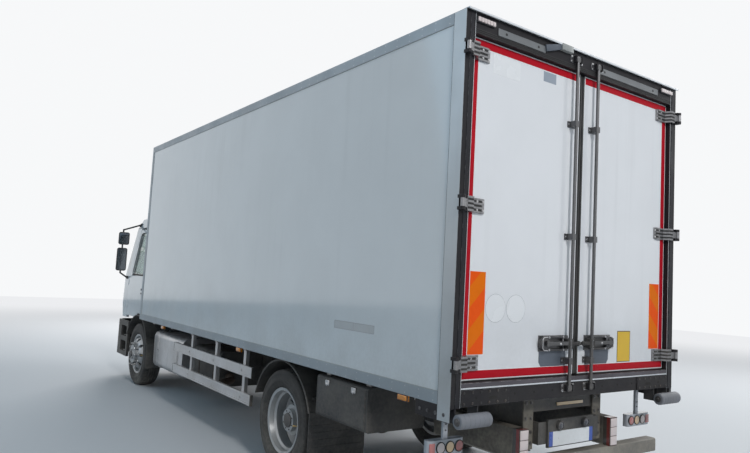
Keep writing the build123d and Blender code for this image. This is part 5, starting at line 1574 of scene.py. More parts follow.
@dataclass(frozen=True)
class LoadSpace:
    """Ribbed floor, kick plates, lamps and fan guards in the load space."""

    deck: float = 1.200
    inside: float = 1.210
    front: float = -2.514
    rear: float = 4.229
    rib_height: float = 0.006
    rib_count: int = 57
    kick_height: float = 0.300
    ceiling: float = 3.605
    lamp_places: tuple[float, ...] = (-1.0, 1.2, 3.3)
    fan_side: float = 0.330
    fan_middle: Point = (0.0, -2.169, 3.350)
    fan_facing: Point = (0.0, 0.804, -0.594)
    guard_radii: tuple[float, ...] = (0.045, 0.070, 0.095, 0.114)
    blade_count: int = 5
    door_thickness: float = 0.087

    def build(self) -> None:
        """Make the floor, the plates, the lamps, the evaporator's guards and the doors' insides."""
        floor = Form()
        for place in spread(-self.inside + 0.020, self.inside - 0.020, self.rib_count):
            floor.box(about(place, 0.007), (self.front + 0.02, self.rear - 0.03),
                      (self.deck, self.deck + self.rib_height), 0.0015)
        floor.box((-self.inside + 0.002, self.inside - 0.002), (self.rear - 0.028, self.rear),
                  (self.deck, self.deck + 0.004), 0.001)
        floor.place("floor_ribs", Body.CHASSIS, STEP_ALLOY)
        kick = Form()
        kick.box((self.inside - 0.004, self.inside), (self.front, self.rear - 0.002),
                 (self.deck, self.deck + self.kick_height), 0.001)
        kick.rod((self.inside - 0.004, self.front, self.deck + self.kick_height),
                 (self.inside - 0.004, self.rear - 0.002, self.deck + self.kick_height), 0.004, 8)
        for z in (self.deck + 0.04, self.deck + 0.26):
            kick.bolts([(self.inside - 0.004, y, z) for y in spread(self.front + 0.1, self.rear - 0.1, 18)],
                       INWARD, 0.006, 0.003, 10)
        kick.mirror()
        kick.box((-self.inside, self.inside), (self.front, self.front + 0.004),
                 (self.deck, self.deck + self.kick_height), 0.001)
        kick.place("kick_plates", Body.CHASSIS, ALUMINIUM)
        lamps = Form()
        for place in self.lamp_places:
            lamps.box((-0.30, 0.30), about(place, 0.040), (self.ceiling - 0.026, self.ceiling), 0.010, 3)
        lamps.place("ceiling_lamps", Body.CHASSIS, LENS_PALE_AND_SHEEN)
        self.guards()
        self.door_insides()

    def guards(self) -> None:
        """Make the fans and their wire guards in the evaporator's sloped face."""
        guard, blades = forms(2)
        normal = Vector(self.fan_facing).normalized()
        across = Vector(OUTWARD)
        up = normal.cross(across)
        for side in (-1, 1):
            middle = Vector(self.fan_middle) + Vector((side * self.fan_side, 0.0, 0.0)) + normal * 0.006
            for radius in self.guard_radii:
                ring = [middle + (across * math.cos(turn) + up * math.sin(turn)) * radius
                        for turn in spread(0.0, math.tau * 23 / 24, 24)]
                guard.tube([tuple(point) for point in ring], 0.0018, closed=True, resolution=1)
            for turn in spread(0.0, math.pi * 5 / 6, 6):
                reach = (across * math.cos(turn) + up * math.sin(turn)) * 0.118
                guard.tube([tuple(middle - reach), tuple(middle + reach)], 0.0022, resolution=1)
            for index in range(self.blade_count):
                turn = index * math.tau / self.blade_count
                reach = across * math.cos(turn) + up * math.sin(turn)
                cross = across * -math.sin(turn) + up * math.cos(turn)
                low = middle - normal * 0.030
                blades.rod(tuple(low + reach * 0.036), tuple(low + reach * 0.100 + cross * 0.022), 0.013, 6,
                           tip=0.030)
        guard.place("fan_guards", Body.CHASSIS, BRIGHT_STEEL)
        blades.place("fan_blades", Body.CHASSIS, BLACK_PLASTIC)

    def door_insides(self) -> None:
        """Make the kick plate and the inner seal of each rear door."""
        face = TRUCK.leaf_back - self.door_thickness
        for name, side, body in LEAVES:
            plate = Form()
            plate.box((side * 0.045, side * 1.180), (face - 0.0025, face), (1.235, 1.535), 0.001)
            plate.bolts([(side * x, face - 0.0025, z) for x in spread(0.08, 1.14, 6) for z in (1.27, 1.50)],
                        FORWARD, 0.006, 0.003, 10)
            plate.place(f"door_kick_plate_{name}", body, ALUMINIUM)
            seal = Form()
            points = [(side * x, face - 0.003, z) for x, z in ((0.040, 1.232), (1.190, 1.232), (1.190, 3.532),
                                                                (0.040, 3.532))]
            seal.tube(points, 0.007, closed=True)
            seal.place(f"door_inner_seal_{name}", body, RUBBER)


@dataclass(frozen=True)
class WheelSet:
    """Treaded tyres that stand for the plain ones, and the small parts of the wheels."""

    radius: float = TRUCK.wheel_radius
    bead_radius: float = 0.2868
    steps: int = 168
    groove_depth: float = 0.012
    front_grooves: tuple[float, ...] = (0.018, 0.054)
    rear_grooves: tuple[float, ...] = (0.022, 0.060)
    groove_half: float = 0.0045
    sink: float = -0.007
    crown_curve: float = 0.6
    margin: float = 0.006
    shoulder_radius: float = 0.4705
    crown_radius: float = 0.474
    lug_edge: float = 0.0032
    front_place: float = 1.030
    rear_places: Pair = (1.090, 0.785)
    disc_offset: float = 0.1525
    stud_circle: float = 0.1675
    stud_count: int = 10
    hub_radii: Pair = (0.082, 0.105)

    def build(self) -> None:
        """Make the four tyre pieces and the wheels' small parts."""
        sets = (
            ("front", "wheel_front", "front_tyre", TRUCK.front_axle, (self.front_place,),
             self.front_grooves, 6),
            ("rear", "wheels_rear", "rear_tyres", TRUCK.rear_axle, self.rear_places, self.rear_grooves, 4),
        )
        for end, carrier, plain, axle, places, grooves, gap in sets:
            for name, side in SIDES:
                body = Body(f"{carrier}_{name}")
                tyres = Form()
                for place in places:
                    self.tyre(tyres, (side * place, axle, self.radius), grooves, gap)
                piece = tyres.place(f"{end}_tread_{name}", body, TYRE, 32.0)
                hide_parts(f"{plain}_{name}")
                self.wheel(end, name, side, axle, body)

    def profile(self, grooves: Sequence[float]) -> list[Pair]:
        """Give the section of a tyre as pairs of a distance across and a radius.

        Args:
            grooves: How far the grooves lie from the tyre's middle.

        Returns:
            The closed section.
        """
        wall = [(0.103, self.bead_radius), (0.1045, 0.300), (0.108, 0.310), (0.112, 0.313), (0.116, 0.318),
                (0.1235, 0.332), (0.1315, 0.352), (0.1355, 0.366), (0.1372, 0.367), (0.1378, 0.392),
                (0.1368, 0.394), (0.1355, 0.412), (0.1325, 0.428), (0.1332, 0.430), (0.1300, 0.446),
                (0.1270, 0.452), (0.1225, 0.462), (0.1160, 0.4685), (0.1040, 0.4725)]
        crown = []
        for place in sorted(grooves, reverse=True):
            top = self.radius - self.crown_curve * place * place
            half = self.groove_half
            crown += [(place + half + 0.0015, top), (place + half * 0.6, top - self.groove_depth),
                      (place - half * 0.6, top - self.groove_depth), (place - half - 0.0015, top)]
        right = wall + crown
        left = [(-across, radius) for across, radius in reversed(right)]
        return right + left

    def tyre(self, form: Form, centre: Point, grooves: Sequence[float], gap: int) -> None:
        """Add one tyre with its ring grooves and its cross grooves.

        Args:
            form: What the tyre is added to.
            centre: The wheel's middle.
            grooves: How far the ring grooves lie from the tyre's middle.
            gap: How many steps one lug spans.
        """
        before = set(form.mesh.faces)
        form.revolve(self.profile(grooves), centre, 0, self.steps, closed=True)
        step = math.tau / self.steps
        sunk = []
        for face in form.mesh.faces:
            if face in before:
                continue
            middle = face.calc_center_median() - Vector(centre)
            across = abs(middle.x)
            distance = math.hypot(middle.y, middle.z)
            turn = int((math.atan2(middle.z, middle.y) % math.tau) / step)
            on_shoulder = across > max(grooves) + self.margin and distance > self.shoulder_radius
            on_middle = across < min(grooves) - self.margin and distance > self.crown_radius
            if (on_shoulder and turn % gap == 0) or (gap == 4 and on_middle and turn % gap == 2):
                sunk.append(face)
        bmesh.ops.inset_region(form.mesh, faces=sunk, thickness=self.lug_edge, depth=self.sink,
                               use_even_offset=True)

    def wheel(self, end: str, name: str, side: int, axle: float, body: Body) -> None:
        """Make the nuts' collars, the hub's bolts and the valve of one wheel.

        Args:
            end: front or rear.
            name: The side's name.
            side: 1 on the left, -1 on the right.
            axle: Y of the axle.
            body: The wheel's body.
        """
        front = end == "front"
        outer = self.front_place if front else self.rear_places[0]
        face = outer + self.disc_offset if front else outer - self.disc_offset + 0.012
        hub = outer + self.disc_offset + 0.062 if front else outer + 0.055
        hub_radius = self.hub_radii[0] if front else self.hub_radii[1]
        bright, cap = forms(2)
        for y, z in circle((axle, self.radius), self.stud_circle, self.stud_count):
            bright.rod((side * face, y, z), (side * (face + 0.006), y, z), 0.0235, 20, 0.001)
            bright.rod((side * (face + 0.040), y, z), (side * (face + 0.056), y, z), 0.0105, 12, 0.0015)
        for y, z in circle((axle, self.radius), hub_radius * 0.82, 8, 0.5):
            cap.rod((side * hub, y, z), (side * (hub + 0.007), y, z), 0.0065, 6, 0.001)
        cap.revolve(((-0.002, hub_radius * 0.66), (side * 0.010, hub_radius * 0.62),
                     (side * 0.014, hub_radius * 0.45), (side * 0.015, 0.0)), (side * hub, axle, self.radius),
                    0, 28)
        valve = Form()
        foot = outer + 0.060
        valve.tube([(side * (foot - 0.010), axle + 0.262, self.radius),
                    (side * (foot + 0.030), axle + 0.250, self.radius),
                    (side * (foot + 0.052), axle + 0.232, self.radius)], 0.0042, smooth=True)
        valve.rod((side * (foot + 0.048), axle + 0.236, self.radius),
                  (side * (foot + 0.064), axle + 0.224, self.radius), 0.0058, 10, 0.001)
        bright.place(f"{end}_nut_collars_{name}", body, BRIGHT_STEEL)
        cap.place(f"{end}_hub_cap_{name}", body, DARK_METAL)
        valve.place(f"{end}_valve_{name}", body, BRASS)


@dataclass(frozen=True)
class Chassis:
    """Bolts, bands, springs' leaves, brakes, flaps and other small parts of the chassis."""

    rail_side: float = 0.430
    rail_y: Pair = (-4.200, 4.215)
    # Y of the axle, place across, reach to an eye, heights of the seat and of the eyes
    spring_table: tuple[tuple[float, float, float, float, float], ...] = (
        (-3.100, 0.400, 0.720, 0.470, 0.590), (1.950, 0.490, 0.760, 0.600, 0.720))
    tank_y: Pair = (-2.480, -1.230)
    strap_inset: float = 0.200
    air_tank_side: float = 0.620
    air_tank_heights: Pair = (0.480, 0.745)
    crossmembers: tuple[float, ...] = (-2.150, -1.000, 0.150, 1.150, 2.750, 3.500)
    bearer_y: Pair = (-2.300, 3.900)
    bearer_count: int = 10
    guard_y: Pair = (-1.180, 1.250)
    guard_bases: Pair = (0.480, 0.760)
    box_y: Pair = (2.640, 3.390)
    box_side: float = 1.262
    chamber: Point = (0.360, 1.690, 0.560)
    cover_place: Pair = (0.040, 2.150)
    shaft_joints: tuple[Pair, ...] = ((-2.300, 0.680), (-1.040, 0.638), (1.520, 0.512))

    def build(self) -> None:
        """Make the chassis's small parts."""
        self.rail_bolts()
        self.springs()
        self.tanks()
        self.brakes()
        self.boxes()
        self.flaps()
        self.guards()
        self.driveline()

    def rail_bolts(self) -> None:
        """Make the bolts and plates where crossmembers and bearers meet the rails, and the air lines."""
        bolts = Form()
        x = self.rail_side
        for place in self.crossmembers:
            bolts.bolts([(x, place + y, z) for y in (-0.030, 0.030) for z in (0.730, 0.800, 0.860)], OUTWARD,
                        0.011, 0.009)
        for place in spread(*self.bearer_y, self.bearer_count):
            bolts.bolts([(x, place + y, z) for y in (-0.035, 0.035) for z in (0.895, 0.955)], OUTWARD, 0.009,
                        0.008)
        for axle, _, reach, _, _ in self.spring_table:
            for end in (-1, 1):
                bolts.bolts([(x, axle + end * reach + y, z) for y in (-0.028, 0.028) for z in (0.700, 0.760)],
                            OUTWARD, 0.010, 0.008)
        bolts.place("rail_bolts", Body.CHASSIS, CHASSIS_PAINT, mirrored=True)
        plates = Form()
        for place in spread(*self.bearer_y, self.bearer_count):
            plates.box((x, x + 0.006), about(place, 0.055), (0.872, 0.985), 0.002)
        plates.place("bearer_plates", Body.CHASSIS, CHASSIS_PAINT, mirrored=True)
        lines = Form()
        for z, radius in ((0.905, 0.007), (0.888, 0.005), (0.876, 0.005)):
            lines.tube([(x - 0.018, y, z) for y in spread(self.rail_y[0] + 0.3, self.rail_y[1] - 0.1, 12)],
                       radius)
        for place in spread(-3.6, 3.9, 16):
            lines.box((x - 0.028, x - 0.008), about(place, 0.006), (0.868, 0.914), 0.002)
        lines.place("air_lines", Body.CHASSIS, RUBBER, mirrored=True)

    def springs(self) -> None:
        """Make the lower leaves, the clamps and the dampers of the springs."""
        leaves, clamps, dampers = forms(3)
        for axle, place, reach, seat, eye in self.spring_table:
            for index, share in enumerate((0.72, 0.55, 0.38)):
                span = reach * share
                rise = (eye - seat) * share * share
                low = seat - 0.001 - 0.013 * index
                outline = [(axle + span * turn, low + rise * turn * turn) for turn in spread(-1.0, 1.0, 13)]
                outline += [(y, z - 0.011) for y, z in reversed(outline)]
                leaves.prism(outline, 0, place - 0.040, place + 0.040)
            for y in about(axle, 0.070):
                for x in about(place, 0.050):
                    clamps.rod((x, y, seat - 0.100), (x, y, seat + 0.092), 0.0095, 12)
                    clamps.rod((x, y, seat - 0.092), (x, y, seat - 0.076), 0.017, 6)
                clamps.tube([(place - 0.050, y, seat + 0.088), (place - 0.032, y, seat + 0.104),
                             (place + 0.032, y, seat + 0.104), (place + 0.050, y, seat + 0.088)], 0.0095,
                            smooth=True)
            clamps.box(about(place, 0.055), about(axle, 0.095), (seat - 0.078, seat - 0.052), 0.004)
            for end in (-1, 1):
                low, high = axle + end * reach * 0.46 - 0.020, axle + end * reach * 0.46 + 0.020
                rise = (eye - seat) * 0.46 * 0.46
                clamps.box(about(place, 0.046), (low, high), (seat + rise - 0.034, seat + rise + 0.052),
                           0.003)
            foot = (place - 0.150, axle + 0.120, seat - 0.060)
            head = (place - 0.080, axle + 0.300, 0.800)
            middle = tuple((a * 0.45 + b * 0.55) for a, b in zip(foot, head))
            dampers.rod(foot, middle, 0.030, 20, 0.003)
            dampers.rod(middle, head, 0.037, 20, 0.003)
        leaves.place("lower_leaves", Body.CHASSIS, RUSTY_IRON, mirrored=True)
        clamps.place("spring_clamps", Body.CHASSIS, RUSTY_IRON, mirrored=True)
        dampers.place("dampers", Body.CHASSIS, CHASSIS_PAINT, mirrored=True)

    def tanks(self) -> None:
        """Make the fuel tank's straps, cap and seams, and the air tanks' bands and drains."""
        straps = Form()
        low, high = self.tank_y
        section = self.tank_section(0.0025)
        for place in (low + self.strap_inset, high - self.strap_inset):
            for offset in (-0.022, 0.022):
                straps.tube([(x, place + offset, z) for x, z in section], 0.004, closed=True)
        straps.bolts([(1.083, place, 0.640) for place in (low + self.strap_inset, high - self.strap_inset)],
                     OUTWARD, 0.010, 0.014)
        straps.place("tank_straps", Body.CHASSIS, BRIGHT_STEEL)
        cap = Form()
        cap.revolve(((-0.012, 0.046), (0.014, 0.046), (0.020, 0.040), (0.022, 0.0)),
                    (0.980, low + 0.180, 0.900), 2, 32)
        cap.box((0.945, 1.015), (low + 0.174, low + 0.186), (0.918, 0.930), 0.003)
        cap.place("tank_cap", Body.CHASSIS, BLACK_PLASTIC)
        seams = Form()
        for place in (low + 0.002, high - 0.002, low + 0.625):
            seams.tube([(x, place, z) for x, z in self.tank_section(0.0)], 0.0045, closed=True)
        seams.place("tank_seams", Body.CHASSIS, ALUMINIUM)
        bands = Form()
        for height in self.air_tank_heights:
            for place in (low + 0.110, low + 0.460, low + 0.800):
                bands.revolve(((-0.012, 0.1175), (-0.010, 0.1200), (0.010, 0.1200), (0.012, 0.1175)),
                              (-self.air_tank_side, place, height), 1, 36, closed=True)
            bands.revolve(((0.0, 0.0), (-0.014, 0.060), (-0.002, 0.112)),
                          (-self.air_tank_side, low + 0.029, height), 1, 32)
            drain = (-self.air_tank_side, low + 0.455, height - 0.118)
            bands.rod(drain, (drain[0], drain[1], height - 0.140), 0.010, 6)
        bands.place("air_tank_bands", Body.CHASSIS, CHASSIS_PAINT)

    def tank_section(self, lift: float) -> list[Pair]:
        """Give the rounded outline of the fuel tank in X and Z.

        Args:
            lift: How far outside the tank it lies.

        Returns:
            The outline's points.
        """
        corner = 0.085
        points = []
        for x, z, start in ((0.995, 0.815, 0.0), (0.545, 0.815, 0.25), (0.545, 0.455, 0.5),
                            (0.995, 0.455, 0.75)):
            for share in spread(0.0, 0.25, 6):
                turn = (start + share) * math.tau
                points.append((x + (corner + lift) * math.cos(turn), z + (corner + lift) * math.sin(turn)))
        return points

    def brakes(self) -> None:
        """Make the rear brake chambers and the differential's bolted cover."""
        pots = Form()
        x, y, z = self.chamber
        pots.revolve(((-0.060, 0.0), (-0.058, 0.060), (-0.020, 0.080), (-0.004, 0.082), (-0.004, 0.090),
                      (0.006, 0.090), (0.006, 0.082), (0.060, 0.072), (0.100, 0.050), (0.104, 0.0)),
                     (x, y, z), 1, 28)
        pots.box(about(x, 0.030), (y + 0.100, y + 0.190), (z - 0.030, z + 0.010), 0.004)
        pots.place("brake_chambers", Body.CHASSIS, CHASSIS_PAINT, mirrored=True)
        cover = Form()
        x, y = self.cover_place
        height = TRUCK.wheel_radius
        cover.rod((x, y, height), (x, y + 0.014, height), 0.110, 32, 0.003)
        for bolt_x, bolt_z in circle((x, height), 0.090, 10):
            cover.rod((bolt_x, y + 0.008, bolt_z), (bolt_x, y + 0.022, bolt_z), 0.008, 6)
        cover.place("differential_cover", Body.CHASSIS, RUSTY_IRON)

    def boxes(self) -> None:
        """Make the lockers' doors, the battery box's lid and ribs, and the silencer's straps and pipe."""
        trim, latch = forms(2)
        low, high = self.box_y
        x = self.box_side
        trim.box((x, x + 0.003), (low + 0.020, high - 0.020), (0.705, 1.000), 0.002)
        trim.box((x + 0.002, x + 0.005), (low + 0.030, high - 0.030), (0.715, 0.990), 0.0015)
        for place in (low + 0.180, high - 0.180):
            latch.box((x + 0.003, x + 0.016), about(place, 0.030), (0.955, 0.998), 0.003)
            latch.rod((x + 0.014, place, 0.962), (x + 0.020, place, 0.962), 0.012, 16, 0.001)
        trim.place("locker_doors", Body.CHASSIS, CHASSIS_PAINT, mirrored=True)
        latch.place("locker_latches", Body.CHASSIS, BRIGHT_STEEL, mirrored=True)
        lid = Form()
        lid.box((-1.097, -0.436), (-1.405, -0.615), (0.800, 0.884), 0.010, 2)
        for place in (-1.25, -0.77):
            lid.box((-1.103, -1.095), about(place, 0.018), (0.740, 0.830), 0.003)
        for place in spread(-1.36, -0.66, 6):
            lid.box((-1.094, -1.088), about(place, 0.012), (0.450, 0.780), 0.003)
        lid.place("battery_lid", Body.CHASSIS, BLACK_PLASTIC)
        silencer = Form()
        for place in (-0.800, -0.300):
            for z in (0.440, 0.860):
                silencer.box((0.452, 0.990), about(place, 0.020), about(z, 0.003), 0.001)
            silencer.box((0.998, 1.004), about(place, 0.020), (0.500, 0.800), 0.001)
        silencer.rod((0.880, -0.102, 0.560), (0.880, -0.050, 0.560), 0.050, 28, 0.003)
        silencer.tube([(0.880, -0.080, 0.560), (0.900, 0.060, 0.555), (0.985, 0.160, 0.550),
                       (1.100, 0.190, 0.545)], 0.044, smooth=True, resolution=5)
        silencer.place("silencer_straps_and_pipe", Body.CHASSIS, RUSTY_IRON)

    def flaps(self) -> None:
        """Make the rubber flaps and the trim of the mudguards."""
        flaps = Form()
        # Axle, radius, near, far, first and last angle, then the flap's place, top and foot
        arcs = ((TRUCK.front_axle, 0.600, 0.650, 1.185, 25, 160, -2.5230, 0.690, 0.330),
                (TRUCK.rear_axle, 0.560, 0.632, 1.235, 18, 162, 2.4850, 0.655, 0.250))
        for axle, radius, near, far, start, end, place, high, low in arcs:
            flaps.box((near, far), (place, place + 0.009), (low, high), 0.002)
            for height in spread(low + 0.04, high - 0.05, 6):
                flaps.box((near + 0.02, far - 0.02), (place + 0.008, place + 0.012), about(height, 0.004))
            points = []
            for angle in spread(start, end, 28):
                turn = math.radians(angle)
                points.append((far + 0.002, axle - (radius + 0.003) * math.cos(turn),
                               TRUCK.wheel_radius + (radius + 0.003) * math.sin(turn)))
            flaps.tube(points, 0.009)
        flaps.place("mudguard_flaps", Body.CHASSIS, BLACK_PLASTIC, mirrored=True)

    def guards(self) -> None:
        """Make the end caps, the bands and the bolts of the side guards."""
        trim = Form()
        low, high = self.guard_y
        for base in self.guard_bases:
            for place in (low, high):
                trim.box((1.188, 1.222), about(place, 0.006), (base - 0.002, base + 0.112), 0.003)
        trim.place("guard_end_caps", Body.CHASSIS, BLACK_PLASTIC, mirrored=True)
        bands = Form()
        for base in self.guard_bases:
            for height in (base + 0.014, base + 0.096):
                bands.box((1.2195, 1.2225), (low + 0.004, high - 0.004), about(height, 0.007), 0.001)
            bands.bolts([(1.220, place, base + 0.055) for place in (-0.600, 0.200, 1.000)], OUTWARD, 0.011,
                        0.008)
        bands.place("guard_bands", Body.CHASSIS, ALUMINIUM, mirrored=True)

    def driveline(self) -> None:
        """Make the propeller shaft's joints, and the engine's sump, bolts, ribs and pulleys."""
        joints = Form()
        for y, z in self.shaft_joints:
            joints.rod((0.0, y - 0.012, z), (0.0, y + 0.012, z), 0.088, 28, 0.003)
            for bolt_x, bolt_z in circle((0.0, z), 0.074, 8):
                joints.rod((bolt_x, y - 0.020, bolt_z), (bolt_x, y + 0.020, bolt_z), 0.008, 6)
        joints.place("shaft_joints", Body.CHASSIS, RUSTY_IRON)
        engine = Form()
        engine.box((-0.240, 0.240), (-3.900, -3.300), (0.500, 0.560), 0.030, 3)
        for place in spread(-3.84, -3.36, 7):
            engine.bolts([(x, place, 0.561) for x in (-0.226, 0.226)], DOWNWARD, 0.008, 0.012)
            engine.box((-0.336, -0.328), about(place, 0.018), (0.700, 1.150), 0.004)
            engine.box((0.328, 0.336), about(place, 0.018), (0.700, 1.150), 0.004)
        engine.rod((0.0, -3.955, 0.760), (0.0, -3.985, 0.760), 0.110, 32, 0.004)
        engine.rod((0.0, -3.950, 1.080), (0.0, -3.985, 1.080), 0.075, 28, 0.004)
        engine.rod((0.200, -3.950, 0.980), (0.200, -3.985, 0.980), 0.050, 24, 0.004)
        engine.place("engine_ribs_and_pulleys", Body.CHASSIS, DARK_METAL)


def rounded(corners: Sequence[Pair], radius: float, pitch: float = 0.06) -> list[Pair]:
    """Round the corners of an outline and divide its long edges.

    Args:
        corners: The outline's corners.
        radius: How much of each edge a corner takes.
        pitch: Longest distance between two points.

    Returns:
        The outline's points.
    """
    points = []
    for index, corner in enumerate(corners):
        here = Vector(corner)
        before = here + (Vector(corners[index - 1]) - here).normalized() * radius
        following = Vector(corners[(index + 1) % len(corners)])
        after = here + (following - here).normalized() * radius
        for share in spread(0.0, 1.0, 6):
            points.append(before * (1 - share) ** 2 + here * 2 * share * (1 - share) + after * share ** 2)
        end = following + (here - following).normalized() * radius
        count = max(2, int((end - after).length / pitch) + 2)
        points += [after.lerp(end, share) for share in spread(0.0, 1.0, count)[1:-1]]
    return [tuple(point) for point in points]


@lru_cache(maxsize=None)
def search_tree(node: str) -> BVHTree:
    """Give the search tree of a CAD node's faces.

    Args:
        node: The node's name.

    Returns:
        The tree.
    """
    data = bpy.data.objects[node].data
    return BVHTree.FromPolygons([vert.co for vert in data.vertices],
                                [tuple(face.vertices) for face in data.polygons])


def meet(nodes: Sequence[str], start: Point, towards: Point, lift: float = 0.0) -> Point:
    """Find where a ray first meets one of some CAD nodes.

    Args:
        nodes: The nodes' names.
        start: Where the ray starts.
        towards: Its direction.
        lift: How far back towards the ray's start the result lies.

    Returns:
        The point.
    """
    origin = Vector(start)
    way = Vector(towards).normalized()
    hits = [search_tree(name).ray_cast(origin, way)[3] for name in nodes]
    hits = [distance for distance in hits if distance is not None]
    if not hits:
        raise ValueError(f"a ray from {start} meets none of {nodes}")
    return tuple(origin + way * (min(hits) - lift))


def from_front(node: str, x: float, z: float, lift: float = 0.0) -> Point:
    """Find what shows of a CAD node from the front.

    Args:
        node: The node's name.
        x: Place across.
        z: Height.
        lift: Distance in front of the node.

    Returns:
        The point.
    """
    return meet((node,), (x, RAY_FRONT, z), REARWARD, lift)


def from_side(nodes: Sequence[str], side: int, y: float, z: float, lift: float = 0.0) -> Point:
    """Find what shows of some CAD nodes from a side.

    Args:
        nodes: The nodes' names.
        side: 1 on the left, -1 on the right.
        y: Place along the truck.
        z: Height.
        lift: Distance outside the nodes.

    Returns:
        The point.
    """
    return meet(nodes, (side * RAY_SIDE, y, z), (-side, 0.0, 0.0), lift)


def from_above(node: str, x: float, y: float, lift: float = 0.0) -> Point:
    """Find what shows of a CAD node from above.

    Args:
        node: The node's name.
        x: Place across.
        y: Place along the truck.
        lift: Distance over the node.

    Returns:
        The point.
    """
    return meet((node,), (x, y, RAY_TOP), DOWNWARD, lift)


@dataclass(frozen=True)
class CabOutside:
    """Seals, wipers, lamps, grille mesh, steps, mirrors and handles of the cab's outside."""

    shoulder_z: Pair = (1.690, 2.500)
    shoulder_front: Pair = (-4.405, -4.150)
    shoulder_half: Pair = (1.150, 1.072)
    corner: float = 0.270
    glass_depth: float = 0.0102
    strip_half: float = 0.888
    screen: tuple[Pair, ...] = ((-0.993, 1.717), (0.993, 1.717), (0.922, 2.448), (-0.922, 2.448))
    window: tuple[Pair, ...] = ((-3.757, 1.723), (-3.606, 2.412), (-3.038, 2.412), (-3.038, 1.723))
    slots: tuple[Pair, ...] = ((1.09, 1.15), (1.18, 1.24), (1.27, 1.33), (1.36, 1.42))
    slot_half: float = 0.560
    lamp_span: Pair = (0.690, 1.010)
    lamp_z: Pair = (0.600, 0.790)
    lamp_front: float = -4.432
    intake_half: float = 0.480
    intake_z: Pair = (0.470, 0.650)
    bumper_front: float = -4.450
    wiper_pivots: Pair = (-0.120, 0.760)
    wiper_foot: float = 1.672
    blade_height: float = 1.764
    strip_height: float = 1.712
    seam_sides: Pair = (0.640, 1.040)
    seam_heights: Pair = (0.905, 0.450)
    tread_heights: Pair = (0.430, 0.680)
    roof_seam: float = 2.505
    nose_seam: float = 1.560
    rib_places: tuple[float, ...] = (-0.620, -0.480, 0.480, 0.620)
    # Place across, rear face, heights and half width of each mirror's glass
    mirror_heads: tuple[tuple[float, float, Pair, float], ...] = (
        (1.285, -4.008, (1.788, 2.142), 0.072), (1.270, -4.013, (2.232, 2.413), 0.076))

    def build(self) -> None:
        """Make the small parts of the cab's outside."""
        self.screen_seal()
        self.wipers()
        self.windows()
        self.grille()
        self.head_lamps()
        self.bumper()
        self.mirrors()
        self.roof()
        self.seams()

    def on_front(self, x: float, z: float, lift: float) -> Point:
        """Give the point of the cab's front at an X and a Z.

        Args:
            x: Place across.
            z: Height.
            lift: Distance in front of it.

        Returns:
            The point.
        """
        if z <= self.shoulder_z[0]:
            return from_front("cab_front", x, z, lift)
        share = (z - self.shoulder_z[0]) / (self.shoulder_z[1] - self.shoulder_z[0])
        front = self.shoulder_front[0] + (self.shoulder_front[1] - self.shoulder_front[0]) * share
        half = self.shoulder_half[0] + (self.shoulder_half[1] - self.shoulder_half[0]) * share
        over = max(0.0, abs(x) - half + self.corner)
        return (x, front + self.corner - math.sqrt(self.corner ** 2 - over ** 2) - lift, z)

    def screen_seal(self) -> None:
        """Make the rubber round the windscreen, and the panels under and over it."""
        seal = Form()
        points = [self.on_front(x, z, 0.0) for x, z in rounded(self.screen, 0.070)]
        seal.tube(points, 0.0105, closed=True)
        seal.tube([(x, y + self.glass_depth, z) for x, y, z in points], 0.0115, closed=True)
        seal.place("windscreen_seal", Body.CAB, RUBBER)
        strips = Form()
        for low, high in ((1.6885, 1.7230), (2.4420, 2.5010)):
            rows = [self.on_front(0.0, z, -depth)[1:] for z, depth in ((low + 0.002, 0.0004), (high, 0.0004),
                                                                      (high, 0.040), (low + 0.002, 0.040))]
            strips.prism(rows, 0, -self.strip_half, self.strip_half)
        strips.place("windscreen_surround", Body.CAB, WHITE_PAINT)

    def wipers(self) -> None:
        """Make the two wipers at rest along the foot of the windscreen."""
        arms, blades = forms(2)
        for pivot in self.wiper_pivots:
            base = self.on_front(pivot, self.wiper_foot, 0.0)
            arms.rod(base, (base[0], base[1] - 0.026, base[2]), 0.017, 20, 0.003)
            reach = [(pivot - share * 0.62, self.wiper_foot + 0.100 * math.sin(share * math.pi / 2))
                     for share in spread(0.0, 1.0, 8)]
            arms.tube([self.on_front(x, z, 0.026) for x, z in reach], 0.0065, smooth=True)
            line = [(x, self.blade_height) for x in spread(pivot - 0.800, pivot - 0.330, 12)]
            blades.tube([self.on_front(x, z, 0.004 - self.glass_depth) for x, z in line], 0.0055)
            blades.tube([self.on_front(x, z + 0.004, 0.006) for x, z in line[2:-2]], 0.0045)
            for x, z in (line[3], line[-4]):
                blades.rod(self.on_front(x, z, -0.006), self.on_front(x, z + 0.004, 0.012), 0.0045, 8)
        arms.place("wiper_arms", Body.CAB, BLACK_PLASTIC)
        blades.place("wiper_blades", Body.CAB, RUBBER)

    def windows(self) -> None:
        """Make the seals of the door windows, the handles' seats, the locks and the weather strips."""
        for name, side, body in DOORS:
            door = (f"cab_door_{name}",)
            seal = Form()
            edge = [from_side(door, side, y, z, 0.0005) for y, z in rounded(self.window, 0.052)]
            seal.tube(edge, 0.0075, closed=True)
            seal.tube([from_side(door, side, y, self.strip_height) for y in spread(-3.755, -3.040, 9)],
                      0.0085)
            seal.place(f"window_seal_{name}", body, RUBBER)
            handle = Form()
            skin = abs(from_side(door, side, -3.100, 1.395)[0])
            handle.box((side * (skin - 0.002), side * (skin + 0.003)), (-3.195, -3.005), (1.412, 1.502),
                       0.002)
            handle.place(f"handle_seat_{name}", body, BLACK_PLASTIC)
            lock = Form()
            lock.rod((side * (skin - 0.002), -3.040, 1.385), (side * (skin + 0.004), -3.040, 1.385), 0.012,
                     24, 0.001)
            lock.box((side * (skin + 0.003), side * (skin + 0.0046)), (-3.0415, -3.0385), (1.379, 1.391))
            lock.place(f"door_lock_{name}", body, BRIGHT_STEEL)

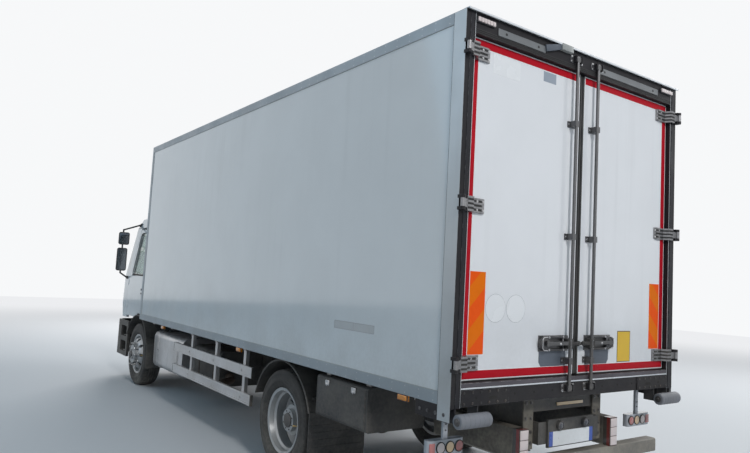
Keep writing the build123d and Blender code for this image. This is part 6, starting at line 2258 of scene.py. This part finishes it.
    def grille(self) -> None:
        """Make the dark mesh behind the slots and the bright line along each."""
        mesh, rims = forms(2)
        face = self.on_front(0.0, 1.165, 0.0)[1]
        reach = self.slot_half + 0.008
        mesh.box(about(0.0, self.slot_half + 0.030), (face + 0.050, face + 0.058), (1.072, 1.440))
        for low, high in self.slots:
            for x in spread(0.012 - self.slot_half, self.slot_half - 0.012, 49):
                mesh.box(about(x, 0.0025), (face + 0.030, face + 0.052), (low - 0.004, high + 0.004))
            middle = (low + high) / 2
            mesh.box(about(0.0, reach - 0.002), (face + 0.028, face + 0.034), about(middle, 0.003))
            for z in (low - 0.004, high + 0.004):
                rims.tube([self.on_front(x, z, 0.0) for x in spread(-reach, reach, 9)], 0.0035)
            for x in (-reach, reach):
                rims.tube([self.on_front(x, z, 0.0) for z in (low - 0.004, high + 0.004)], 0.0035)
        mesh.place("grille_mesh", Body.CAB, BLACK_PLASTIC)
        rims.place("grille_rims", Body.CAB, DARK_METAL)

    def head_lamps(self) -> None:
        """Make the back, reflectors, lenses, indicator and cover of each headlamp."""
        dark, bright, amber, clear, cover = forms(5)
        near, far = self.lamp_span
        low, high = self.lamp_z
        face = self.lamp_front
        middle = (low + high) / 2
        dark.box((near + 0.002, far - 0.002), (face - 0.0010, face + 0.001), (low + 0.002, high - 0.002))
        for place, radius in ((near + 0.078, 0.064), (near + 0.212, 0.056)):
            bright.revolve(((0.0, radius), (-0.0055, radius), (-0.0055, radius - 0.006),
                            (-0.002, radius - 0.008), (-0.0012, radius * 0.4), (-0.0045, radius * 0.30),
                            (-0.0060, 0.0)), (place, face, middle), 1, 36)
            bright.revolve(((-0.0055, radius), (-0.0085, radius - 0.001), (-0.0085, radius - 0.006),
                            (-0.0055, radius - 0.007)), (place, face, middle), 1, 36, closed=True)
            clear.ball((place, face - 0.0045, middle), radius * 0.62, (1.0, 0.07, 1.0), 24)
            dark.revolve(((-0.0010, radius * 0.80), (-0.0062, radius * 0.80), (-0.0062, radius * 0.70),
                          (-0.0010, radius * 0.70)), (place, face, middle), 1, 36, closed=True)
        for place in (near + 0.010, far - 0.050):
            bright.box((place, place + 0.004), (face - 0.005, face), (low + 0.008, high - 0.008), 0.001)
        amber.box((far - 0.044, far - 0.006), (face - 0.006, face), (low + 0.008, high - 0.008), 0.002)
        for z in spread(low + 0.020, high - 0.020, 8):
            amber.box((far - 0.042, far - 0.008), (face - 0.0075, face - 0.005), about(z, 0.006), 0.001)
        cover.box((near + 0.001, far - 0.001), (face - 0.0105, face - 0.0080), (low + 0.001, high - 0.001),
                  0.001)
        dark.place("lamp_backs", Body.CHASSIS, DARK_METAL, mirrored=True)
        bright.place("lamp_reflectors", Body.CHASSIS, REFLECTOR, mirrored=True)
        amber.place("front_indicators", Body.CHASSIS, LENS_AMBER, mirrored=True)
        clear.place("lamp_lenses", Body.CHASSIS, LENS_CLEAR, mirrored=True)
        cover.place("lamp_covers", Body.CHASSIS, GLASS, mirrored=True)

    def bumper(self) -> None:
        """Make the bumper's intake mesh and seams, and the treads of its steps."""
        mesh = Form()
        low, high = self.intake_z
        back = self.bumper_front + 0.034
        for x in spread(-self.intake_half, self.intake_half, 37):
            mesh.box(about(x, 0.003), (back - 0.006, back + 0.004), (low - 0.004, high + 0.004))
        for z in spread(low + 0.015, high - 0.015, 6):
            mesh.box((-self.intake_half - 0.004, self.intake_half + 0.004), (back - 0.008, back),
                     about(z, 0.004))
        mesh.box((-self.intake_half - 0.006, self.intake_half + 0.006), (back + 0.004, back + 0.010),
                 (low - 0.006, high + 0.006))
        mesh.place("intake_mesh", Body.CHASSIS, BLACK_PLASTIC)
        seams = Form()
        for side in (-1, 1):
            for x in self.seam_sides:
                seams.tube([from_front("front_bumper", side * x, z) for z in spread(0.372, 0.925, 8)], 0.0022)
        for z in self.seam_heights:
            seams.tube([from_front("front_bumper", x, z) for x in spread(-1.0, 1.0, 81)], 0.0022)
        seams.place("bumper_seams", Body.CHASSIS, HOLE_BLACK)
        treads = Form()
        for height in self.tread_heights:
            treads.box((1.000, 1.118), (-4.080, -3.780), (height, height + 0.004), 0.001)
            for row, y in enumerate(spread(-4.062, -3.798, 14)):
                for x in spread(1.012, 1.106, 5):
                    turn = 0.006 if (row + round(x * 42)) % 2 else -0.006
                    treads.prism([(x - 0.009, y - turn), (x, y + 0.003), (x + 0.009, y + turn),
                                  (x, y - 0.003)], 2, height + 0.003, height + 0.0062)
        treads.place("step_treads", Body.CHASSIS, STEP_ALLOY, mirrored=True)

    def mirrors(self) -> None:
        """Make the mirrors' glass and its frames."""
        glass, frames = forms(2)
        for x, back, z, half in self.mirror_heads:
            glass.box(about(x, half), (back - 0.001, back + 0.0025), z, 0.002)
            frames.tube([(x + a * (half + 0.004), back + 0.001, b)
                         for a, b in ((-1, z[0] - 0.004), (1, z[0] - 0.004), (1, z[1] + 0.004),
                                      (-1, z[1] + 0.004))], 0.0045, closed=True)
        glass.place("mirror_glass", Body.CAB, MIRROR_GLASS, mirrored=True)
        frames.place("mirror_frames", Body.CAB, BLACK_PLASTIC, mirrored=True)

    def roof(self) -> None:
        """Make the roof hatch and the pressed ribs of the roof."""
        hatch, gasket = forms(2)
        top = from_above("cab_roof", 0.0, -3.300)[2]
        gasket.box((-0.335, 0.335), (-3.560, -3.040), about(top, 0.010), 0.008, 2)
        hatch.box((-0.318, 0.318), (-3.545, -3.055), (top + 0.004, top + 0.030), 0.014, 3)
        for x in (-0.170, 0.0, 0.170):
            hatch.box(about(x, 0.022), (-3.490, -3.110), (top + 0.028, top + 0.035), 0.004, 2)
        hatch.place("roof_hatch", Body.CAB, WHITE_PAINT)
        gasket.place("roof_hatch_gasket", Body.CAB, RUBBER)
        ribs = Form()
        for x in self.rib_places:
            ribs.tube([from_above("cab_roof", x, y, -0.004) for y in spread(-3.700, -2.900, 7)], 0.010)
        ribs.place("roof_ribs", Body.CAB, WHITE_PAINT)

    def seams(self) -> None:
        """Make the cab's panel lines and the ribs of its rear wall."""
        lines = Form()
        for side in (-1, 1):
            lines.tube([from_side(("cab_pillars", "cab_roof"), side, y, self.roof_seam)
                        for y in spread(-3.880, -2.830, 12)], 0.0035)
        lines.tube([from_front("cab_front", x, self.nose_seam, -0.001) for x in spread(-1.060, 1.060, 31)],
                   0.0035)
        lines.place("cab_panel_lines", Body.CAB, HOLE_BLACK)
        ribs = Form()
        for x in spread(-0.780, 0.780, 7):
            back = meet(("cab_rear_wall",), (x, 0.0, 1.8), FORWARD)[1]
            ribs.box(about(x, 0.035), (back - 0.004, back + 0.008), (1.300, 2.380), 0.006, 2)
        ribs.place("cab_rear_ribs", Body.CAB, WHITE_PAINT)


@dataclass(frozen=True)
class SeatPads:
    """Padded cushions, backs and headrests of the two seats, on plastic bases."""

    middle: float = 0.655
    half: float = 0.212
    voxel: float = 0.008
    pressure: float = 4.0
    frames: int = 20
    channel_width: float = 0.007
    channel_depth: float = 0.007

    def build(self) -> None:
        """Make both seats, whose soft parts are simulated once and mirrored."""
        low, high = self.middle - self.half, self.middle + self.half
        edges = ((0, self.middle - 0.120), (0, self.middle + 0.120))
        pads = (
            ("seat_cushion",
             [(-3.468, 1.388), (-3.472, 1.462), (-3.250, 1.452), (-3.055, 1.448), (-3.035, 1.388)],
             (low, high), 0.026, 0.016, (*edges, (1, -3.330))),
            ("seat_back", [(-3.020, 1.490), (-2.945, 2.005), (-2.884, 2.005), (-2.928, 1.490)],
             (low, high), 0.024, 0.016, (*edges, (2, 1.680), (2, 1.860))),
            ("headrest", [(-2.934, 2.030), (-2.924, 2.160), (-2.870, 2.160), (-2.878, 2.030)],
             about(self.middle, 0.135), 0.020, 0.010, ((0, self.middle),)),
        )
        for name, outline, across, bevel, cap, channels in pads:
            source = self.inflate(name, outline, across, bevel, cap, channels)
            for hand, side in SIDES:
                form = Form()
                form.mesh.from_mesh(source)
                if side < 0:
                    bmesh.ops.scale(form.mesh, vec=(-1.0, 1.0, 1.0), verts=form.mesh.verts)
                piece = form.place(f"{name}_{hand}", Body.CAB, CLOTH, 60.0)
                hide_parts("seats")
            bpy.data.meshes.remove(source)
        self.frame()

    def inflate(self, name: str, outline: Sequence[Pair], across: Pair, bevel: float, cap: float,
                channels: Sequence[tuple[int, float]]) -> bpy.types.Mesh:
        """Blow up a closed pad as cloth, then press its sewn channels into it.

        Args:
            name: The pad's name.
            outline: Its section in Y and Z before it swells.
            across: Its two ends along X.
            bevel: Rounding of its edges.
            cap: How far a point may move.
            channels: Axis and place of each sewn channel.

        Returns:
            The pad's mesh.
        """
        form = Form()
        form.prism(outline, 0, *across, bevel, 3)
        bmesh.ops.recalc_face_normals(form.mesh, faces=form.mesh.faces)
        data = bpy.data.meshes.new(name)
        form.mesh.to_mesh(data)
        form.mesh.free()
        pad = bpy.data.objects.new(name + "_form", data)
        bpy.context.scene.collection.objects.link(pad)
        pad.modifiers.new("remesh", "REMESH").mode = "VOXEL"
        pad.modifiers["remesh"].voxel_size = self.voxel
        pad.data = self.baked(pad)
        pad.modifiers.clear()
        start = [vert.co.copy() for vert in pad.data.vertices]
        cloth = pad.modifiers.new("cloth", "CLOTH")
        cloth.settings.use_pressure = True
        cloth.settings.uniform_pressure_force = self.pressure
        cloth.settings.effector_weights.gravity = 0.0
        for frame in range(1, self.frames + 1):
            bpy.context.scene.frame_set(frame)
        swollen = self.baked(pad)
        pad.modifiers.clear()
        bpy.context.scene.frame_set(1)
        for vert, before, after in zip(pad.data.vertices, start, swollen.vertices):
            move = after.co - before
            vert.co = before + move * min(1.0, cap / max(move.length, 1e-9))
        pad.modifiers.new("finer", "SUBSURF").levels = 1
        smooth = self.baked(pad)
        outwards = [vert.normal.copy() for vert in smooth.vertices]
        for vert, normal in zip(smooth.vertices, outwards):
            depth = sum(math.exp(-((vert.co[axis] - place) / self.channel_width) ** 2)
                        for axis, place in channels)
            vert.co -= normal * self.channel_depth * min(depth, 1.0)
        bpy.data.objects.remove(pad)
        return smooth

    def baked(self, pad: bpy.types.Object) -> bpy.types.Mesh:
        """Give a pad's mesh with its modifiers applied.

        Args:
            pad: The pad.

        Returns:
            The new mesh.
        """
        bpy.context.view_layer.update()
        return bpy.data.meshes.new_from_object(pad.evaluated_get(bpy.context.evaluated_depsgraph_get()))

    def frame(self) -> None:
        """Make the seats' bases, shells, side covers, posts and belts."""
        base = Form()
        low, high = self.middle - self.half, self.middle + self.half
        base.box(about(self.middle, 0.165), (-3.420, -2.960), (1.160, 1.345), 0.012, 2)
        for height in spread(1.195, 1.315, 4):
            base.box(about(self.middle, 0.172), (-3.427, -2.953), about(height, 0.009), 0.006, 2)
        base.box((low + 0.006, high - 0.006), (-3.460, -2.990), (1.345, 1.386), 0.014, 2)
        base.prism([(-2.985, 1.345), (-2.925, 1.480), (-2.880, 2.010), (-2.858, 2.010), (-2.890, 1.560),
                    (-2.930, 1.345)], 0, low + 0.014, high - 0.014, 0.008, 2)
        for x in (low - 0.012, high - 0.016):
            base.box((x, x + 0.028), (-3.080, -2.920), (1.350, 1.470), 0.012, 2)
        base.place("seat_bases", Body.CAB, SEAT_SIDE, mirrored=True)
        bright = Form()
        for x in about(self.middle, 0.060):
            bright.rod((x, -2.900, 1.960), (x, -2.903, 2.060), 0.006, 12)
        bright.box((0.395, 0.420), (-3.030, -3.005), (1.380, 1.520), 0.004)
        bright.place("seat_posts", Body.CAB, BRIGHT_STEEL, mirrored=True)
        belt = Form()
        belt.prism([(0.985, 2.250), (1.030, 2.250), (0.945, 1.250), (0.900, 1.250)], 1, -2.8280, -2.8256)
        belt.place("seat_belts", Body.CAB, WEBBING, mirrored=True)


@dataclass(frozen=True)
class CabInside:
    """Dashboard details, lever, pedals, door cards, visors, lining and mats."""

    wheel_place: float = 0.600
    rear: float = -3.985
    vents: tuple[float, ...] = (-0.900, -0.300, 0.290, 0.930)
    dials: tuple[Pair, ...] = ((0.520, 0.046), (0.680, 0.046), (0.600, 0.024))
    dial_height: float = 1.575
    dial_sweep: Pair = (math.radians(-45.0), math.radians(225.0))
    dial_marks: int = 13
    # Place across, half width and height of each pedal
    pedals: tuple[Point, ...] = ((0.445, 0.045, 1.260), (0.600, 0.045, 1.260), (0.745, 0.030, 1.235))

    def build(self) -> None:
        """Make what shows through the cab's glass and open doors."""
        self.instruments()
        self.controls()
        self.lining()
        self.door_cards()

    def instruments(self) -> None:
        """Make the dashboard's panels, dials, vents and lid, and the steering wheel's hub and stalks."""
        dark, marks = forms(2)
        rear = self.rear
        dark.box((0.400, 0.800), (rear - 0.004, rear + 0.008), (1.515, 1.635), 0.006, 2)
        dark.box((-0.170, 0.190), (rear - 0.004, rear + 0.010), (1.512, 1.632), 0.005, 2)
        for x in self.vents:
            dark.box(about(x, 0.070), (rear - 0.002, rear + 0.006), (1.585, 1.635), 0.004)
            for z in spread(1.592, 1.628, 5):
                dark.box(about(x, 0.064), (rear + 0.004, rear + 0.012), about(z, 0.0025))
        for x, radius in self.dials:
            for turn in spread(*self.dial_sweep, self.dial_marks):
                near, far = radius * 0.80, radius * 0.94
                marks.rod((x + near * math.cos(turn), rear + 0.0090,
                           self.dial_height + near * math.sin(turn)),
                          (x + far * math.cos(turn), rear + 0.0090, self.dial_height + far * math.sin(turn)),
                          0.0013, 6)
            marks.rod((x, rear + 0.0095, self.dial_height),
                      (x - radius * 0.55, rear + 0.0095, self.dial_height + radius * 0.4), 0.0012, 6)
            marks.rod((x, rear + 0.007, self.dial_height), (x, rear + 0.012, self.dial_height), 0.004, 12)
        for x in (-0.110, -0.050, 0.010):
            dark.rod((x, rear + 0.008, 1.548), (x, rear + 0.026, 1.548), 0.014, 20, 0.002)
        for x in (0.060, 0.095, 0.130, 0.165):
            dark.box(about(x, 0.014), (rear + 0.008, rear + 0.015), (1.533, 1.560), 0.003)
        dark.box((-0.150, 0.040), (rear + 0.009, rear + 0.013), (1.580, 1.622), 0.003)
        dark.tube([(x, rear + 0.001, z)
                   for x, z in rounded(((-0.820, 1.515), (-0.400, 1.515), (-0.400, 1.575), (-0.820, 1.575)),
                                       0.015, 0.2)], 0.0025, closed=True)
        dark.place("instrument_panel", Body.CAB, CABIN_PLASTIC)
        marks.place("dial_marks", Body.CAB, DIAL_WHITE)
        hub = Form()
        hub.ball((self.wheel_place, -3.822, 1.800), 0.052, (1.0, 0.8, 0.6), 20)
        hub.tube([(self.wheel_place + 0.060, -3.880, 1.735), (self.wheel_place + 0.185, -3.895, 1.752)],
                 0.008)
        hub.tube([(self.wheel_place - 0.060, -3.880, 1.735), (self.wheel_place - 0.185, -3.895, 1.752)],
                 0.008)
        hub.place("wheel_hub_and_stalks", Body.CAB, CABIN_PLASTIC)

    def controls(self) -> None:
        """Make the gear lever, the brake valve, the console, the pedals and the mats."""
        lever = Form()
        lever.revolve(((-0.002, 0.075), (0.020, 0.068), (0.028, 0.052), (0.044, 0.048), (0.052, 0.034),
                       (0.070, 0.030), (0.078, 0.016), (0.080, 0.0)), (0.180, -3.420, 1.450), 2, 28)
        lever.tube([(0.180, -3.420, 1.520), (0.178, -3.400, 1.640), (0.172, -3.380, 1.720)], 0.008,
                   smooth=True)
        lever.ball((0.172, -3.378, 1.735), 0.026, (0.9, 0.9, 1.2), 16)
        lever.box((-0.120, 0.060), (-3.420, -3.020), (1.450, 1.515), 0.014, 2)
        lever.box((0.090, 0.150), (-3.200, -3.080), (1.450, 1.485), 0.008, 2)
        lever.rod((0.120, -3.160, 1.480), (0.120, -3.185, 1.545), 0.009, 14, 0.002)
        for x, width, height in self.pedals:
            lever.prism([(-4.010, height - 0.050), (-4.000, height - 0.052), (-4.045, height + 0.050),
                         (-4.055, height + 0.046)], 0, x - width, x + width, 0.003)
            lever.rod((x, -4.030, height), (x, -4.120, height + 0.110), 0.009, 10)
        lever.place("cab_controls", Body.CAB, CABIN_PLASTIC)
        mats = Form()
        mats.box((0.435, 1.030), (-3.960, -3.450), (1.158, 1.168), 0.003)
        for y in spread(-3.940, -3.470, 20):
            mats.box((0.450, 1.015), about(y, 0.006), (1.166, 1.172), 0.002)
        mats.place("floor_mats", Body.CAB, RUBBER, mirrored=True)

    def lining(self) -> None:
        """Make the lining of roof and rear wall, and the visors with their pins."""
        pale = Form()
        pale.box((-0.860, 0.860), (-3.780, -2.900), (2.650, 2.664), 0.006)
        pale.box((-0.930, 0.930), (-2.8250, -2.8050), (1.480, 2.440), 0.008, 2)
        for side in (-1, 1):
            ends = sorted((side * 0.120, side * 0.760))
            pale.prism([(-4.060, 2.492), (-4.044, 2.494), (-4.018, 2.352), (-4.032, 2.350)], 0, *ends, 0.005,
                       2)
            pale.rod((side * 0.160, -4.050, 2.480), (side * 0.160, -4.092, 2.540), 0.007, 10)
            pale.rod((side * 0.720, -4.050, 2.480), (side * 0.720, -4.092, 2.540), 0.007, 10)
        pale.place("cab_lining", Body.CAB, CABIN_PALE)

    def door_cards(self) -> None:
        """Make the inner panel of each cab door, with its armrest, pull and speaker."""
        for name, side, body in DOORS:
            card = Form()
            card.box((side * 1.082, side * 1.108), (-3.880, -3.020), (1.230, 1.700), 0.012, 2)
            card.box((side * 1.030, side * 1.084), (-3.560, -3.080), (1.505, 1.550), 0.014, 3)
            card.box((side * 1.060, side * 1.084), (-3.720, -3.120), (1.265, 1.340), 0.010, 2)
            card.place(f"door_card_{name}", body, CABIN_PALE)
            dark = Form()
            dark.rod((side * 1.084, -3.780, 1.400), (side * 1.077, -3.780, 1.400), 0.070, 32, 0.002)
            dark.tube([(side * x, y, 1.620) for x, y in ((1.084, -3.700), (1.052, -3.690), (1.052, -3.580),
                                                         (1.084, -3.570))], 0.008, smooth=True)
            dark.place(f"door_pull_{name}", body, CABIN_PLASTIC)


@dataclass(frozen=True)
class FridgeUnit:
    """Core, rim, panel lines, latches and bolts of the fridge unit on the nose."""

    opening_half: float = 0.850
    opening_z: Pair = (3.025, 3.500)
    face: float = -3.064
    depth: float = 0.060
    half: float = 0.960
    z: Pair = (2.955, 3.620)
    rear: float = -2.614
    fin_count: int = 90
    seam_side: float = 0.905

    def build(self) -> None:
        """Make the fridge unit's small parts."""
        low, high = self.opening_z
        core = Form()
        back = self.face + self.depth
        for x in spread(-self.opening_half + 0.012, self.opening_half - 0.012, self.fin_count):
            core.box(about(x, 0.0016), (back - 0.008, back - 0.0002), (low + 0.004, high - 0.004))
        for z in spread(low + 0.030, high - 0.030, 9):
            core.rod((-self.opening_half + 0.004, back - 0.006, z),
                     (self.opening_half - 0.004, back - 0.006, z), 0.0045, 8)
        core.place("condenser_core", Body.CHASSIS, DARK_METAL)
        rim = Form()
        corners = ((-self.opening_half, low), (self.opening_half, low), (self.opening_half, high),
                   (-self.opening_half, high))
        rim.tube([(x, self.face, z) for x, z in rounded(corners, 0.034, 0.3)], 0.006, closed=True)
        rim.place("grille_rim", Body.CHASSIS, BLACK_PLASTIC)
        lines, latches = forms(2)
        panel = ((self.face + 0.060, self.z[0] + 0.050), (self.rear - 0.040, self.z[0] + 0.050),
                 (self.rear - 0.040, self.z[1] - 0.060), (self.face + 0.090, self.z[1] - 0.060))
        lines.tube([(self.half, y, z) for y, z in rounded(panel, 0.030, 0.3)], 0.0028, closed=True)
        for height in (self.z[0] + 0.140, self.z[1] - 0.150):
            latches.box((self.half - 0.001, self.half + 0.012), (self.face + 0.085, self.face + 0.125),
                        about(height, 0.028), 0.004, 2)
            latches.rod((self.half + 0.011, self.face + 0.105, height),
                        (self.half + 0.015, self.face + 0.105, height), 0.010, 16, 0.001)
        lines.mirror()
        latches.mirror()
        for x in (-self.seam_side, self.seam_side):
            lines.tube([(x, self.face + 0.0005, z) for z in spread(self.z[0] + 0.060, self.z[1] - 0.070, 4)],
                       0.0024)
        for z in (self.z[0] + 0.035, self.z[1] - 0.052):
            lines.tube([(x, self.face + 0.0005, z) for x in spread(-0.880, 0.880, 6)], 0.0024)
        heads = [(x, self.face, z) for x in spread(-0.800, 0.800, 6) for z in (low - 0.016, high + 0.018)]
        latches.bolts(heads, FORWARD, 0.008, 0.005)
        lines.place("fridge_panel_lines", Body.CHASSIS, HOLE_BLACK)
        latches.place("fridge_latches", Body.CHASSIS, BRIGHT_STEEL)


FINISH_OF_SLOT = {finish.slot: finish
                  for finish in (WHITE_PANEL, WHITE_PAINT, GREY_FRAME, CHASSIS_PAINT, ALUMINIUM, GALVANISED,
                                 BLACK_PLASTIC, BUFFER, LENS, GLASS, CLOTH, TYRE, WHEEL_STEEL)}
FINISH_OF_NODE = {
    "rear_door_left": WHITE_DOOR, "rear_door_right": WHITE_DOOR,
    "door_fittings_left": DOOR_FITTING, "door_fittings_right": DOOR_FITTING,
    "dashboard": CABIN_PLASTIC, "front_axle": RUSTY_IRON, "rear_axle": RUSTY_IRON, "leaf_springs": RUSTY_IRON,
    "knuckle_left": RUSTY_IRON, "knuckle_right": RUSTY_IRON, "propeller_shaft": RUSTY_IRON,
    # The body rails' blue-grey is a painted sky reflection.
    "underrun_bar": UNDERRUN, "body_rails": BODY_RAIL_WITH_PAINTED_SKY,
}


def dress_nodes(frame: dict) -> None:
    """Give every CAD node the finish of its material slot.
    """
    slots = {part["node"]: Slot(part["material_slot"]) for part in frame["record"]["subparts"]}
    for name, node in frame["nodes"].items():
        finish = FINISH_OF_NODE.get(name, FINISH_OF_SLOT[slots[name]])
        node.data.materials.clear()
        node.data.materials.append(finish.material())


@dataclass(frozen=True)
class PhotoCamera:
    """Camera at the photograph's place, found from the body's corners."""

    place: Point = (4.155, 7.421, 1.850)
    yaw: float = math.radians(-35.50)
    pitch: float = math.radians(4.74)
    roll: float = math.radians(3.10)
    focal_pixels: float = 639.7
    frame_width: float = 750.0
    sensor: float = 36.0
    clip: Pair = (0.05, 200.0)

    def build(self) -> bpy.types.Object:
        """Make the camera and set it as the scene's own.

        Returns:
            The camera object.
        """
        data = bpy.data.cameras.new("photo_camera")
        data.sensor_width = self.sensor
        data.lens = self.sensor * self.focal_pixels / self.frame_width
        data.clip_start, data.clip_end = self.clip
        forward = Vector((math.sin(self.yaw) * math.cos(self.pitch),
                          -math.cos(self.yaw) * math.cos(self.pitch), math.sin(self.pitch)))
        level = forward.cross(Vector(UPWARD)).normalized()
        upright = level.cross(forward)
        right = level * math.cos(self.roll) + upright * math.sin(self.roll)
        up = upright * math.cos(self.roll) - level * math.sin(self.roll)
        camera = bpy.data.objects.new("photo_camera", data)
        rotation = Matrix((right, up, -forward)).transposed().to_4x4()
        camera.matrix_world = Matrix.Translation(self.place) @ rotation
        bpy.context.scene.collection.objects.link(camera)
        bpy.context.scene.camera = camera
        return camera


@dataclass(frozen=True)
class Studio:
    """Pale floor, white surroundings and soft lamps."""

    floor_size: float = 60.0
    floor_colour: Colour = (0.72, 0.72, 0.73)
    fade: Pair = (6.0, 24.0)
    horizon: Colour = (0.84, 0.85, 0.87)
    world_strength: float = 0.26
    world_colour: Colour = (0.62, 0.84, 1.0)
    backdrop: Colour = (0.93, 0.94, 0.95)

    def build(self) -> None:
        """Make the floor, the world and the lamps."""
        self.floor()
        self.world()
        self.lamp("rear_key", (3.6, 16.5, 11.0), (0.0, 3.6, 2.0), 2.4, 1120.0)
        self.lamp("left_fill", (13.0, -5.0, 8.0), (0.0, 0.0, 1.6), 7.0, 130.0, (0.36, 0.70, 1.0))
        self.lamp("right_fill", (-13.0, 3.0, 8.0), (0.0, 0.0, 1.6), 7.0, 700.0)
        self.lamp("front_fill", (-5.0, -14.0, 7.0), (0.0, -3.0, 1.5), 6.0, 900.0)

    def floor(self) -> None:
        """Make the plain floor, pale towards the horizon and clear from below."""
        shape = bmesh.new()
        bmesh.ops.create_grid(shape, x_segments=1, y_segments=1, size=self.floor_size / 2)
        data = bpy.data.meshes.new("studio_floor")
        shape.to_mesh(data)
        shape.free()
        material = bpy.data.materials.new("studio_floor")
        material.use_nodes = True
        material.node_tree.nodes.clear()
        graph = Graph(material.node_tree)
        place = graph.add("NewGeometry")
        reach = graph.add("VectorMath", {0: place.outputs["Position"]}, operation="LENGTH").outputs["Value"]
        surface = graph.add("BsdfPrincipled", {"Base Color": (*self.floor_colour, 1.0), "Roughness": 0.8})
        pale = graph.add("Emission", {"Color": (*self.horizon, 1.0), "Strength": 1.0})
        camera = graph.add("LightPath").outputs["Is Camera Ray"]
        far = graph.math("MULTIPLY", graph.ramp(reach, *self.fade), camera)
        seen = graph.add("MixShader", {0: far, 1: surface.outputs[0], 2: pale.outputs[0]})
        clear = graph.add("BsdfTransparent")
        both = graph.add("MixShader", {0: place.outputs["Backfacing"], 1: seen.outputs[0],
                                       2: clear.outputs[0]})
        graph.add("OutputMaterial", {"Surface": both.outputs[0]})
        data.materials.append(material)
        floor = bpy.data.objects.new("studio_floor", data)
        bpy.context.scene.collection.objects.link(floor)

    def world(self) -> None:
        """Make the surroundings: white to the camera, softer as light."""
        world = bpy.data.worlds.new("studio")
        bpy.context.scene.world = world
        world.use_nodes = True
        world.node_tree.nodes.clear()
        graph = Graph(world.node_tree)
        rays = graph.add("LightPath")
        seen = graph.math("MAXIMUM", rays.outputs["Is Camera Ray"], rays.outputs["Is Glossy Ray"])
        seen = graph.math("MAXIMUM", seen, rays.outputs["Is Transmission Ray"])
        light = graph.add("Background", {"Color": (*self.world_colour, 1.0), "Strength": self.world_strength})
        backdrop = graph.add("Background", {"Color": (*self.backdrop, 1.0), "Strength": 1.0})
        both = graph.add("MixShader", {0: seen, 1: light.outputs[0], 2: backdrop.outputs[0]})
        graph.add("OutputWorld", {"Surface": both.outputs[0]})

    def lamp(self, name: str, place: Point, aim: Point, size: float, power: float,
             colour: Colour = (1.0, 1.0, 1.0)) -> None:
        """Make one soft lamp.

        Args:
            name: The lamp's name.
            place: Where it stands.
            aim: What it faces.
            size: Width of its square in metres.
            power: Its power in watts.
            colour: Its colour.
        """
        data = bpy.data.lights.new(name, "AREA")
        data.size = size
        data.energy = power
        data.color = colour
        lamp = bpy.data.objects.new(name, data)
        turn = (Vector(aim) - Vector(place)).to_track_quat("-Z", "Y").to_matrix().to_4x4()
        lamp.matrix_world = Matrix.Translation(place) @ turn
        bpy.context.scene.collection.objects.link(lamp)


ASSEMBLIES = (RearDoors, RearFrame, TailGear, BodySides, LoadSpace, WheelSet, Chassis, CabOutside, SeatPads,
              CabInside, FridgeUnit)


def main() -> None:
    """Build the looks of the truck round its frame."""
    logging.basicConfig(level=logging.INFO, format="%(name)s: %(message)s")
    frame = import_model()
    bpy.context.scene.view_settings.view_transform = "Standard"
    PhotoCamera().build()
    Studio().build()
    dress_nodes(frame)
    LOG.info("dressed %d nodes", len(frame["nodes"]))
    for assembly in ASSEMBLIES:
        assembly().build()


if __name__ == "__main__":
    main()
